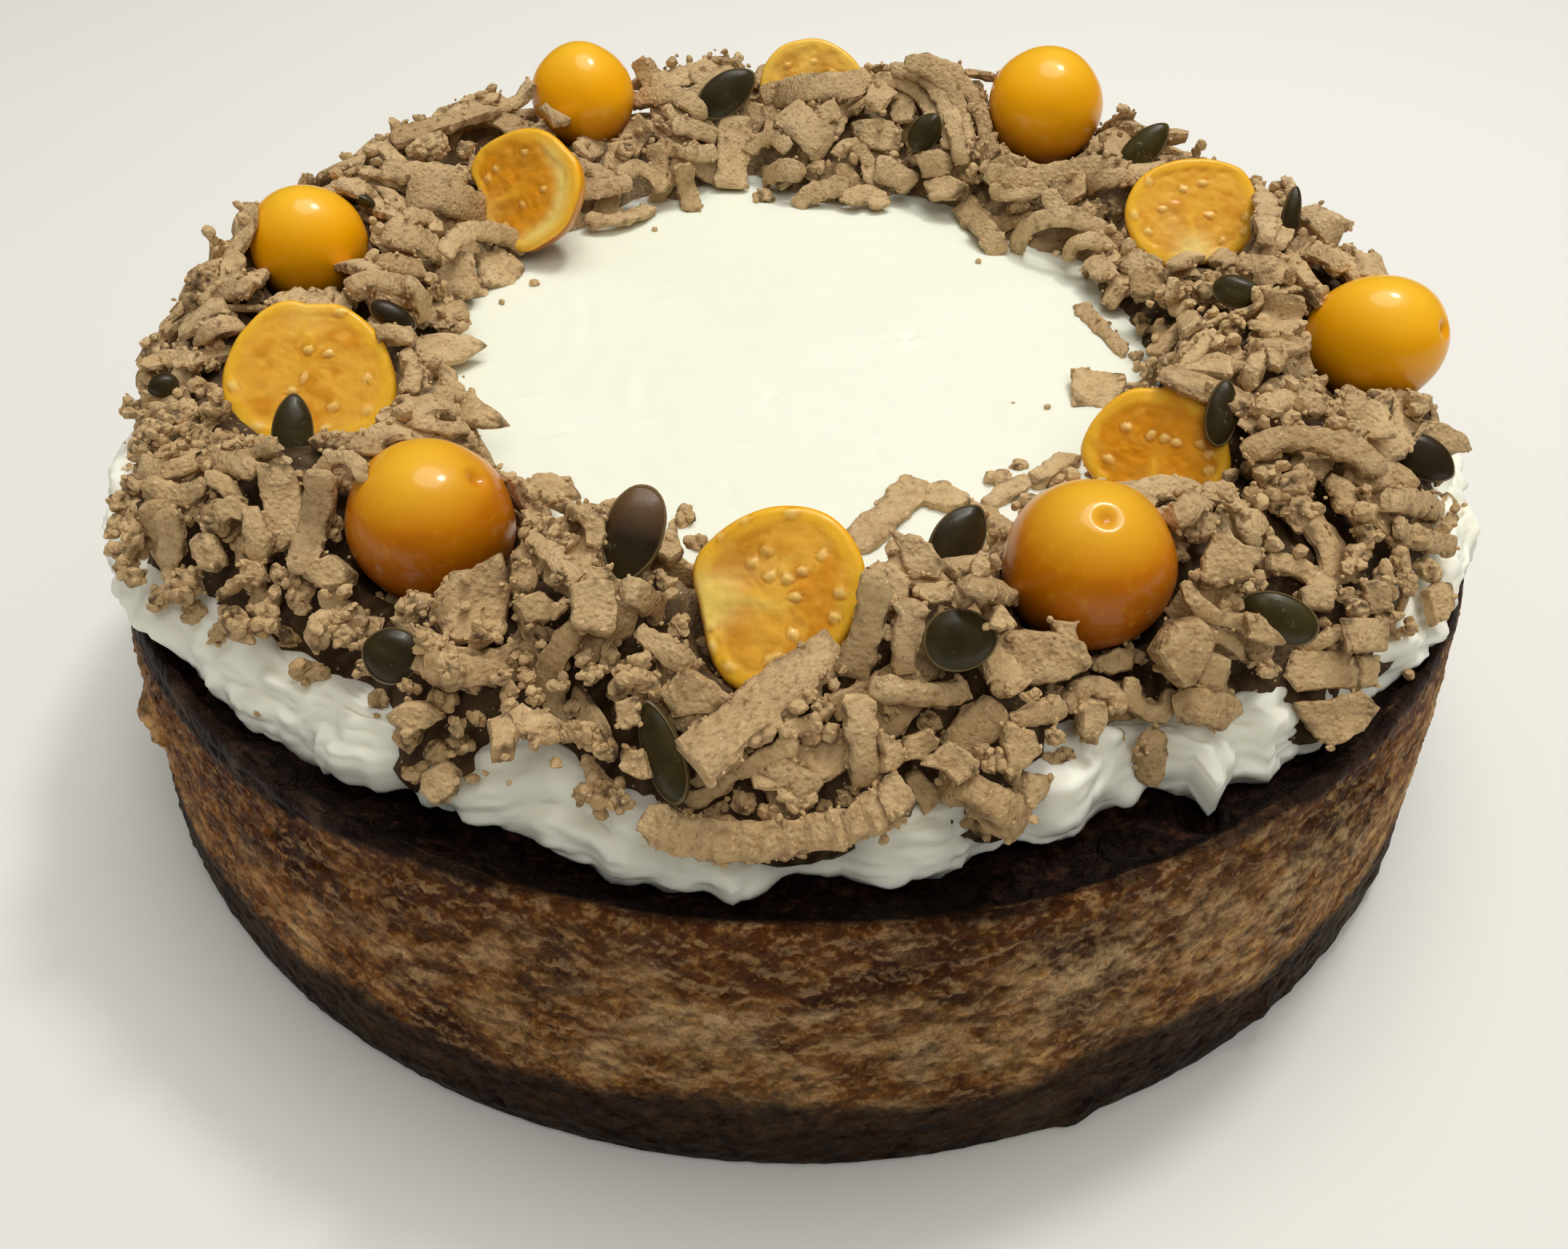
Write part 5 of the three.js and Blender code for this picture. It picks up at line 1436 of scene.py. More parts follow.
def ribbon_mesh(path, side, W, T, seed, torn=1.0, rib=0.0, groove=0.0, fringe=0.0, ends=(0.8, 0.8), nc=14, step=0.75):
    """torn strip along a path (K,3) whose flat lies along `side` (K,3)"""
    path, side = np.asarray(path, float), np.asarray(side, float)
    seg = np.linalg.norm(np.diff(path, axis=0), axis=1)
    L = np.concatenate([[0], np.cumsum(seg)])
    k = max(6, int(round(L[-1] / step)) + 1)
    s = np.linspace(0, L[-1], k)
    P = np.stack([np.interp(s, L, path[:, i]) for i in range(3)], -1)
    S = np.stack([np.interp(s, L, side[:, i]) for i in range(3)], -1)
    Tn = np.gradient(P, axis=0)
    Tn /= np.linalg.norm(Tn, axis=1, keepdims=True)
    S = S - (S * Tn).sum(1, keepdims=True) * Tn
    S /= np.maximum(np.linalg.norm(S, axis=1, keepdims=True), 1e-9)
    N = np.cross(Tn, S)
    r = np.random.default_rng(seed)
    o = r.uniform(-60, 60, 3)
    ph = np.linspace(0, TAU, nc, endpoint=False)
    cx = np.sign(np.cos(ph)) * np.abs(np.cos(ph)) ** 0.50
    cz = np.sign(np.sin(ph)) * np.abs(np.sin(ph)) ** 0.55
    q = np.stack([s * 0.22, s * 0, s * 0], -1) + o
    wv = 1 + torn * (0.20 * vnoise(q, 1) + 0.13 * vnoise(q * 3.1, 2))
    tv = 1 + 0.16 * vnoise(q * 1.3, 3)
    e0 = np.clip(s / 1.1, 0, 1)
    e1 = np.clip((L[-1] - s) / 1.1, 0, 1)
    we = np.minimum(ends[0] + (1 - ends[0]) * np.sqrt(e0), ends[1] + (1 - ends[1]) * np.sqrt(e1))
    te = np.minimum(0.55 + 0.45 * np.sqrt(e0), 0.55 + 0.45 * np.sqrt(e1))
    X = cx[None, :] * (W / 2) * (wv * we)[:, None]
    Z = cz[None, :] * (T / 2) * (tv * te)[:, None]
    # sideways wander of each edge on its own
    ql = np.stack([s * 0.5, s * 0 + 7, s * 0], -1) + o
    X = X + torn * np.where(cx > 0, 1, -1)[None, :] * np.abs(cx)[None, :] ** 2 * (0.35 * vnoise(ql, 4)[:, None] * (cx > 0) + 0.35 * vnoise(ql, 5)[:, None] * (cx < 0))
    pts = P[:, None, :] + X[..., None] * S[:, None, :] + Z[..., None] * N[:, None, :]
    flat = pts.reshape(-1, 3)
    nrm = (cx[None, :, None] * 0.75 * S[:, None, :] + cz[None, :, None] * N[:, None, :]).reshape(-1, 3)
    nrm /= np.linalg.norm(nrm, axis=1, keepdims=True)
    g1, g2, rg = cells(flat * 0.62 + o, 11)
    h = vnoise(flat * 1.5 + o, 12)
    edge = np.tile(np.abs(cx) ** 3, k)
    k1, k2, rk = cells(flat * 1.25 + o, 15)
    amp = 0.12 + 0.95 * torn * edge
    d = amp * (0.50 - g1) * 1.15 * (0.6 + 0.7 * rg) + (0.09 + 0.34 * torn * edge) * (0.5 - k1) + 0.10 * h * (0.4 + edge) + 0.14 * vnoise(flat * 0.45 + o, 16)
    if fringe:
        low = np.tile(np.where(cx < 0, np.abs(cx) ** 3, 0), k)
        d += fringe * low * (0.55 - g1) * 1.6
    ss = np.repeat(s, nc)
    face = np.tile(np.abs(cz) ** 2, k)
    if rib:
        d += rib * face * 0.22 * np.sin(ss * TAU / 1.25 + 1.2 * vnoise(flat * 0.35 + o, 13))
    if groove:
        xx = X.ravel() / (W / 2)
        d += groove * face * 0.16 * np.sin(xx * 9 + 1.0 * vnoise(flat * 0.25 + o, 14))
    flat = flat + nrm * d[:, None]
    # cav: hollows along the torn edges, painted darker as shade
    cav = smooth(g1, 0.42, 0.85) * (0.06 + 0.94 * edge) * 0.75
    # ragged ends
    for ix, sg in ((0, -1), (k - 1, 1)):
        a = np.arange(nc) + ix * nc
        flat[a] += sg * Tn[ix] * (0.55 * torn * (0.5 - g1[a]) * 2)[:, None]
    c0 = flat[:nc].mean(0) - Tn[0] * 0.30
    c1 = flat[-nc:].mean(0) + Tn[-1] * 0.30
    flat = np.concatenate([flat, [c0, c1]])
    i = np.arange(k - 1)
    j = np.arange(nc)
    I, J = np.meshgrid(i, j, indexing="ij")
    J2 = (J + 1) % nc
    quads = np.stack([I * nc + J, I * nc + J2, (I + 1) * nc + J2, (I + 1) * nc + J], -1).reshape(-1, 4)
    # rows run along the path: outward faces need this winding
    quads = quads[:, ::-1]
    a = np.arange(nc)
    caps = np.concatenate([np.stack([np.full(nc, k * nc), a, np.roll(a, -1)], -1)[:, ::1],
                           np.stack([np.full(nc, k * nc + 1), np.roll(a, -1) + (k - 1) * nc, a + (k - 1) * nc], -1)])
    cav = np.concatenate([cav, [0.2, 0.2]])
    rim = np.nonzero(np.concatenate([edge, [0, 0]]) > 0.75)[0]
    nf = int(L[-1] / 1.7 * torn) + 2
    flat, caps, c3 = flecks(flat, caps, None, rim, nf, r)
    if nc > 16:
        flat, caps, c4 = flecks(flat, caps, None, rim, int(L[-1] * 2.2), r, 0.35, 0.75)
        c3 = np.concatenate([c3, c4])
    return flat, caps, quads, np.concatenate([cav, c3])


def chip_mesh(outline, T, seed, torn=1.0, bend=(0.0, 0.0), dome=0.0, skew=0.0):
    """flat torn chip from an outline (n,2) in mm, top up; bend lifts its ends"""
    r = np.random.default_rng(seed)
    o = r.uniform(-60, 60, 3)
    out = np.asarray(outline, float)
    per = np.linalg.norm(np.roll(out, -1, 0) - out, axis=1)
    L = np.concatenate([[0], np.cumsum(per)])
    n = int(np.clip(L[-1] / 0.62, 16, 72))
    s = np.linspace(0, L[-1], n, endpoint=False)
    cl = np.concatenate([out, out[:1]])
    xy = np.stack([np.interp(s, L, cl[:, 0]), np.interp(s, L, cl[:, 1])], -1)
    c = xy.mean(0)
    dirs = xy - c
    ln = np.maximum(np.linalg.norm(dirs, axis=1, keepdims=True), 1e-6)
    q = np.concatenate([xy * 0.75, np.zeros((n, 1))], 1) + o
    g1, _, _ = cells(q, 3)
    xy = xy + dirs / ln * (torn * (0.95 * (0.5 - g1) * 1.2 + 0.38 * vnoise(q * 2.2, 4)))[:, None]
    sc = [0.30, 0.60, 0.84, 0.96]
    rows, zs = [], []
    for f in sc:
        rows.append(c + (xy - c) * f)
        zs.append(np.full(n, T / 2 * (1.0 if f < 0.9 else 0.82)))
    rows.append(c + (xy - c) * 1.03)
    zs.append(np.zeros(n) + 0.05 * T)
    for f in sc[::-1]:
        rows.append(c + (xy - c) * f)
        zs.append(np.full(n, -T / 2 * (1.0 if f < 0.9 else 0.82)))
    m = len(rows)
    V = np.stack([np.concatenate([rows[j], zs[j][:, None]], 1) for j in range(m)], 1).reshape(-1, 3)
    V = np.concatenate([V, [[c[0], c[1], T / 2], [c[0], c[1], -T / 2]]])
    h1, _, _ = cells(V * 0.62 + o, 6)
    rr = np.linalg.norm(V[:, :2] - c, axis=1) / ln.mean()
    k1, _, _ = cells(V * 1.3 + o, 8)
    d = (0.14 + 0.65 * torn * smooth(rr, 0.65, 1.0)) * (0.5 - h1) + 0.08 * vnoise(V * 1.3 + o, 7) + 0.10 * (0.5 - k1) + 0.34 * vnoise(V * 0.30 + o, 9)
    V[:, 2] += np.where(V[:, 2] > 0, 1, -0.5) * d
    x, y = V[:, 0] - c[0], V[:, 1] - c[1]
    V[:, 2] += bend[0] * x ** 2 + bend[1] * y ** 2 + skew * x * y + dome * (1 - rr)
    # cav: hollows toward the torn rim, painted darker as shade
    cav = smooth(h1, 0.42, 0.8) * (0.05 + 0.95 * smooth(rr, 0.7, 1.0)) * 0.7
    quads = grid_faces(n, m)
    a = np.arange(n)
    caps = np.concatenate([fan(a * m, n * m, flip=False), fan(a * m + m - 1, n * m + 1, flip=True)])
    rim = np.nonzero((rr > 0.80))[0]
    V, caps, c3 = flecks(V, caps, None, rim, int(L[-1] / 2.0 * torn) + 2, r)
    return V, caps, quads[:, ::-1], np.concatenate([cav, c3])


def blob_outline(L, W, r, n=9, spike=0.22):
    a = np.sort(r.uniform(0, TAU, n) * 0.35 + np.linspace(0, TAU, n, endpoint=False) * 0.65 + 0.0)
    a = np.linspace(0, TAU, n, endpoint=False) + r.uniform(-0.2, 0.2, n)
    k = 1 + r.uniform(-spike, spike, n)
    return np.stack([L / 2 * k * np.cos(a), W / 2 * k * np.sin(a)], -1)


def lay(n, heading, tilt=(0.0, 0.0)):
    """basis with z along n (tilted), x along heading"""
    x = np.array([math.cos(heading), math.sin(heading), 0.0])
    z = n / np.linalg.norm(n)
    x = x - (x @ z) * z
    x /= np.linalg.norm(x)
    y = np.cross(z, x)
    z2 = z + tilt[0] * x + tilt[1] * y
    z2 /= np.linalg.norm(z2)
    x2 = x - (x @ z2) * z2
    x2 /= np.linalg.norm(x2)
    return np.stack([x2, np.cross(z2, x2), z2], 1)


def strip_local(L, curl, sway, twist, k=14):
    """centre line and side direction of a curled strip, in its own axes (x along)"""
    s = np.linspace(-0.5, 0.5, k)
    a = curl * s                      # turn in the x-z plane
    if abs(curl) < 1e-3:
        x, z = L * s, s * 0
    else:
        x, z = L / curl * np.sin(a), L / curl * (1 - np.cos(a))
        z = -z
    b = sway * s
    y = L * (b * s) * 0.5
    path = np.stack([x, y, z], -1)
    tw = twist * s
    nrm = np.stack([np.sin(a), a * 0, np.cos(a)], -1)
    side = np.stack([-nrm[:, 0] * np.sin(tw), np.cos(tw), -nrm[:, 2] * np.sin(tw) * -1], -1)
    return path, side


# which kinds lie where round the ring: weights (azimuth, strips, chips, clumps)
MIX = [(-175, 2, 2, 7), (-150, 1.5, 2, 8), (-125, 2, 3, 7), (-105, 4, 3, 6), (-85, 6, 4, 4), (-60, 7, 5, 3), (-40, 4, 4, 5), (-20, 3, 4, 6), (0, 3, 3, 6),
       (30, 6, 3, 4), (60, 9, 3, 2), (90, 10, 3, 2), (120, 7, 3, 3), (150, 6, 4, 3), (170, 4, 3, 5)]


def scatter(F, strips, chips, clumps):
    r = np.random.default_rng(77)
    placed = 0
    for it in range(5200):
        th = r.uniform(-math.pi, math.pi)
        ri, ro = float(table(np.array([th]), HEAP_IN)[0]), float(table(np.array([th]), HEAP_OUT)[0])
        t = r.uniform(0.02, 0.985)
        rad = ri + (ro - ri) * t
        x, y = rad * math.cos(th), rad * math.sin(th)
        nomz = float(F.at(x, y, F.nom))
        cur = float(F.at(x, y))
        deg = math.degrees(th)
        w = [float(table(np.array([th]), [(m[0], m[k]) for m in MIX])[0]) for k in (1, 2, 3)]
        w = np.array(w) / sum(w)
        kind = r.choice(3, p=w)
        if (strips, chips, clumps)[kind].tris() > (66000, 50000, 80000)[kind]:
            continue
        # full enough here already
        if cur > nomz + r.uniform(-1.6, 1.0):
            continue
        n = F.normal(x, y)
        hd = r.uniform(0, TAU)
        tl = r.normal(0, 0.30 if kind == 0 else 0.50, 2)
        small = 0.75 if (t < 0.10 or t > 0.93) else 1.0
        far = 1.0
        sd = 5000 + it
        if kind == 0:
            L = r.uniform(8, 21) * small
            W = r.uniform(3.0, 6.2)
            T = r.uniform(0.9, 1.7)
            if math.sin(th) > 0.3:
                L, W, T = r.uniform(9, 22) * small, r.uniform(2.8, 5.2), r.uniform(1.1, 1.9)
            pth, sde = strip_local(L, r.normal(0, 1.1), r.normal(0, 1.2), r.normal(0, 0.7))
            v, caps, quads, cav = ribbon_mesh(pth, sde, W, T, sd, torn=r.uniform(0.4, 1.1), rib=r.uniform(0, 0.7) * (r.random() < 0.4),
                                              groove=0.8 * (r.random() < 0.3), nc=12, step=1.05)
        elif kind == 1:
            L, W = r.uniform(4.5, 10) * small, r.uniform(3.5, 6.5) * small
            v, caps, quads, cav = chip_mesh(blob_outline(L, W, r), r.uniform(0.9, 1.8), sd, torn=r.uniform(0.5, 1.1),
                                            bend=(r.normal(0, 0.025), r.normal(0, 0.02)))
        else:
            sz = r.uniform(2.6, 7.5) * small
            v, caps, cav = clump_mesh(sz, sd, grains=int(3 + sz), level=2 if sz > 5 else 1)
            quads = None
        v = v @ lay(n, hd, tl).T
        v = v + [x, y, 0]
        v[:, 2] += F.rest(v, 0.88)
        if kind < 2 and r.random() < 0.75:
            v[:, 2] -= 0.25
        if (v[:, 2] - F.at(v[:, 0], v[:, 1], F.nom)).max() > 4.6:
            continue
        if in_ball(v).max() > 0.9 or hides(v).any():
            continue
        rr = np.hypot(v[:, 0], v[:, 1])
        out = rr - table(np.arctan2(v[:, 1], v[:, 0]), HEAP_OUT)
        if rr.max() > (99.6 if deg < -148 or deg > 165 else 98.3) or rr.min() < ri - 4.0 or out.max() > (1.2 if y < 20 and x > -75 else 4.0):
            continue
        F.stamp(v)
        (strips, chips, clumps)[kind].add(v, caps, quads, tint=r.uniform(0.15, 0.85), cav=cav)
        placed += 1
    return placed


def fill(F, pile, count=2600):
    """small torn lumps where the heap's dark inside would lie bare"""
    r = np.random.default_rng(505)
    bare = F.z - F.base
    for it in range(count):
        th = r.uniform(-math.pi, math.pi)
        ri, ro = float(table(np.array([th]), HEAP_IN)[0]), float(table(np.array([th]), HEAP_OUT)[0])
        t = r.uniform(0.03, 0.97)
        x, y = (ri + (ro - ri) * t) * math.cos(th), (ri + (ro - ri) * t) * math.sin(th)
        k = np.array([[0, 0], [1.6, 0], [-1.6, 0], [0, 1.6], [0, -1.6]])
        if (F.at(x + k[:, 0], y + k[:, 1]) - F.at(x + k[:, 0], y + k[:, 1], F.base)).max() > 0.6:
            continue
        size = r.uniform(3.0, 5.6)
        v, caps, cav = clump_mesh(size, 7000 + it, grains=int(2 + size), level=1 if size < 4.2 else 2)
        v = v @ lay(F.normal(x, y), r.uniform(0, TAU), r.normal(0, 0.4, 2)).T + [x, y, 0]
        v[:, 2] += F.rest(v, 0.80) - 0.3
        if in_ball(v).max() > 0.8 or hides(v).mean() > 0.04 or on_seed(v):
            continue
        F.stamp(v)
        pile.add(v, caps, None, tint=r.uniform(0.15, 0.8), cav=cav)
        if pile.tris() > 178000:
            break


def cover(F, strips, chips, count=6000):
    """strips and flakes over the bare slopes that the view doesn't show"""
    r = np.random.default_rng(606)
    placed = 0
    most_s, most_c = strips.tris() + 24000, chips.tris() + 26000
    for it in range(count):
        th = r.uniform(-math.pi, math.pi)
        ri, ro = float(table(np.array([th]), HEAP_IN)[0]), float(table(np.array([th]), HEAP_OUT)[0])
        t = r.uniform(0.03, 0.96)
        if math.sin(th) < -0.1 and t > 0.45:
            continue
        x, y = (ri + (ro - ri) * t) * math.cos(th), (ri + (ro - ri) * t) * math.sin(th)
        if float(F.at(x, y) - F.at(x, y, F.base)) > 0.7:
            continue
        small = 0.7 if (t < 0.12 or t > 0.86) else 1.0
        flake = r.random() < 0.5
        L, W, T = (r.uniform(5, 9) * small, r.uniform(4.0, 6.5) * small, 1.7) if flake else (r.uniform(9, 19) * small, r.uniform(2.8, 4.8), r.uniform(1.5, 2.2))
        pile, most = (chips, most_c) if flake else (strips, most_s)
        if pile.tris() > most:
            continue
        pth, sde = strip_local(L, r.normal(0, 1.0), r.normal(0, 1.1), r.normal(0, 0.6))
        v, caps, quads, cav = ribbon_mesh(pth, sde, W, T, 9000 + it, torn=r.uniform(0.5, 1.1), nc=8, step=1.7)
        # it lies along the heap's even slope, partly sunk between its lumps
        zx = [float(F.at(x + a, y + b, F.nom)) for a, b in ((-2.5, 0), (2.5, 0), (0, -2.5), (0, 2.5))]
        n = np.clip([(zx[0] - zx[1]) / 5, (zx[2] - zx[3]) / 5], -1.0, 1.0)
        n = np.array([n[0], n[1], 1.0]) / math.sqrt(1 + n[0] ** 2 + n[1] ** 2)
        v = v @ lay(n, r.uniform(0, TAU), r.normal(0, 0.16, 2)).T + [x, y, 0]
        v[:, 2] += F.rest(v, 0.74) - 0.2
        rr = np.hypot(v[:, 0], v[:, 1])
        if v[:, 2].max() > float(F.at(x, y, F.nom)) + 4.5 or rr.max() > 97.5 or rr.min() < ri - 2.5:
            continue
        if in_ball(v).max() > 1.2 or hides(v).mean() > 0.02:
            continue
        F.stamp(v)
        placed += 1
        pile.add(v, caps, quads, tint=r.uniform(0.25, 0.85), cav=cav)
    return placed


def on_seed(v):
    a, b, _ = project(v.mean(0))
    for tip, tail, w, lf, roll in PUMPKIN:
        t, q = np.array(tip, float), np.array(tail, float)
        d = t - q
        L = np.linalg.norm(d)
        p = np.array([a, b]) - (t + q) / 2
        x, y = p @ d / L / (L / 2), (p[0] * -d[1] + p[1] * d[0]) / L / (w / 2)
        if x * x + y * y < 0.95:
            return True
    return False


def crumbs(F, pile, count=1500):
    r = np.random.default_rng(99)
    for it in range(count):
        th = r.uniform(-math.pi, math.pi)
        ri, ro = float(table(np.array([th]), HEAP_IN)[0]), float(table(np.array([th]), HEAP_OUT)[0])
        t = r.uniform(-0.02, 1.0)
        x, y = (ri + (ro - ri) * t) * math.cos(th), (ri + (ro - ri) * t) * math.sin(th)
        d = 0.6 + 2.2 * r.random() ** 2.3
        lib = CRUMB0 if d < 1.35 else CRUMB1
        cv, cf = lib[r.integers(0, len(lib))]
        v = cv @ turn3(r).T * d / 2 + [x, y, 0]
        v[:, 2] += F.rest(v, 0.80)
        if v[:, 2].max() > float(F.at(x, y, F.nom)) + 4.5:
            continue
        if in_ball(v).max() > 0.5 or hides(v).any() or on_seed(v):
            continue
        F.stamp(v)
        pile.add(v, cf, None, tint=r.uniform(0.3, 1.0), cav=np.zeros(len(v)))


def pumpkin_seed(L, W, T, seed):
    """flat oval seed, pointed at +x end, thin rim"""
    n = 36
    th = np.linspace(0, TAU, n, endpoint=False)
    c, s = np.cos(th), np.sin(th)
    ox = c
    oy = s * (1 - 0.10 * c - 0.10 * smooth(c, 0.4, 1.0)) * (1 - 0.10 * smooth(c, 0.80, 1.0))
    rho = np.array([0.22, 0.44, 0.62, 0.76, 0.86, 0.92, 0.965, 1.0])
    rows, cav = [], []
    prof = np.interp(rho, [0, 0.5, 0.76, 0.88, 0.93, 0.965, 1.0], [1.0, 0.86, 0.58, 0.30, 0.24, 0.30, 0.16])
    for f, z in zip(rho, prof):
        rows.append(np.stack([ox * f * L / 2, oy * f * W / 2, np.full(n, z * T / 2)], -1))
        cav.append(np.full(n, math.exp(-((f - 0.972) / 0.022) ** 2)))
    for f, z in zip(rho[::-1], prof[::-1]):
        rows.append(np.stack([ox * f * L / 2, oy * f * W / 2, np.full(n, -z * T / 2)], -1))
        cav.append(np.full(n, math.exp(-((f - 0.972) / 0.022) ** 2)))
    V = np.stack(rows, 1)
    k = V.shape[1]
    V = V.reshape(-1, 3)
    V = np.concatenate([V, [[0, 0, T / 2], [0, 0, -T / 2]]])
    cv = np.concatenate([np.stack(cav, 1).ravel(), [0, 0]])
    V[:, 2] += 0.07 * T * fbm(V * [0.25, 0.5, 0.1] + seed * 3.1, 2, seed=seed)
    a = np.arange(n)
    caps = np.concatenate([fan(a * k, n * k), fan(a * k + k - 1, n * k + 1, flip=True)])
    return V, caps, grid_faces(n, k)[:, ::-1], cv


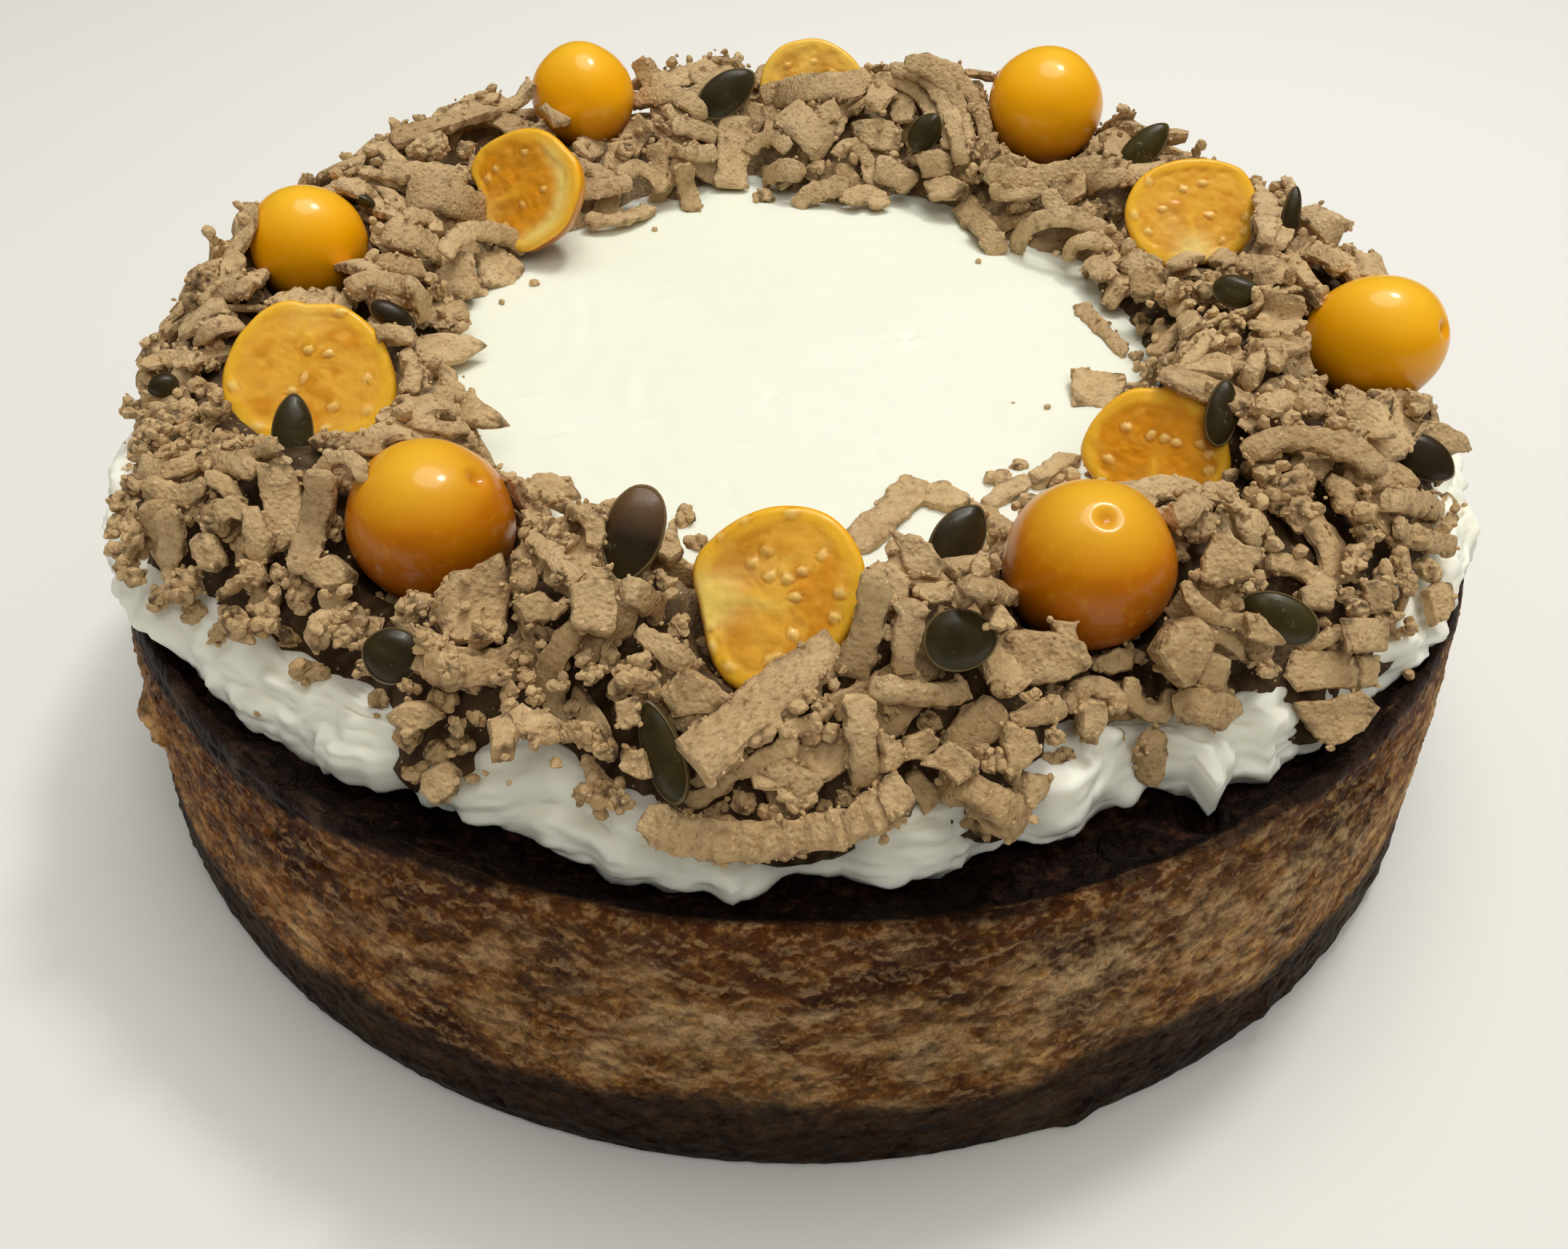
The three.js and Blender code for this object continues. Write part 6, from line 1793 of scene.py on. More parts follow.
# ------------------------------------------------------------------ pieces laid one by one
# S: strip (points in the view, width, thickness, options); C: chip outline; G: lump (place, size)
STRIPS = [
    # back, left to right
    ([(525, 232), (560, 236), (600, 240), (640, 255)], 30, 2.4, {}),
    ([(562, 268), (615, 272), (664, 292)], 44, 3.0, {"torn": 0.3}),
    ([(500, 262), (520, 285), (545, 300)], 26, 2.0, {}),
    ([(527, 322), (570, 328), (602, 346)], 40, 2.6, {"torn": 0.4}),
    ([(612, 350), (638, 322), (690, 322), (720, 345)], 24, 2.2, {"torn": 0.4, "lift": 0.8}),
    ([(560, 300), (585, 300), (600, 320)], 22, 2.0, {}),
    ([(505, 360), (545, 365), (580, 372)], 28, 2.2, {}),
    ([(480, 395), (520, 385), (560, 400), (590, 420)], 24, 2.0, {}),
    ([(560, 385), (575, 410), (582, 440)], 26, 2.2, {}),
    ([(755, 150), (780, 160), (800, 185)], 26, 2.4, {}),
    ([(800, 210), (825, 190), (845, 150), (860, 130)], 30, 2.4, {"torn": 0.4}),
    ([(870, 140), (905, 132), (945, 138), (965, 165)], 24, 2.2, {"torn": 0.4, "lift": 0.6}),
    ([(900, 200), (905, 225), (910, 256)], 26, 2.0, {"torn": 0.4}),
    ([(925, 172), (955, 178), (985, 190)], 26, 2.0, {}),
    ([(905, 196), (945, 212), (985, 208)], 20, 1.8, {"torn": 0.5, "lift": 0.5}),
    ([(938, 228), (944, 258), (952, 290)], 27, 2.2, {"torn": 0.3, "lift": 0.6}),
    ([(1012, 160), (1009, 208), (1004, 258)], 42, 2.2, {"torn": 0.35, "lift": 0.8}),
    ([(850, 240), (880, 232), (910, 262)], 22, 2.0, {}),
    ([(795, 262), (830, 258), (868, 250)], 24, 2.0, {}),
    ([(806, 300), (850, 302), (895, 285)], 20, 2.0, {"torn": 0.6}),
    ([(1030, 210), (1060, 190), (1085, 205)], 20, 2.0, {}),
    ([(1082, 150), (1108, 178), (1138, 205)], 44, 2.6, {"torn": 0.35, "lift": 0.5}),
    ([(1060, 140), (1105, 122), (1160, 118), (1200, 105)], 34, 2.4, {"torn": 0.4}),
    ([(1052, 245), (1075, 235), (1105, 240)], 26, 2.4, {}),
    ([(1205, 112), (1250, 118), (1274, 140), (1281, 168)], 20, 2.0, {"torn": 0.3, "lift": 0.4}),
    ([(1225, 96), (1272, 108), (1298, 146), (1304, 204)], 20, 2.0, {"torn": 0.3, "lift": 0.6}),
    ([(1245, 86), (1296, 110), (1322, 156), (1330, 206)], 20, 2.0, {"torn": 0.3, "lift": 0.8}),
    ([(1262, 84), (1315, 106), (1346, 150), (1356, 196)], 20, 2.0, {"torn": 0.3, "lift": 1.0}),
    ([(1306, 150), (1316, 190), (1322, 226)], 22, 2.0, {"torn": 0.3, "lift": 1.0}),
    ([(1205, 232), (1230, 240), (1252, 258)], 34, 2.8, {"torn": 0.4, "lift": 0.6}),
    ([(1150, 215), (1170, 200), (1195, 225), (1192, 250)], 20, 1.8, {}),
    ([(1095, 285), (1125, 262), (1165, 258)], 24, 2.2, {}),
    ([(1165, 280), (1190, 268), (1215, 284)], 26, 2.2, {}),
    ([(1358, 235), (1400, 246), (1450, 240), (1502, 230), (1548, 234)], 26, 2.2, {"torn": 0.4, "lift": 0.5}),
    ([(1360, 262), (1400, 268), (1440, 258)], 18, 1.8, {}),
    ([(1495, 258), (1530, 246), (1562, 246)], 22, 2.0, {"torn": 0.5}),
    ([(1398, 348), (1406, 318), (1446, 300), (1498, 308), (1540, 342)], 22, 2.4, {"torn": 0.2, "lift": 1.2}),
    ([(1468, 358), (1486, 332), (1514, 334), (1530, 356)], 20, 2.2, {"torn": 0.3, "lift": 0.8}),
    ([(1440, 262), (1462, 290), (1500, 296)], 20, 1.8, {}),
    ([(1340, 300), (1356, 318), (1372, 350)], 30, 2.4, {}),
    ([(1484, 420), (1512, 452), (1548, 486)], 20, 1.8, {"torn": 0.7}),
    ([(1700, 366), (1750, 368), (1792, 388)], 26, 2.4, {"torn": 0.3, "lift": 0.6}),
    ([(1620, 366), (1650, 352), (1690, 362)], 26, 2.4, {}),
    ([(1768, 405), (1757, 448), (1744, 492)], 48, 2.8, {"torn": 0.9, "lift": 0.4}),
    ([(1712, 532), (1730, 500), (1748, 462)], 26, 2.4, {"torn": 0.8}),
    ([(1622, 522), (1650, 486), (1676, 462)], 24, 2.2, {"torn": 0.7}),
    ([(1662, 468), (1690, 482), (1704, 498)], 20, 2.0, {"torn": 0.3, "lift": 0.6}),
    ([(1610, 395), (1625, 425), (1640, 452)], 26, 2.4, {}),
    ([(1780, 292), (1812, 300), (1840, 330)], 30, 2.4, {}),
    ([(1736, 262), (1742, 300), (1738, 335)], 26, 2.2, {}),
    ([(1790, 345), (1822, 352), (1850, 372)], 26, 2.2, {}),
    # left
    ([(345, 392), (362, 376), (384, 384)], 24, 2.2, {"torn": 0.4, "lift": 0.4}),
    ([(280, 420), (310, 402), (345, 398)], 26, 2.4, {}),
    ([(270, 470), (300, 452), (330, 448)], 24, 2.2, {}),
    ([(205, 505), (235, 496), (270, 500)], 26, 2.4, {}),
    ([(455, 372), (490, 366), (515, 380)], 26, 2.4, {}),
    ([(312, 616), (345, 612), (372, 612)], 20, 2.0, {"torn": 0.4}),
    ([(430, 606), (474, 610), (520, 618)], 25, 2.4, {"torn": 0.3, "lift": 0.2}),
    ([(268, 644), (312, 632), (352, 626), (376, 614)], 20, 2.2, {"torn": 0.4, "lift": 0.4}),
    ([(296, 646), (325, 642), (352, 650)], 28, 2.6, {"torn": 0.4, "lift": 0.5}),
    ([(196, 640), (236, 646), (268, 638)], 26, 2.6, {"torn": 0.5, "lift": 0.3}),
    ([(204, 660), (240, 684), (284, 664)], 26, 2.6, {"torn": 0.6, "lift": 0.4}),
    ([(284, 656), (306, 664), (326, 690)], 24, 2.4, {"torn": 0.5, "lift": 0.3}),
    ([(212, 690), (214, 712), (208, 732)], 40, 2.6, {"torn": 0.6}),
    ([(226, 700), (238, 740), (226, 780)], 34, 2.4, {"torn": 0.5}),
    ([(440, 650), (438, 700), (424, 748), (414, 788)], 40, 2.6, {"torn": 0.7, "rib": 0.6, "lift": 0.9}),
    ([(345, 700), (352, 735), (356, 770)], 30, 2.4, {"torn": 0.7, "lift": 0.3}),
    ([(448, 655), (465, 632), (490, 640), (496, 660)], 22, 2.2, {"torn": 0.7, "lift": 0.5}),
    ([(556, 482), (566, 510), (562, 538)], 24, 2.2, {"torn": 0.5}),
    ([(520, 462), (545, 458), (568, 472)], 22, 2.2, {"torn": 0.5}),
    ([(548, 560), (585, 582), (640, 590)], 22, 2.2, {"torn": 0.7}),
    ([(556, 548), (590, 560), (620, 566)], 24, 2.2, {"torn": 0.5}),
    # front left
    ([(712, 668), (760, 690), (800, 706)], 24, 2.4, {"torn": 0.3, "lift": 0.8}),
    ([(726, 738), (762, 768), (792, 800)], 26, 2.4, {"torn": 0.7, "lift": 0.6}),
    ([(792, 862), (766, 902), (742, 940)], 34, 2.6, {"torn": 0.5, "lift": 0.3}),
    ([(586, 918), (640, 922), (700, 926)], 44, 3.2, {"torn": 1.0, "lift": 0.5}),
    ([(852, 812), (880, 818), (905, 845)], 34, 2.6, {"torn": 0.5, "lift": 0.4}),
    ([(880, 868), (912, 892), (950, 915)], 30, 2.6, {"torn": 0.9, "lift": 0.3}),
    ([(700, 990), (742, 1000), (772, 1010)], 44, 3.0, {"torn": 0.8, "lift": 0.3}),
    # front
    ([(946, 1106), (990, 1078), (1046, 1044), (1096, 1022)], 24, 2.6, {"torn": 0.8, "lift": 0.6}),
    ([(958, 1078), (990, 1058), (1020, 1038)], 18, 2.0, {"torn": 0.6, "lift": 0.8}),
    ([(1062, 1050), (1090, 1070), (1116, 1094)], 42, 2.4, {"torn": 0.7}),
    ([(885, 1124), (936, 1144), (1000, 1156), (1066, 1157), (1132, 1145), (1190, 1124), (1240, 1100)], 58, 2.9, {"torn": 0.9, "rib": 1.6, "lift": 1.0, "nc": 20, "face": 0.8}),
    ([(952, 1048), (1052, 968), (1150, 890)], 70, 2.6, {"torn": 0.35, "groove": 1.3, "fringe": 1.0, "lift": 2.4, "nc": 22, "face": 0.85, "end": 0.95}),
    ([(1074, 1010), (1098, 1000), (1126, 990)], 20, 2.2, {"torn": 0.7, "lift": 1.2}),
    ([(1200, 786), (1201, 838), (1188, 884), (1166, 928)], 42, 2.6, {"torn": 0.6, "lift": 1.0, "face": 0.75}),
    ([(1256, 826), (1248, 876), (1246, 924)], 40, 2.6, {"torn": 0.7, "lift": 0.6, "face": 0.75}),
    ([(1172, 752), (1222, 706), (1266, 662)], 46, 2.4, {"torn": 0.4, "lift": 0.8, "groove": 0.6}),
    ([(1198, 944), (1240, 952), (1284, 956), (1328, 948)], 34, 2.8, {"torn": 0.5, "lift": 1.0}),
    ([(1182, 958), (1186, 1016), (1192, 1078)], 46, 2.6, {"torn": 0.6, "lift": 1.2, "face": 0.8}),
    ([(1306, 1034), (1342, 1002), (1378, 972)], 50, 2.6, {"torn": 0.5, "lift": 0.6, "face": 0.75}),
    ([(1302, 1068), (1348, 1096), (1398, 1130)], 60, 3.0, {"torn": 0.8, "lift": 1.0, "face": 0.8}),
    ([(1330, 806), (1362, 812), (1394, 822)], 27, 2.8, {"torn": 0.3, "lift": 0.8}),
    ([(1392, 992), (1428, 982), (1460, 972)], 26, 2.4, {"torn": 0.6, "lift": 0.4}),
    ([(1470, 972), (1496, 944), (1528, 952), (1540, 978)], 26, 2.6, {"torn": 0.5, "lift": 0.6}),
    ([(1556, 934), (1560, 968), (1586, 982), (1612, 950)], 26, 2.6, {"torn": 0.5, "lift": 0.6}),
    ([(1676, 902), (1666, 944), (1690, 990)], 42, 2.8, {"torn": 0.7, "lift": 0.6}),
    ([(1616, 975), (1655, 972), (1690, 985)], 46, 2.6, {"torn": 0.4}),
    ([(1582, 1008), (1581, 1042), (1576, 1078)], 36, 3.4, {"torn": 0.5, "lift": 0.8}),
    ([(1630, 800), (1650, 832), (1692, 850), (1738, 866)], 22, 2.2, {"torn": 0.5, "lift": 1.0}),
    ([(1640, 870), (1672, 872), (1704, 898)], 20, 2.0, {"torn": 0.6}),
    ([(1788, 896), (1816, 884), (1842, 868)], 18, 1.8, {"torn": 0.3}),
    ([(1416, 664), (1444, 646), (1474, 630)], 30, 2.6, {"torn": 0.8}),
    ([(1340, 702), (1368, 716), (1388, 738)], 24, 2.4, {"torn": 0.6}),
    ([(1356, 694), (1380, 680), (1412, 660)], 26, 2.4, {"torn": 0.7}),
    # before the half at the right
    ([(1512, 622), (1540, 638), (1566, 650)], 30, 2.4, {"torn": 0.5, "lift": 0.4}),
    ([(1606, 712), (1628, 704), (1652, 692)], 32, 2.6, {"torn": 0.6, "lift": 0.8}),
    ([(1560, 676), (1600, 672), (1650, 676)], 30, 2.6, {"torn": 0.6, "lift": 1.2}),
    # right
    ([(1712, 626), (1776, 604), (1836, 610), (1880, 634), (1902, 652)], 34, 3.0, {"torn": 1.0, "lift": 1.0}),
    ([(1826, 664), (1846, 680), (1850, 704)], 28, 2.6, {"torn": 0.4, "lift": 0.6}),
    ([(1900, 690), (1938, 690), (1978, 704)], 32, 2.8, {"torn": 0.6, "lift": 0.6}),
    ([(1740, 560), (1780, 552), (1820, 566)], 32, 2.6, {"torn": 0.7}),
    ([(1850, 560), (1880, 572), (1905, 600)], 36, 2.6, {"torn": 0.7}),
    ([(1744, 772), (1790, 786), (1836, 812)], 26, 2.4, {"torn": 0.6}),
    ([(1850, 650), (1880, 662), (1915, 662)], 22, 2.2, {"torn": 0.5}),
    ([(1920, 730), (1960, 742), (2000, 752)], 28, 2.4, {"torn": 0.7}),
    ([(1700, 690), (1712, 725), (1728, 750)], 24, 2.2, {"torn": 0.5}),
]
CHIPS = [
    # outline in the view, thickness, options
    ([(568, 470), (600, 459), (646, 466), (668, 480), (640, 496), (600, 505), (572, 506)], 2.0, {"torn": 0.3}),
    ([(566, 540), (604, 532), (652, 544), (690, 568), (702, 586), (664, 591), (610, 576), (572, 566)], 2.0, {"torn": 0.3, "lift": 0.4}),
    ([(590, 380), (634, 346), (652, 350), (658, 400), (642, 416), (602, 402)], 2.8, {"torn": 0.5, "lift": 0.3}),
    ([(652, 350), (690, 345), (722, 370), (704, 398), (662, 396)], 2.4, {"torn": 0.5}),
    ([(1472, 511), (1486, 505), (1546, 519), (1545, 545), (1520, 566), (1474, 562)], 1.8, {"torn": 0.4}),
    ([(1552, 372), (1585, 365), (1604, 385), (1590, 412), (1556, 408)], 2.6, {"torn": 0.5}),
    ([(1740, 486), (1762, 478), (1772, 494), (1762, 512), (1744, 508)], 2.6, {"torn": 0.3, "lift": 0.8}),
    ([(1172, 168), (1210, 160), (1242, 178), (1236, 212), (1196, 206), (1176, 192)], 2.4, {"torn": 0.5}),
    ([(1256, 214), (1286, 204), (1312, 216), (1308, 244), (1272, 246)], 2.6, {"torn": 0.4, "lift": 0.4}),
    ([(1268, 250), (1310, 242), (1332, 256), (1312, 274), (1280, 276)], 2.4, {"torn": 0.4, "lift": 0.3}),
    ([(1362, 222), (1386, 212), (1402, 232), (1388, 246), (1366, 242)], 2.4, {"torn": 0.4}),
    # left
    ([(354, 640), (400, 638), (412, 668), (420, 712), (408, 744), (388, 760), (370, 742), (362, 700), (356, 668)], 2.2, {"torn": 0.5, "lift": 0.6, "face": 0.8}),
    ([(420, 796), (440, 774), (466, 764), (490, 788), (486, 806), (450, 811)], 3.4, {"torn": 0.5, "lift": 1.0, "face": 0.5}),
    ([(262, 745), (276, 731), (296, 740), (306, 762), (311, 776), (300, 788), (280, 781), (270, 765)], 3.6, {"torn": 0.5, "lift": 1.4}),
    ([(428, 846), (448, 838), (486, 846), (470, 860), (446, 866)], 2.4, {"torn": 0.5, "lift": 0.4}),
    ([(300, 815), (330, 792), (346, 795), (325, 812), (302, 826)], 2.6, {"torn": 0.5, "lift": 0.3}),
    ([(330, 770), (362, 772), (372, 800), (346, 806), (330, 792)], 2.6, {"torn": 0.6}),
    ([(290, 690), (316, 680), (342, 694), (336, 716), (304, 716)], 3.0, {"torn": 0.8, "lift": 0.5}),
    # front left
    ([(592, 852), (600, 812), (622, 790), (662, 776), (690, 762), (698, 790), (700, 838), (688, 878), (650, 888), (612, 880)], 2.8, {"torn": 0.7, "lift": 1.6, "face": 0.8}),
    ([(782, 806), (812, 796), (842, 800), (850, 838), (846, 872), (818, 876), (786, 860)], 2.8, {"torn": 0.35, "lift": 1.4, "face": 0.75}),
    ([(812, 780), (838, 780), (844, 798), (800, 800)], 2.4, {"torn": 0.3, "lift": 1.0}),
    ([(702, 780), (730, 772), (744, 800), (728, 822), (706, 808)], 2.6, {"torn": 0.6, "lift": 0.6}),
    ([(704, 826), (742, 812), (766, 830), (762, 852), (722, 858)], 3.2, {"torn": 0.6, "lift": 0.8}),
    ([(712, 672), (740, 655), (790, 660), (798, 690), (760, 684)], 2.6, {"torn": 0.8, "lift": 0.4}),
    ([(900, 742), (926, 722), (940, 762), (922, 778), (904, 770)], 2.6, {"torn": 0.6, "lift": 0.6}),
    ([(796, 712), (826, 700), (834, 735), (826, 762), (806, 752)], 2.8, {"torn": 0.7, "lift": 0.6}),
    ([(912, 956), (924, 930), (948, 917), (978, 937), (1010, 962), (990, 976), (955, 982), (924, 986)], 2.6, {"torn": 0.35, "lift": 1.2, "face": 0.9}),
    ([(846, 966), (876, 958), (882, 992), (866, 1004), (848, 1000)], 3.0, {"torn": 0.5, "lift": 1.2}),
    ([(852, 1044), (860, 1028), (886, 1032), (898, 1066), (888, 1076), (860, 1062)], 3.0, {"torn": 0.6, "lift": 0.8}),
    ([(580, 1058), (612, 1046), (636, 1062), (630, 1090), (600, 1108), (582, 1096)], 3.2, {"torn": 0.8, "lift": 0.6}),
    ([(530, 984), (552, 966), (590, 966), (612, 986), (586, 1002), (548, 1000)], 4.0, {"torn": 0.6, "lift": 1.2, "face": 0.45}),
    ([(672, 1000), (700, 980), (712, 1010), (706, 1040), (676, 1040)], 3.0, {"torn": 0.4, "lift": 0.8}),
    # front
    ([(1222, 728), (1252, 735), (1276, 746), (1288, 766), (1302, 781), (1290, 796), (1252, 797), (1244, 775), (1235, 754)], 2.2, {"torn": 0.6, "lift": 1.2}),
    ([(1278, 670), (1300, 664), (1338, 690), (1322, 702), (1298, 704), (1268, 692)], 2.2, {"torn": 0.4, "lift": 0.2}),
    ([(1192, 780), (1215, 774), (1250, 790), (1246, 832), (1215, 842), (1200, 812)], 2.4, {"torn": 0.7, "lift": 0.6}),
    ([(1250, 802), (1308, 800), (1305, 826), (1288, 836), (1264, 824)], 2.6, {"torn": 0.7, "lift": 1.0}),
    ([(1310, 812), (1330, 800), (1342, 830), (1320, 840)], 3.0, {"torn": 0.4, "lift": 0.8}),
    ([(1332, 776), (1348, 755), (1360, 776), (1361, 798), (1336, 798)], 2.8, {"torn": 0.4, "lift": 1.2}),
    ([(1354, 862), (1375, 832), (1396, 860), (1376, 872)], 2.6, {"torn": 0.5, "lift": 1.2}),
    ([(1364, 880), (1396, 866), (1450, 869), (1490, 885), (1500, 914), (1470, 936), (1420, 941), (1380, 930), (1368, 904)], 3.0, {"torn": 0.4, "lift": 1.2, "face": 0.75}),
    ([(1438, 850), (1456, 848), (1482, 864), (1484, 886), (1452, 886)], 3.4, {"torn": 1.0, "lift": 2.0}),
    ([(1102, 888), (1132, 872), (1156, 888), (1150, 922), (1122, 948), (1100, 932)], 3.0, {"torn": 0.6, "lift": 2.6}),
    ([(1206, 1005), (1226, 1014), (1246, 1036), (1234, 1056), (1212, 1064)], 2.4, {"torn": 0.8, "lift": 1.0}),
    ([(1240, 1016), (1280, 1000), (1293, 1020), (1270, 1042), (1240, 1046)], 2.8, {"torn": 0.5, "lift": 0.8}),
    ([(1264, 1052), (1300, 1020), (1332, 1034), (1350, 1050), (1340, 1066), (1318, 1082), (1298, 1062)], 2.8, {"torn": 0.5, "lift": 1.6}),
    ([(1380, 990), (1400, 1000), (1420, 1006), (1438, 1030), (1424, 1046), (1404, 1060), (1396, 1080), (1384, 1076), (1379, 1040)], 2.8, {"torn": 0.8, "lift": 1.4, "face": 0.8}),
    ([(1398, 1060), (1440, 1068), (1432, 1100), (1414, 1112), (1394, 1092)], 2.8, {"torn": 0.6, "lift": 0.8}),
    ([(1204, 1076), (1232, 1058), (1263, 1105), (1250, 1126), (1218, 1129)], 2.8, {"torn": 0.5, "lift": 1.6, "face": 0.8}),
    ([(1240, 1066), (1262, 1056), (1300, 1095), (1270, 1120)], 2.4, {"torn": 0.6, "lift": 0.6}),
    ([(1583, 896), (1610, 855), (1645, 848), (1663, 870), (1656, 906), (1636, 942), (1618, 945), (1598, 924)], 6.0, {"torn": 0.25, "lift": 1.6, "face": 0.6}),
    ([(1500, 906), (1535, 890), (1558, 895), (1555, 921), (1520, 928), (1500, 921)], 3.4, {"torn": 0.5, "lift": 0.8}),
    ([(1480, 966), (1512, 960), (1524, 992), (1502, 1022), (1484, 1010)], 3.0, {"torn": 0.8, "lift": 0.8}),
    ([(1712, 842), (1736, 846), (1752, 866), (1769, 885), (1745, 891), (1714, 876)], 2.2, {"torn": 0.5, "lift": 1.6}),
    ([(1776, 896), (1848, 894), (1866, 920), (1862, 946), (1818, 946), (1782, 952), (1764, 930)], 1.8, {"torn": 0.3, "lift": 0.6}),
    ([(1848, 850), (1900, 850), (1906, 896), (1850, 898)], 1.8, {"torn": 0.3, "lift": 0.8}),
    ([(1776, 966), (1810, 965), (1868, 950), (1898, 976), (1880, 1000), (1850, 1016), (1830, 1027), (1806, 1010), (1790, 990)], 2.0, {"torn": 0.5, "lift": 0.8}),
    ([(1866, 905), (1890, 900), (1892, 945), (1866, 948)], 1.8, {"torn": 0.4, "lift": 0.3}),
    ([(1780, 812), (1810, 800), (1836, 816), (1830, 842), (1790, 836)], 2.6, {"torn": 0.5, "lift": 0.6}),
    # right
    ([(1644, 692), (1656, 664), (1696, 668), (1702, 690), (1690, 702)], 3.6, {"torn": 0.6, "lift": 0.6}),
    ([(1650, 772), (1680, 714), (1702, 745), (1736, 760), (1722, 792), (1682, 812), (1656, 800)], 3.0, {"torn": 0.9, "lift": 0.8}),
    ([(1950, 576), (1990, 585), (2014, 600), (2024, 620), (1990, 626), (1960, 610)], 2.2, {"torn": 0.4, "lift": 0.6}),
    ([(1956, 808), (1990, 800), (1996, 840), (1968, 862)], 2.4, {"torn": 0.6}),
    ([(1872, 800), (1905, 798), (1916, 836), (1880, 846)], 2.4, {"torn": 0.6}),
]
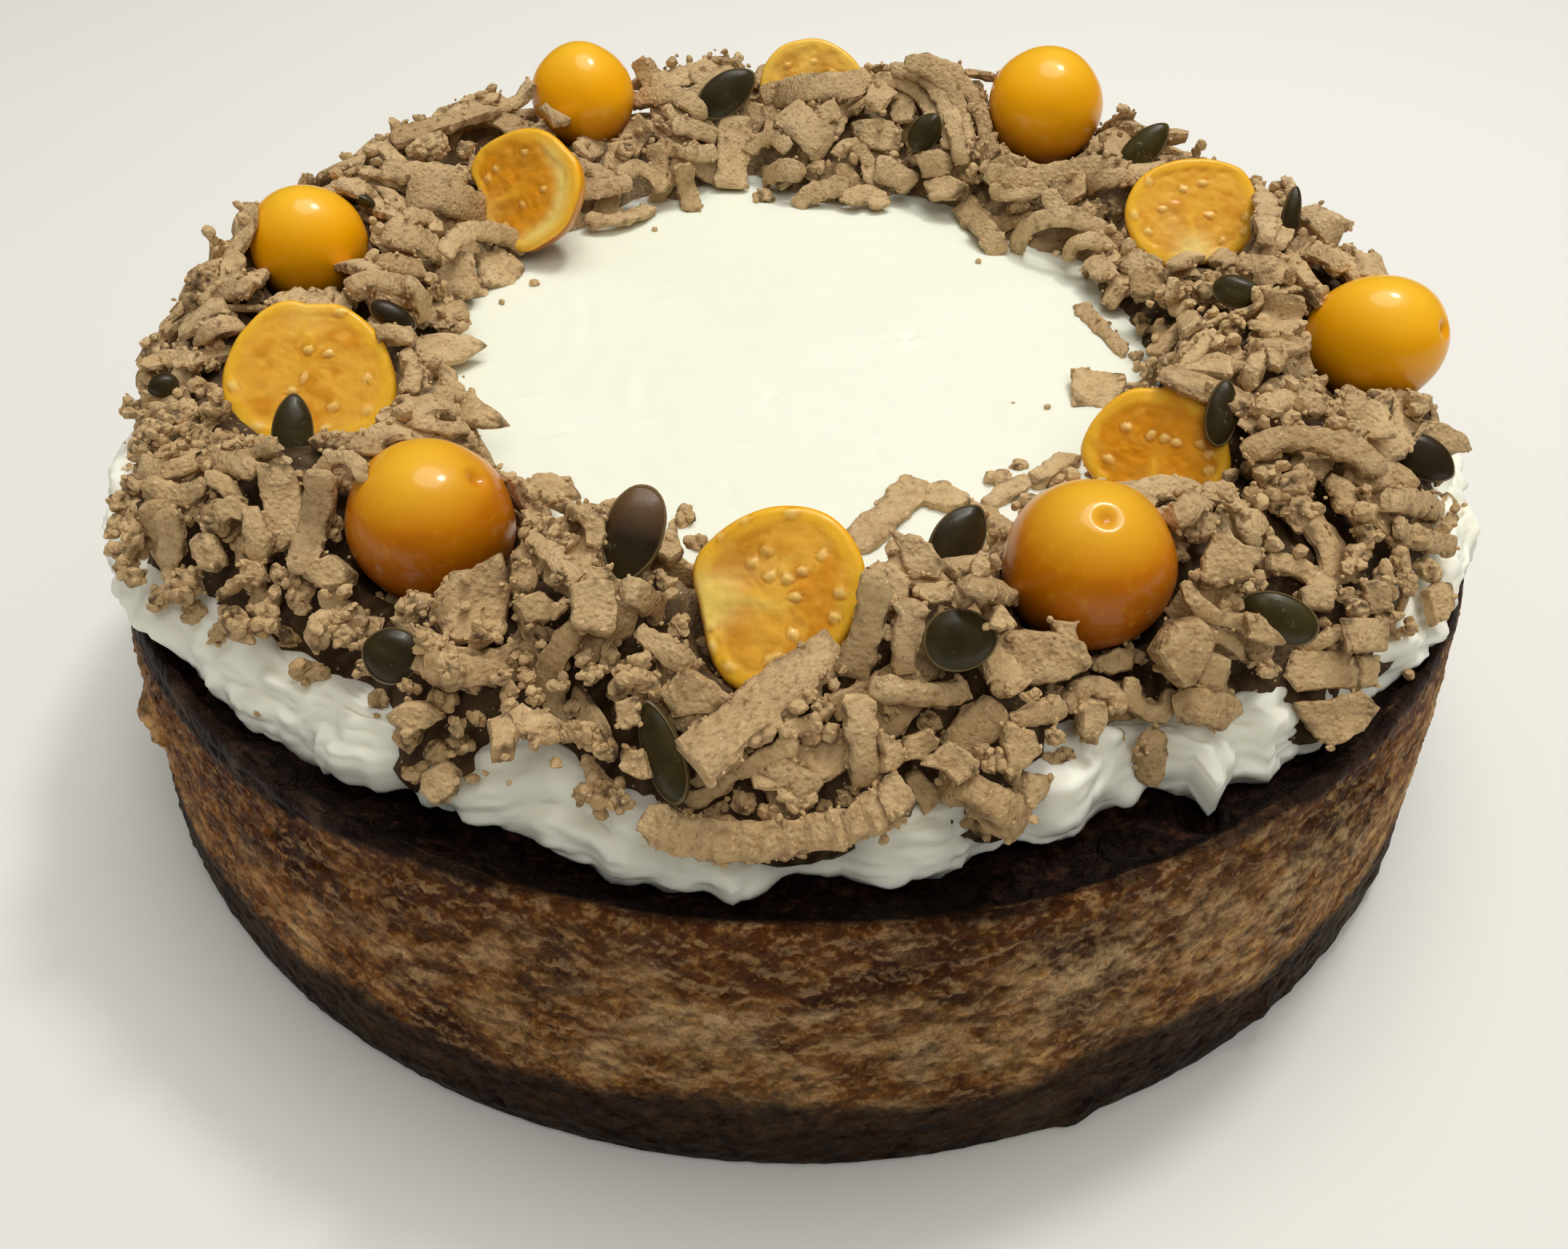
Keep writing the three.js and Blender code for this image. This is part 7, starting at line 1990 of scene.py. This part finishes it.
LUMPS = [
    # place in the view, size, lift
    (590, 196, 62, 0.5), (640, 205, 34, 0.2), (745, 165, 34, 0.2), (520, 300, 34, 0.2), (620, 305, 26, 0.2), (500, 340, 30, 0.2),
    (640, 240, 26, 0.2), (860, 205, 30, 0.2), (800, 235, 32, 0.2), (1050, 270, 34, 0.2), (1120, 230, 30, 0.2), (1335, 240, 30, 0.3),
    (1400, 225, 28, 0.3), (1480, 245, 26, 0.2), (1600, 400, 28, 0.2), (1570, 440, 24, 0.1), (1660, 400, 44, 0.2), (1700, 445, 34, 0.2),
    (1740, 400, 34, 0.4), (1790, 470, 44, 0.4), (1820, 500, 40, 0.2), (1800, 530, 44, 0.3), (1840, 540, 36, 0.2), (1700, 545, 36, 0.3),
    (1580, 505, 30, 0.1), (1610, 510, 26, 0.1), (1560, 490, 22, 0.0), (1720, 240, 30, 0.0), (1880, 380, 30, 0.0), (1760, 250, 26, 0.0),
    (420, 392, 40, 0.2), (310, 440, 34, 0.2), (250, 480, 36, 0.2), (290, 500, 30, 0.2), (490, 400, 34, 0.2), (350, 410, 26, 0.1),
    (245, 560, 50, 0.6), (270, 600, 44, 0.5), (210, 590, 40, 0.3), (190, 615, 34, 0.2), (230, 620, 34, 0.3), (180, 560, 26, 0.0),
    (190, 665, 40, 0.2), (175, 690, 34, 0.0), (260, 700, 36, 0.3), (290, 720, 26, 0.3), (240, 730, 32, 0.2), (330, 690, 24, 0.5),
    (250, 800, 60, 0.8), (215, 820, 34, 0.2), (320, 850, 56, 0.8), (365, 842, 46, 0.8), (410, 815, 50, 0.8), (438, 866, 50, 0.8),
    (476, 872, 44, 0.9), (350, 800, 34, 0.3), (385, 790, 34, 0.7), (300, 870, 36, 0.4), (270, 840, 40, 0.2), (395, 870, 34, 0.3),
    (480, 700, 34, 0.4), (460, 720, 34, 0.4), (470, 655, 34, 0.4), (480, 750, 34, 0.4), (180, 760, 40, 0.0), (200, 740, 34, 0.0),
    (500, 915, 30, 0.6), (520, 965, 34, 0.4), (590, 880, 40, 0.8), (560, 1010, 44, 0.7), (600, 1030, 44, 0.8), (575, 1060, 30, 0.6),
    (625, 915, 44, 1.2), (690, 925, 34, 1.2), (660, 870, 30, 0.6), (720, 905, 34, 0.6), (738, 955, 36, 0.7), (700, 970, 30, 0.6),
    (650, 940, 34, 0.4), (740, 720, 40, 0.7), (780, 745, 34, 0.7), (730, 700, 30, 0.5), (770, 790, 30, 0.5), (830, 700, 30, 0.5),
    (860, 690, 26, 0.3), (940, 710, 40, 0.5), (960, 745, 34, 0.5), (915, 800, 34, 0.6), (945, 830, 30, 0.7), (935, 860, 30, 0.6),
    (805, 905, 30, 1.2), (812, 925, 32, 1.2), (840, 900, 40, 1.2), (860, 930, 50, 1.2), (895, 935, 40, 1.0), (880, 905, 34, 0.9),
    (850, 950, 34, 0.9), (900, 955, 24, 1.2), (812, 1010, 50, 0.8), (790, 1000, 34, 0.6), (830, 1030, 34, 0.6), (825, 1085, 56, 0.8),
    (855, 1100, 34, 0.6), (800, 1090, 34, 0.4), (955, 994, 36, 1.6), (984, 974, 24, 1.8), (1040, 1000, 24, 2.2), (790, 970, 30, 0.3),
    (1130, 975, 34, 0.8), (1120, 1010, 34, 0.4), (1145, 1010, 30, 0.4), (1090, 1090, 34, 0.5), (1222, 972, 34, 0.6), (1222, 866, 28, 0.7),
    (1405, 850, 26, 0.8), (1420, 955, 28, 0.6), (1382, 948, 22, 1.0), (1450, 955, 34, 0.6), (1330, 790, 30, 0.6), (1370, 745, 34, 0.4),
    (985, 1110, 32, 0.2), (1022, 1102, 36, 0.3), (1060, 1116, 30, 0.2), (1096, 1102, 38, 0.3), (1134, 1110, 32, 0.2), (1164, 1092, 32, 0.2), (1350, 1134, 38, 0.1),
    (1378, 660, 40, 0.1), (1420, 690, 40, 0.3), (1450, 660, 40, 0.3), (1400, 640, 26, 0.0), (1460, 700, 30, 0.3), (1480, 720, 26, 0.3),
    (1590, 670, 40, 0.5), (1610, 650, 36, 0.4), (1632, 655, 34, 0.4), (1630, 712, 44, 0.6), (1645, 735, 34, 0.5), (1620, 760, 24, 0.4),
    (1770, 670, 84, 1.4), (1740, 650, 44, 1.0), (1720, 680, 34, 0.8), (1790, 700, 44, 1.0), (1875, 700, 46, 0.8), (1876, 730, 40, 0.5),
    (1920, 764, 30, 0.9), (1862, 762, 44, 0.5), (1902, 792, 40, 0.6), (1962, 780, 40, 0.6), (1950, 730, 40, 0.4), (1990, 690, 34, 0.2),
    (1935, 800, 34, 0.3), (1975, 830, 34, 0.2), (1690, 655, 30, 0.4), (1710, 560, 34, 0.4), (1735, 590, 34, 0.4), (1790, 590, 34, 0.4),
    (1860, 590, 40, 0.5), (1900, 560, 40, 0.3), (1930, 530, 40, 0.2), (1900, 510, 34, 0.1), (1950, 555, 34, 0.1), (1830, 560, 34, 0.4),
    (1700, 785, 34, 0.8), (1660, 790, 30, 0.7), (1720, 815, 26, 0.6), (1690, 830, 34, 0.5), (1742, 918, 30, 0.8), (1720, 900, 30, 0.4),
    (1850, 820, 34, 0.5), (1868, 835, 34, 0.5), (1905, 840, 34, 0.3), (1940, 860, 30, 0.1), (1572, 1030, 24, 2.2), (1530, 1010, 30, 0.4),
    (1640, 945, 30, 0.5), (1510, 880, 30, 0.8), (1480, 900, 30, 0.8), (1560, 900, 24, 0.5), (1460, 1040, 40, 0.4), (1450, 1010, 34, 0.5),
    (1280, 990, 30, 0.3), (1330, 990, 24, 0.3), (1345, 1030, 30, 0.5), (1370, 1040, 34, 0.6),
    (160, 690, 34, 0.3), (158, 722, 34, 0.3), (164, 752, 32, 0.2), (170, 782, 30, 0.2), (172, 650, 30, 0.2), (186, 790, 34, 0.3), (184, 730, 34, 0.5),
    (745, 985, 30, 0.6), (762, 1012, 28, 0.6), (735, 1012, 24, 0.5), (700, 950, 34, 0.8), (722, 930, 30, 0.8), (770, 940, 28, 0.7), (655, 985, 30, 0.5),
    (630, 1000, 28, 0.5), (610, 965, 30, 0.4), (560, 940, 30, 0.4), (745, 870, 28, 0.5), (770, 835, 28, 0.5),
]
# pieces standing before the half at the back: place, size, distance from the eye along the sight line is set by the half
SCREEN = [((1048, 134), (1078, 124), (1112, 126), 32), ((1098, 146), (1128, 132), (1168, 122), 34), ((1046, 158), (1084, 150), (1120, 158), 34),
          ((1124, 168), (1150, 148), (1184, 136), 32), ((1068, 126), (1090, 116), (1108, 120), 20), ((1120, 120), (1146, 114), (1176, 108), 20)]
# loose crumbs, also on the cream: place, size
BITS = [(355, 982, 14), (478, 1010, 20), (1475, 1085, 18), (1393, 556, 8), (648, 1074, 22), (765, 1052, 20), (1486, 1112, 9), (1935, 930, 22), (1345, 362, 12),
        (668, 1066, 12), (620, 1040, 16), (640, 1030, 14), (1160, 1150, 16), (1215, 1158, 18), (700, 1078, 10), (690, 418, 12), (735, 392, 16), (900, 318, 10),
        (706, 800, 14), (640, 838, 18), (690, 806, 12), (664, 838, 9), (632, 880, 12), (744, 888, 16), (606, 925, 10), (866, 910, 14), (640, 800, 16), (1056, 990, 12),
        (1030, 1035, 14), (1012, 1012, 12), (1094, 985, 14), (1104, 975, 16), (1070, 975, 12), (1110, 955, 16), (1132, 930, 16), (1160, 925, 20), (1146, 945, 22),
        (1390, 1135, 16), (1420, 1130, 18), (1415, 1104, 12), (1328, 1070, 14), (1290, 1078, 16), (1195, 1142, 14), (560, 1010, 18), (1690, 978, 12), (2002, 755, 10),
        (160, 700, 12), (172, 660, 12), (150, 790, 12), (462, 600, 16), (476, 604, 14), (1000, 1100, 10), (1026, 1110, 14), (1055, 1050, 10), (940, 1148, 12),
        (560, 300, 10), (1452, 352, 14), (1440, 562, 12), (1560, 300, 12), (1580, 420, 14), (1510, 440, 10)]
PUMPKIN = [
    # tip and tail in the view, apparent width, lift, roll of the flat about its long axis (degrees)
    ((852, 803), (890, 667), 84, 1.2, 12), ((500, 885), (575, 918), 80, 1.0, 0), ((889, 962), (934, 1107), 60, 2.0, -24), ((405, 541), (400, 648), 56, 0.8, 0),
    ((1348, 697), (1288, 785), 72, 0.5, 16), ((1373, 876), (1269, 884), 88, 1.2, 0), ((1706, 824), (1812, 874), 66, 0.4, 0), ((1998, 656), (1920, 606), 58, 0.8, 0),
    ((1686, 522), (1672, 615), 44, 0.4, 20), ((1738, 412), (1667, 392), 44, 0.6, 0), ((1606, 171), (1540, 236), 44, 0.6, 0), ((1782, 256), (1768, 332), 26, 0.2, 30),
    ((1290, 157), (1254, 207), 42, 0.6, 0), ((1037, 100), (962, 156), 54, 0.6, 0), ((572, 452), (508, 418), 34, 0.3, 0), ((203, 538), (246, 524), 34, 0.2, 0),
    ((486, 268), (516, 284), 16, 0.0, 0),
]


def to_cam(p):
    d = CAM - p
    return d / np.linalg.norm(d)


def clear_of_fruit(v, most=0.9):
    """moves a piece toward the viewer until it no longer sits inside a berry"""
    d = to_cam(v.mean(0))
    for _ in range(9):
        if in_ball(v).max() <= most:
            break
        v = v + d * 0.5
    return v


def lay_strip(F, pile, pts, wpx, T, seed, torn=0.6, rib=0.0, groove=0.0, fringe=0.0, lift=0.3, face=0.62, nc=14, end=0.75):
    pts = np.array(pts, float)
    if wpx < 54:
        T, wpx = T * 0.70, wpx * 1.12
    L = np.concatenate([[0], np.cumsum(np.linalg.norm(np.diff(pts, axis=0), axis=1))])
    k = 15
    t = np.linspace(0, L[-1], k)
    # smooth curve through the given places
    deg = min(len(pts) - 1, 3)
    cu, cv = np.polyfit(L, pts[:, 0], deg), np.polyfit(L, pts[:, 1], deg)
    u, v = np.polyval(cu, t), np.polyval(cv, t)
    hits = np.array([F.hit(a, b) for a, b in zip(u, v)])
    s = np.linalg.norm(hits - CAM, axis=1)
    fit = np.polyval(np.polyfit(t, s, 2 if k > 6 else 1), t)
    fit -= np.quantile(fit - s, 0.80)
    fit -= T * 0.30 + lift
    P = np.array([CAM + ray(a, b) * q for a, b, q in zip(u, v, fit)])
    if (F.at(P[:, 0], P[:, 1], F.nom) < CREAM_TOP + 2.0).mean() > 0.4:
        face *= 0.35                    # lies flat on the cream
    side = []
    tang = np.gradient(P, axis=0)
    for p, tg in zip(P, tang):
        n = face * to_cam(p) + (1 - face) * F.normal(p[0], p[1])
        side.append(np.cross(n, tg))
    depth = project(P)[2].mean()
    W = wpx * depth / F_PX
    v, caps, quads, cav = ribbon_mesh(P, np.array(side), W, T, seed, torn=torn, rib=rib, groove=groove, fringe=fringe, ends=(end, end), nc=nc, step=0.8)
    v = clear_of_fruit(F.drop(v))
    F.stamp(v)
    pile.add(v, caps, quads, tint=0.30 + 0.6 * ((seed * 37) % 17) / 17, cav=cav)


def lay_chip(F, pile, outline, T, seed, torn=0.5, lift=0.4, face=0.62, bend=(0.0, 0.0)):
    o = np.array(outline, float)
    T *= 0.80
    c = o.mean(0)
    tries = np.concatenate([[c], c + (o - c) * 0.6])
    hits = np.array([F.hit(a, b) for a, b in tries])
    s = np.linalg.norm(hits - CAM, axis=1)
    rc = ray(*c)
    P = CAM + rc * (np.quantile(s, 0.35) - lift - T * 0.35)
    r = np.random.default_rng(seed)
    if float(F.at(P[0], P[1], F.nom)) < CREAM_TOP + 1.5:
        face *= 0.4
    n = face * to_cam(P) + (1 - face) * F.normal(P[0], P[1]) + r.normal(0, 0.07, 3)
    n /= np.linalg.norm(n)
    B = basis(n)
    pts = []
    for a, b in o:
        d = ray(a, b)
        q = CAM + d * (((P - CAM) @ n) / (d @ n))
        pts.append((q - P) @ B)
    pts = np.array(pts)[:, :2]
    area = 0.5 * np.sum(pts[:, 0] * np.roll(pts[:, 1], -1) - pts[:, 1] * np.roll(pts[:, 0], -1))
    if area < 0:
        pts = pts[::-1]
    if bend == (0.0, 0.0):
        bend = (r.normal(0, 0.02), r.normal(0, 0.02))
    v, caps, quads, cav = chip_mesh(pts, T, seed, torn=torn, bend=bend)
    v = v @ B.T + P
    v = clear_of_fruit(F.drop(v))
    F.stamp(v)
    pile.add(v, caps, quads, tint=0.4 + 0.5 * ((seed * 31) % 13) / 13, cav=cav)


def lay_lump(F, pile, u, v, px, lift, seed):
    P = F.hit(u, v + 0.1 * px)
    size = px * project(P)[2] / F_PX
    m, caps, cav = clump_mesh(size * 1.08, seed, grains=5 if px < 30 else (8 if px < 46 else (14 if px < 60 else 30)), level=2 if px < 56 else 3)
    n = 0.45 * to_cam(P) + 0.55 * F.normal(P[0], P[1])
    r = np.random.default_rng(seed)
    m = m @ lay(n, r.uniform(0, TAU), r.normal(0, 0.35, 2)).T
    P = P + to_cam(P) * (0.12 * size + lift * 0.6)
    m = clear_of_fruit(m + P, 0.7)
    if hides(m).mean() > 0.25:
        return
    F.stamp(m)
    pile.add(m, caps, None, tint=0.35 + 0.5 * ((seed * 29) % 19) / 19, cav=cav)


def lay_screen(F, pile, i):
    """a strip lying against the lower part of the half at the back"""
    *pts, wpx = SCREEN[i]
    c, B, a, b, dep = FACES[3]
    n = B[:, 2]
    P = []
    for u, v in pts:
        d = ray(u, v)
        P.append(CAM + d * (((c - CAM) @ n) / (d @ n) - 2.2 - 0.5 * (i % 2)))
    P = np.array(P)
    t = np.linspace(0, 1, 12)
    P = np.stack([np.interp(t, [0, 0.5, 1], P[:, k]) for k in range(3)], -1)
    side = np.cross(0.6 * to_cam(P[5]) + [0, 0, 0.4], np.gradient(P, axis=0))
    v, caps, quads, cav = ribbon_mesh(P, side, wpx * project(P)[2].mean() / F_PX, 1.8, 4100 + i, torn=0.6, nc=14, step=0.8)
    F.stamp(v)
    pile.add(v, caps, quads, tint=0.35 + 0.1 * i, cav=cav)


def lay_bit(F, pile, u, v, px, seed):
    P = F.hit(u, v)
    if abs(project(P)[1] - v) > 3 or np.hypot(P[0], P[1]) > 97:
        return
    d = px * project(P)[2] / F_PX
    lib = CRUMB1 if d < 1.0 else CRUMB2
    cv, cf = lib[seed % len(lib)]
    r = np.random.default_rng(seed)
    m = cv @ turn3(r).T * d / 2 * [1, 1, 0.8] + P + [0, 0, 0.22 * d]
    F.stamp(m)
    pile.add(m, cf, None, tint=0.6, cav=np.zeros(len(m)))


def lay_seed(F, pile, tip, tail, wpx, lift, roll, seed):
    tip, tail = np.array(tip, float), np.array(tail, float)
    c = (tip + tail) / 2
    ax = (tip - tail)
    pr = np.array([-ax[1], ax[0]]) / np.linalg.norm(ax)
    tries = [c + ax * a + pr * b * wpx for a, b in ((-0.4, 0), (-0.2, 0.2), (0, 0), (0, -0.3), (0.2, 0.2), (0.4, 0))]
    s = np.array([np.linalg.norm(F.hit(*q) - CAM) for q in tries])
    P = CAM + ray(*c) * (np.quantile(s, 0.3) - 0.9 - lift * 0.5)
    n0 = to_cam(P) * 0.9 + F.normal(P[0], P[1]) * 0.25
    n0 /= np.linalg.norm(n0)

    def on(q):
        d = ray(*q)
        return CAM + d * (((P - CAM) @ n0) / (d @ n0))
    A = on(tip) - on(tail)
    L = np.linalg.norm(A)
    x = A / L
    W = wpx * project(P)[2] / F_PX
    z = n0 - (n0 @ x) * x
    z /= np.linalg.norm(z)
    y = np.cross(z, x)
    a = math.radians(roll)
    y, z = y * math.cos(a) + z * math.sin(a), -y * math.sin(a) + z * math.cos(a)
    V, caps, quads, cav = pumpkin_seed(L, W, 2.7, seed)
    m = V @ np.stack([x, y, z], 1).T + (on(tip) + on(tail)) / 2
    m = clear_of_fruit(m, 0.3)
    F.stamp(m)
    tint = {0: 0.95, 3: 0.45, 13: 0.5}.get(seed, (seed * 7 % 10) / 10)
    if seed == 0:                    # brown toward its upper end
        k = smooth((m - on(tip)) @ -x / L, 0.0, 1.0)
        tint = 0.72 + 0.68 * k
    pile.add(m, caps, quads, tint=tint, cav=cav)


def heroes(F, strips, chips, clumps, bits, seeds):
    """farthest first, so that nearer pieces come to lie on top"""
    jobs = []
    for i, (pts, w, T, o) in enumerate(STRIPS):
        jobs.append((o.get("lift", 0.3), np.mean([p[1] for p in pts]), "s", i))
    for i, (pts, T, o) in enumerate(CHIPS):
        jobs.append((o.get("lift", 0.4), np.mean([p[1] for p in pts]), "c", i))
    for i, (u, v, px, lf) in enumerate(LUMPS):
        jobs.append((lf - 0.2, v, "l", i))
    jobs.sort(key=lambda j: (round(j[0] * 2) / 2, j[1]))
    for _, _, kind, i in jobs:
        if kind == "s":
            pts, w, T, o = STRIPS[i]
            lay_strip(F, strips, pts, w, T, 300 + i, **o)
        elif kind == "c":
            pts, T, o = CHIPS[i]
            lay_chip(F, chips, pts, T, 700 + i, **o)
        else:
            u, v, px, lf = LUMPS[i]
            lay_lump(F, clumps, u, v, px, lf, 1100 + i)
    for i in range(len(SCREEN)):
        lay_screen(F, strips, i)
    for i, (tip, tail, w, lf, roll) in enumerate(PUMPKIN):
        lay_seed(F, seeds, tip, tail, w, lf, roll, i)
    for i, (u, v, px) in enumerate(BITS):
        lay_bit(F, bits, u, v, px, 1500 + i)


def build_all():
    baked_body()
    base_body()
    cream()
    for i, b in enumerate(WHOLE):
        whole_berry(*b, seed=i + 1)
    for i, b in enumerate(HALF):
        half_berry(*b, stem=STEM[b[0]], seeds=SEEDS_IN[b[0]], tone=TONE[b[0]], seed=20 + i)
    heap_core()
    F = Field()
    strips, chips, clumps, bits, seeds = Pile(), Pile(), Pile(), Pile(), Pile()
    n = scatter(F, strips, chips, bits)
    print("NOTE scattered", n, strips.tris(), chips.tris(), clumps.tris())
    heroes(F, strips, chips, clumps, bits, seeds)
    fill(F, clumps)
    print("NOTE cover", cover(F, strips, chips))
    crumbs(F, bits)
    print("NOTE all strips", strips.tris(), "chips", chips.tris(), "lumps", clumps.tris(), "bits", bits.tris(), "seeds", seeds.tris())
    strips.build("shaving_strips", "shavings", [M_SHAV])
    chips.build("shaving_chips", "shavings", [M_SHAV])
    clumps.build("shaving_lumps", "shavings", [M_SHAV])
    bits.build("shaving_crumbs", "shavings", [M_SHAV])
    seeds.build("pumpkin_seeds", "seed", [M_SEED])


build_all()


# ------------------------------------------------------------------ floor, light, camera
def studio():
    me = bpy.data.meshes.new("floor")
    s = 3.0
    me.from_pydata([(-s, -s, 0), (s, -s, 0), (s, s, 0), (-s, s, 0)], [], [(0, 1, 2, 3)])
    fl = bpy.data.objects.new("floor", me)
    bpy.context.scene.collection.objects.link(fl)
    fl.location.z = -0.0002
    m = Mat("floor")
    n = m.noise(3.0, 2, 0.5, None, 0.0, 1.0)
    m.color(m.ramp(n, [(0.3, (0.82, 0.81, 0.77, 1)), (0.7, (0.85, 0.84, 0.80, 1))]))
    m.set(Roughness=0.9, Specular_IOR_Level=0.1)
    me.materials.append(m.m)
    w = bpy.data.worlds.new("studio")
    bpy.context.scene.world = w
    w.use_nodes = True
    bg = w.node_tree.nodes["Background"]
    bg.inputs["Color"].default_value = (1.0, 0.98, 0.93, 1)
    bg.inputs["Strength"].default_value = 0.25

    def area(name, loc, target, size, power, color=(1, 1, 1), shape="DISK"):
        d = bpy.data.lights.new(name, "AREA")
        d.shape = shape
        d.size = size
        d.energy = power
        d.color = color
        o = bpy.data.objects.new(name, d)
        bpy.context.scene.collection.objects.link(o)
        o.location = loc
        o.rotation_euler = (Vector(target) - Vector(loc)).to_track_quat("-Z", "Y").to_euler()
        return o
    area("over", (0.05, 0.22, 0.95), (0, 0, 0.05), 0.6, 3.9, (1.0, 0.985, 0.95))
    area("lamp", (0.26, 0.30, 0.92), (0, 0, 0.05), 0.15, 2.5, (1.0, 0.98, 0.94))
    fr = area("front", (0.18, -0.80, 1.22), (0, 0, 0.05), 0.9, 5.6, (1.0, 0.985, 0.94))
    fr.visible_glossy = False
    w.cycles_visibility.glossy = False


studio()
scene = bpy.context.scene
scene.view_settings.view_transform = "Standard"
scene.view_settings.look = "None"
cam_d = bpy.data.cameras.new("cam")
cam = bpy.data.objects.new("cam", cam_d)
scene.collection.objects.link(cam)
cam_d.sensor_width = 36
cam_d.lens = F_PX / 2156 * 36
cam_d.clip_start = 0.01
cam_d.clip_end = 20
R = Matrix((Vector(RGT), Vector(UPV), Vector(-FWD))).transposed()
cam.matrix_world = Matrix.Translation(Vector(CAM * MM)) @ R.to_4x4()
scene.camera = cam
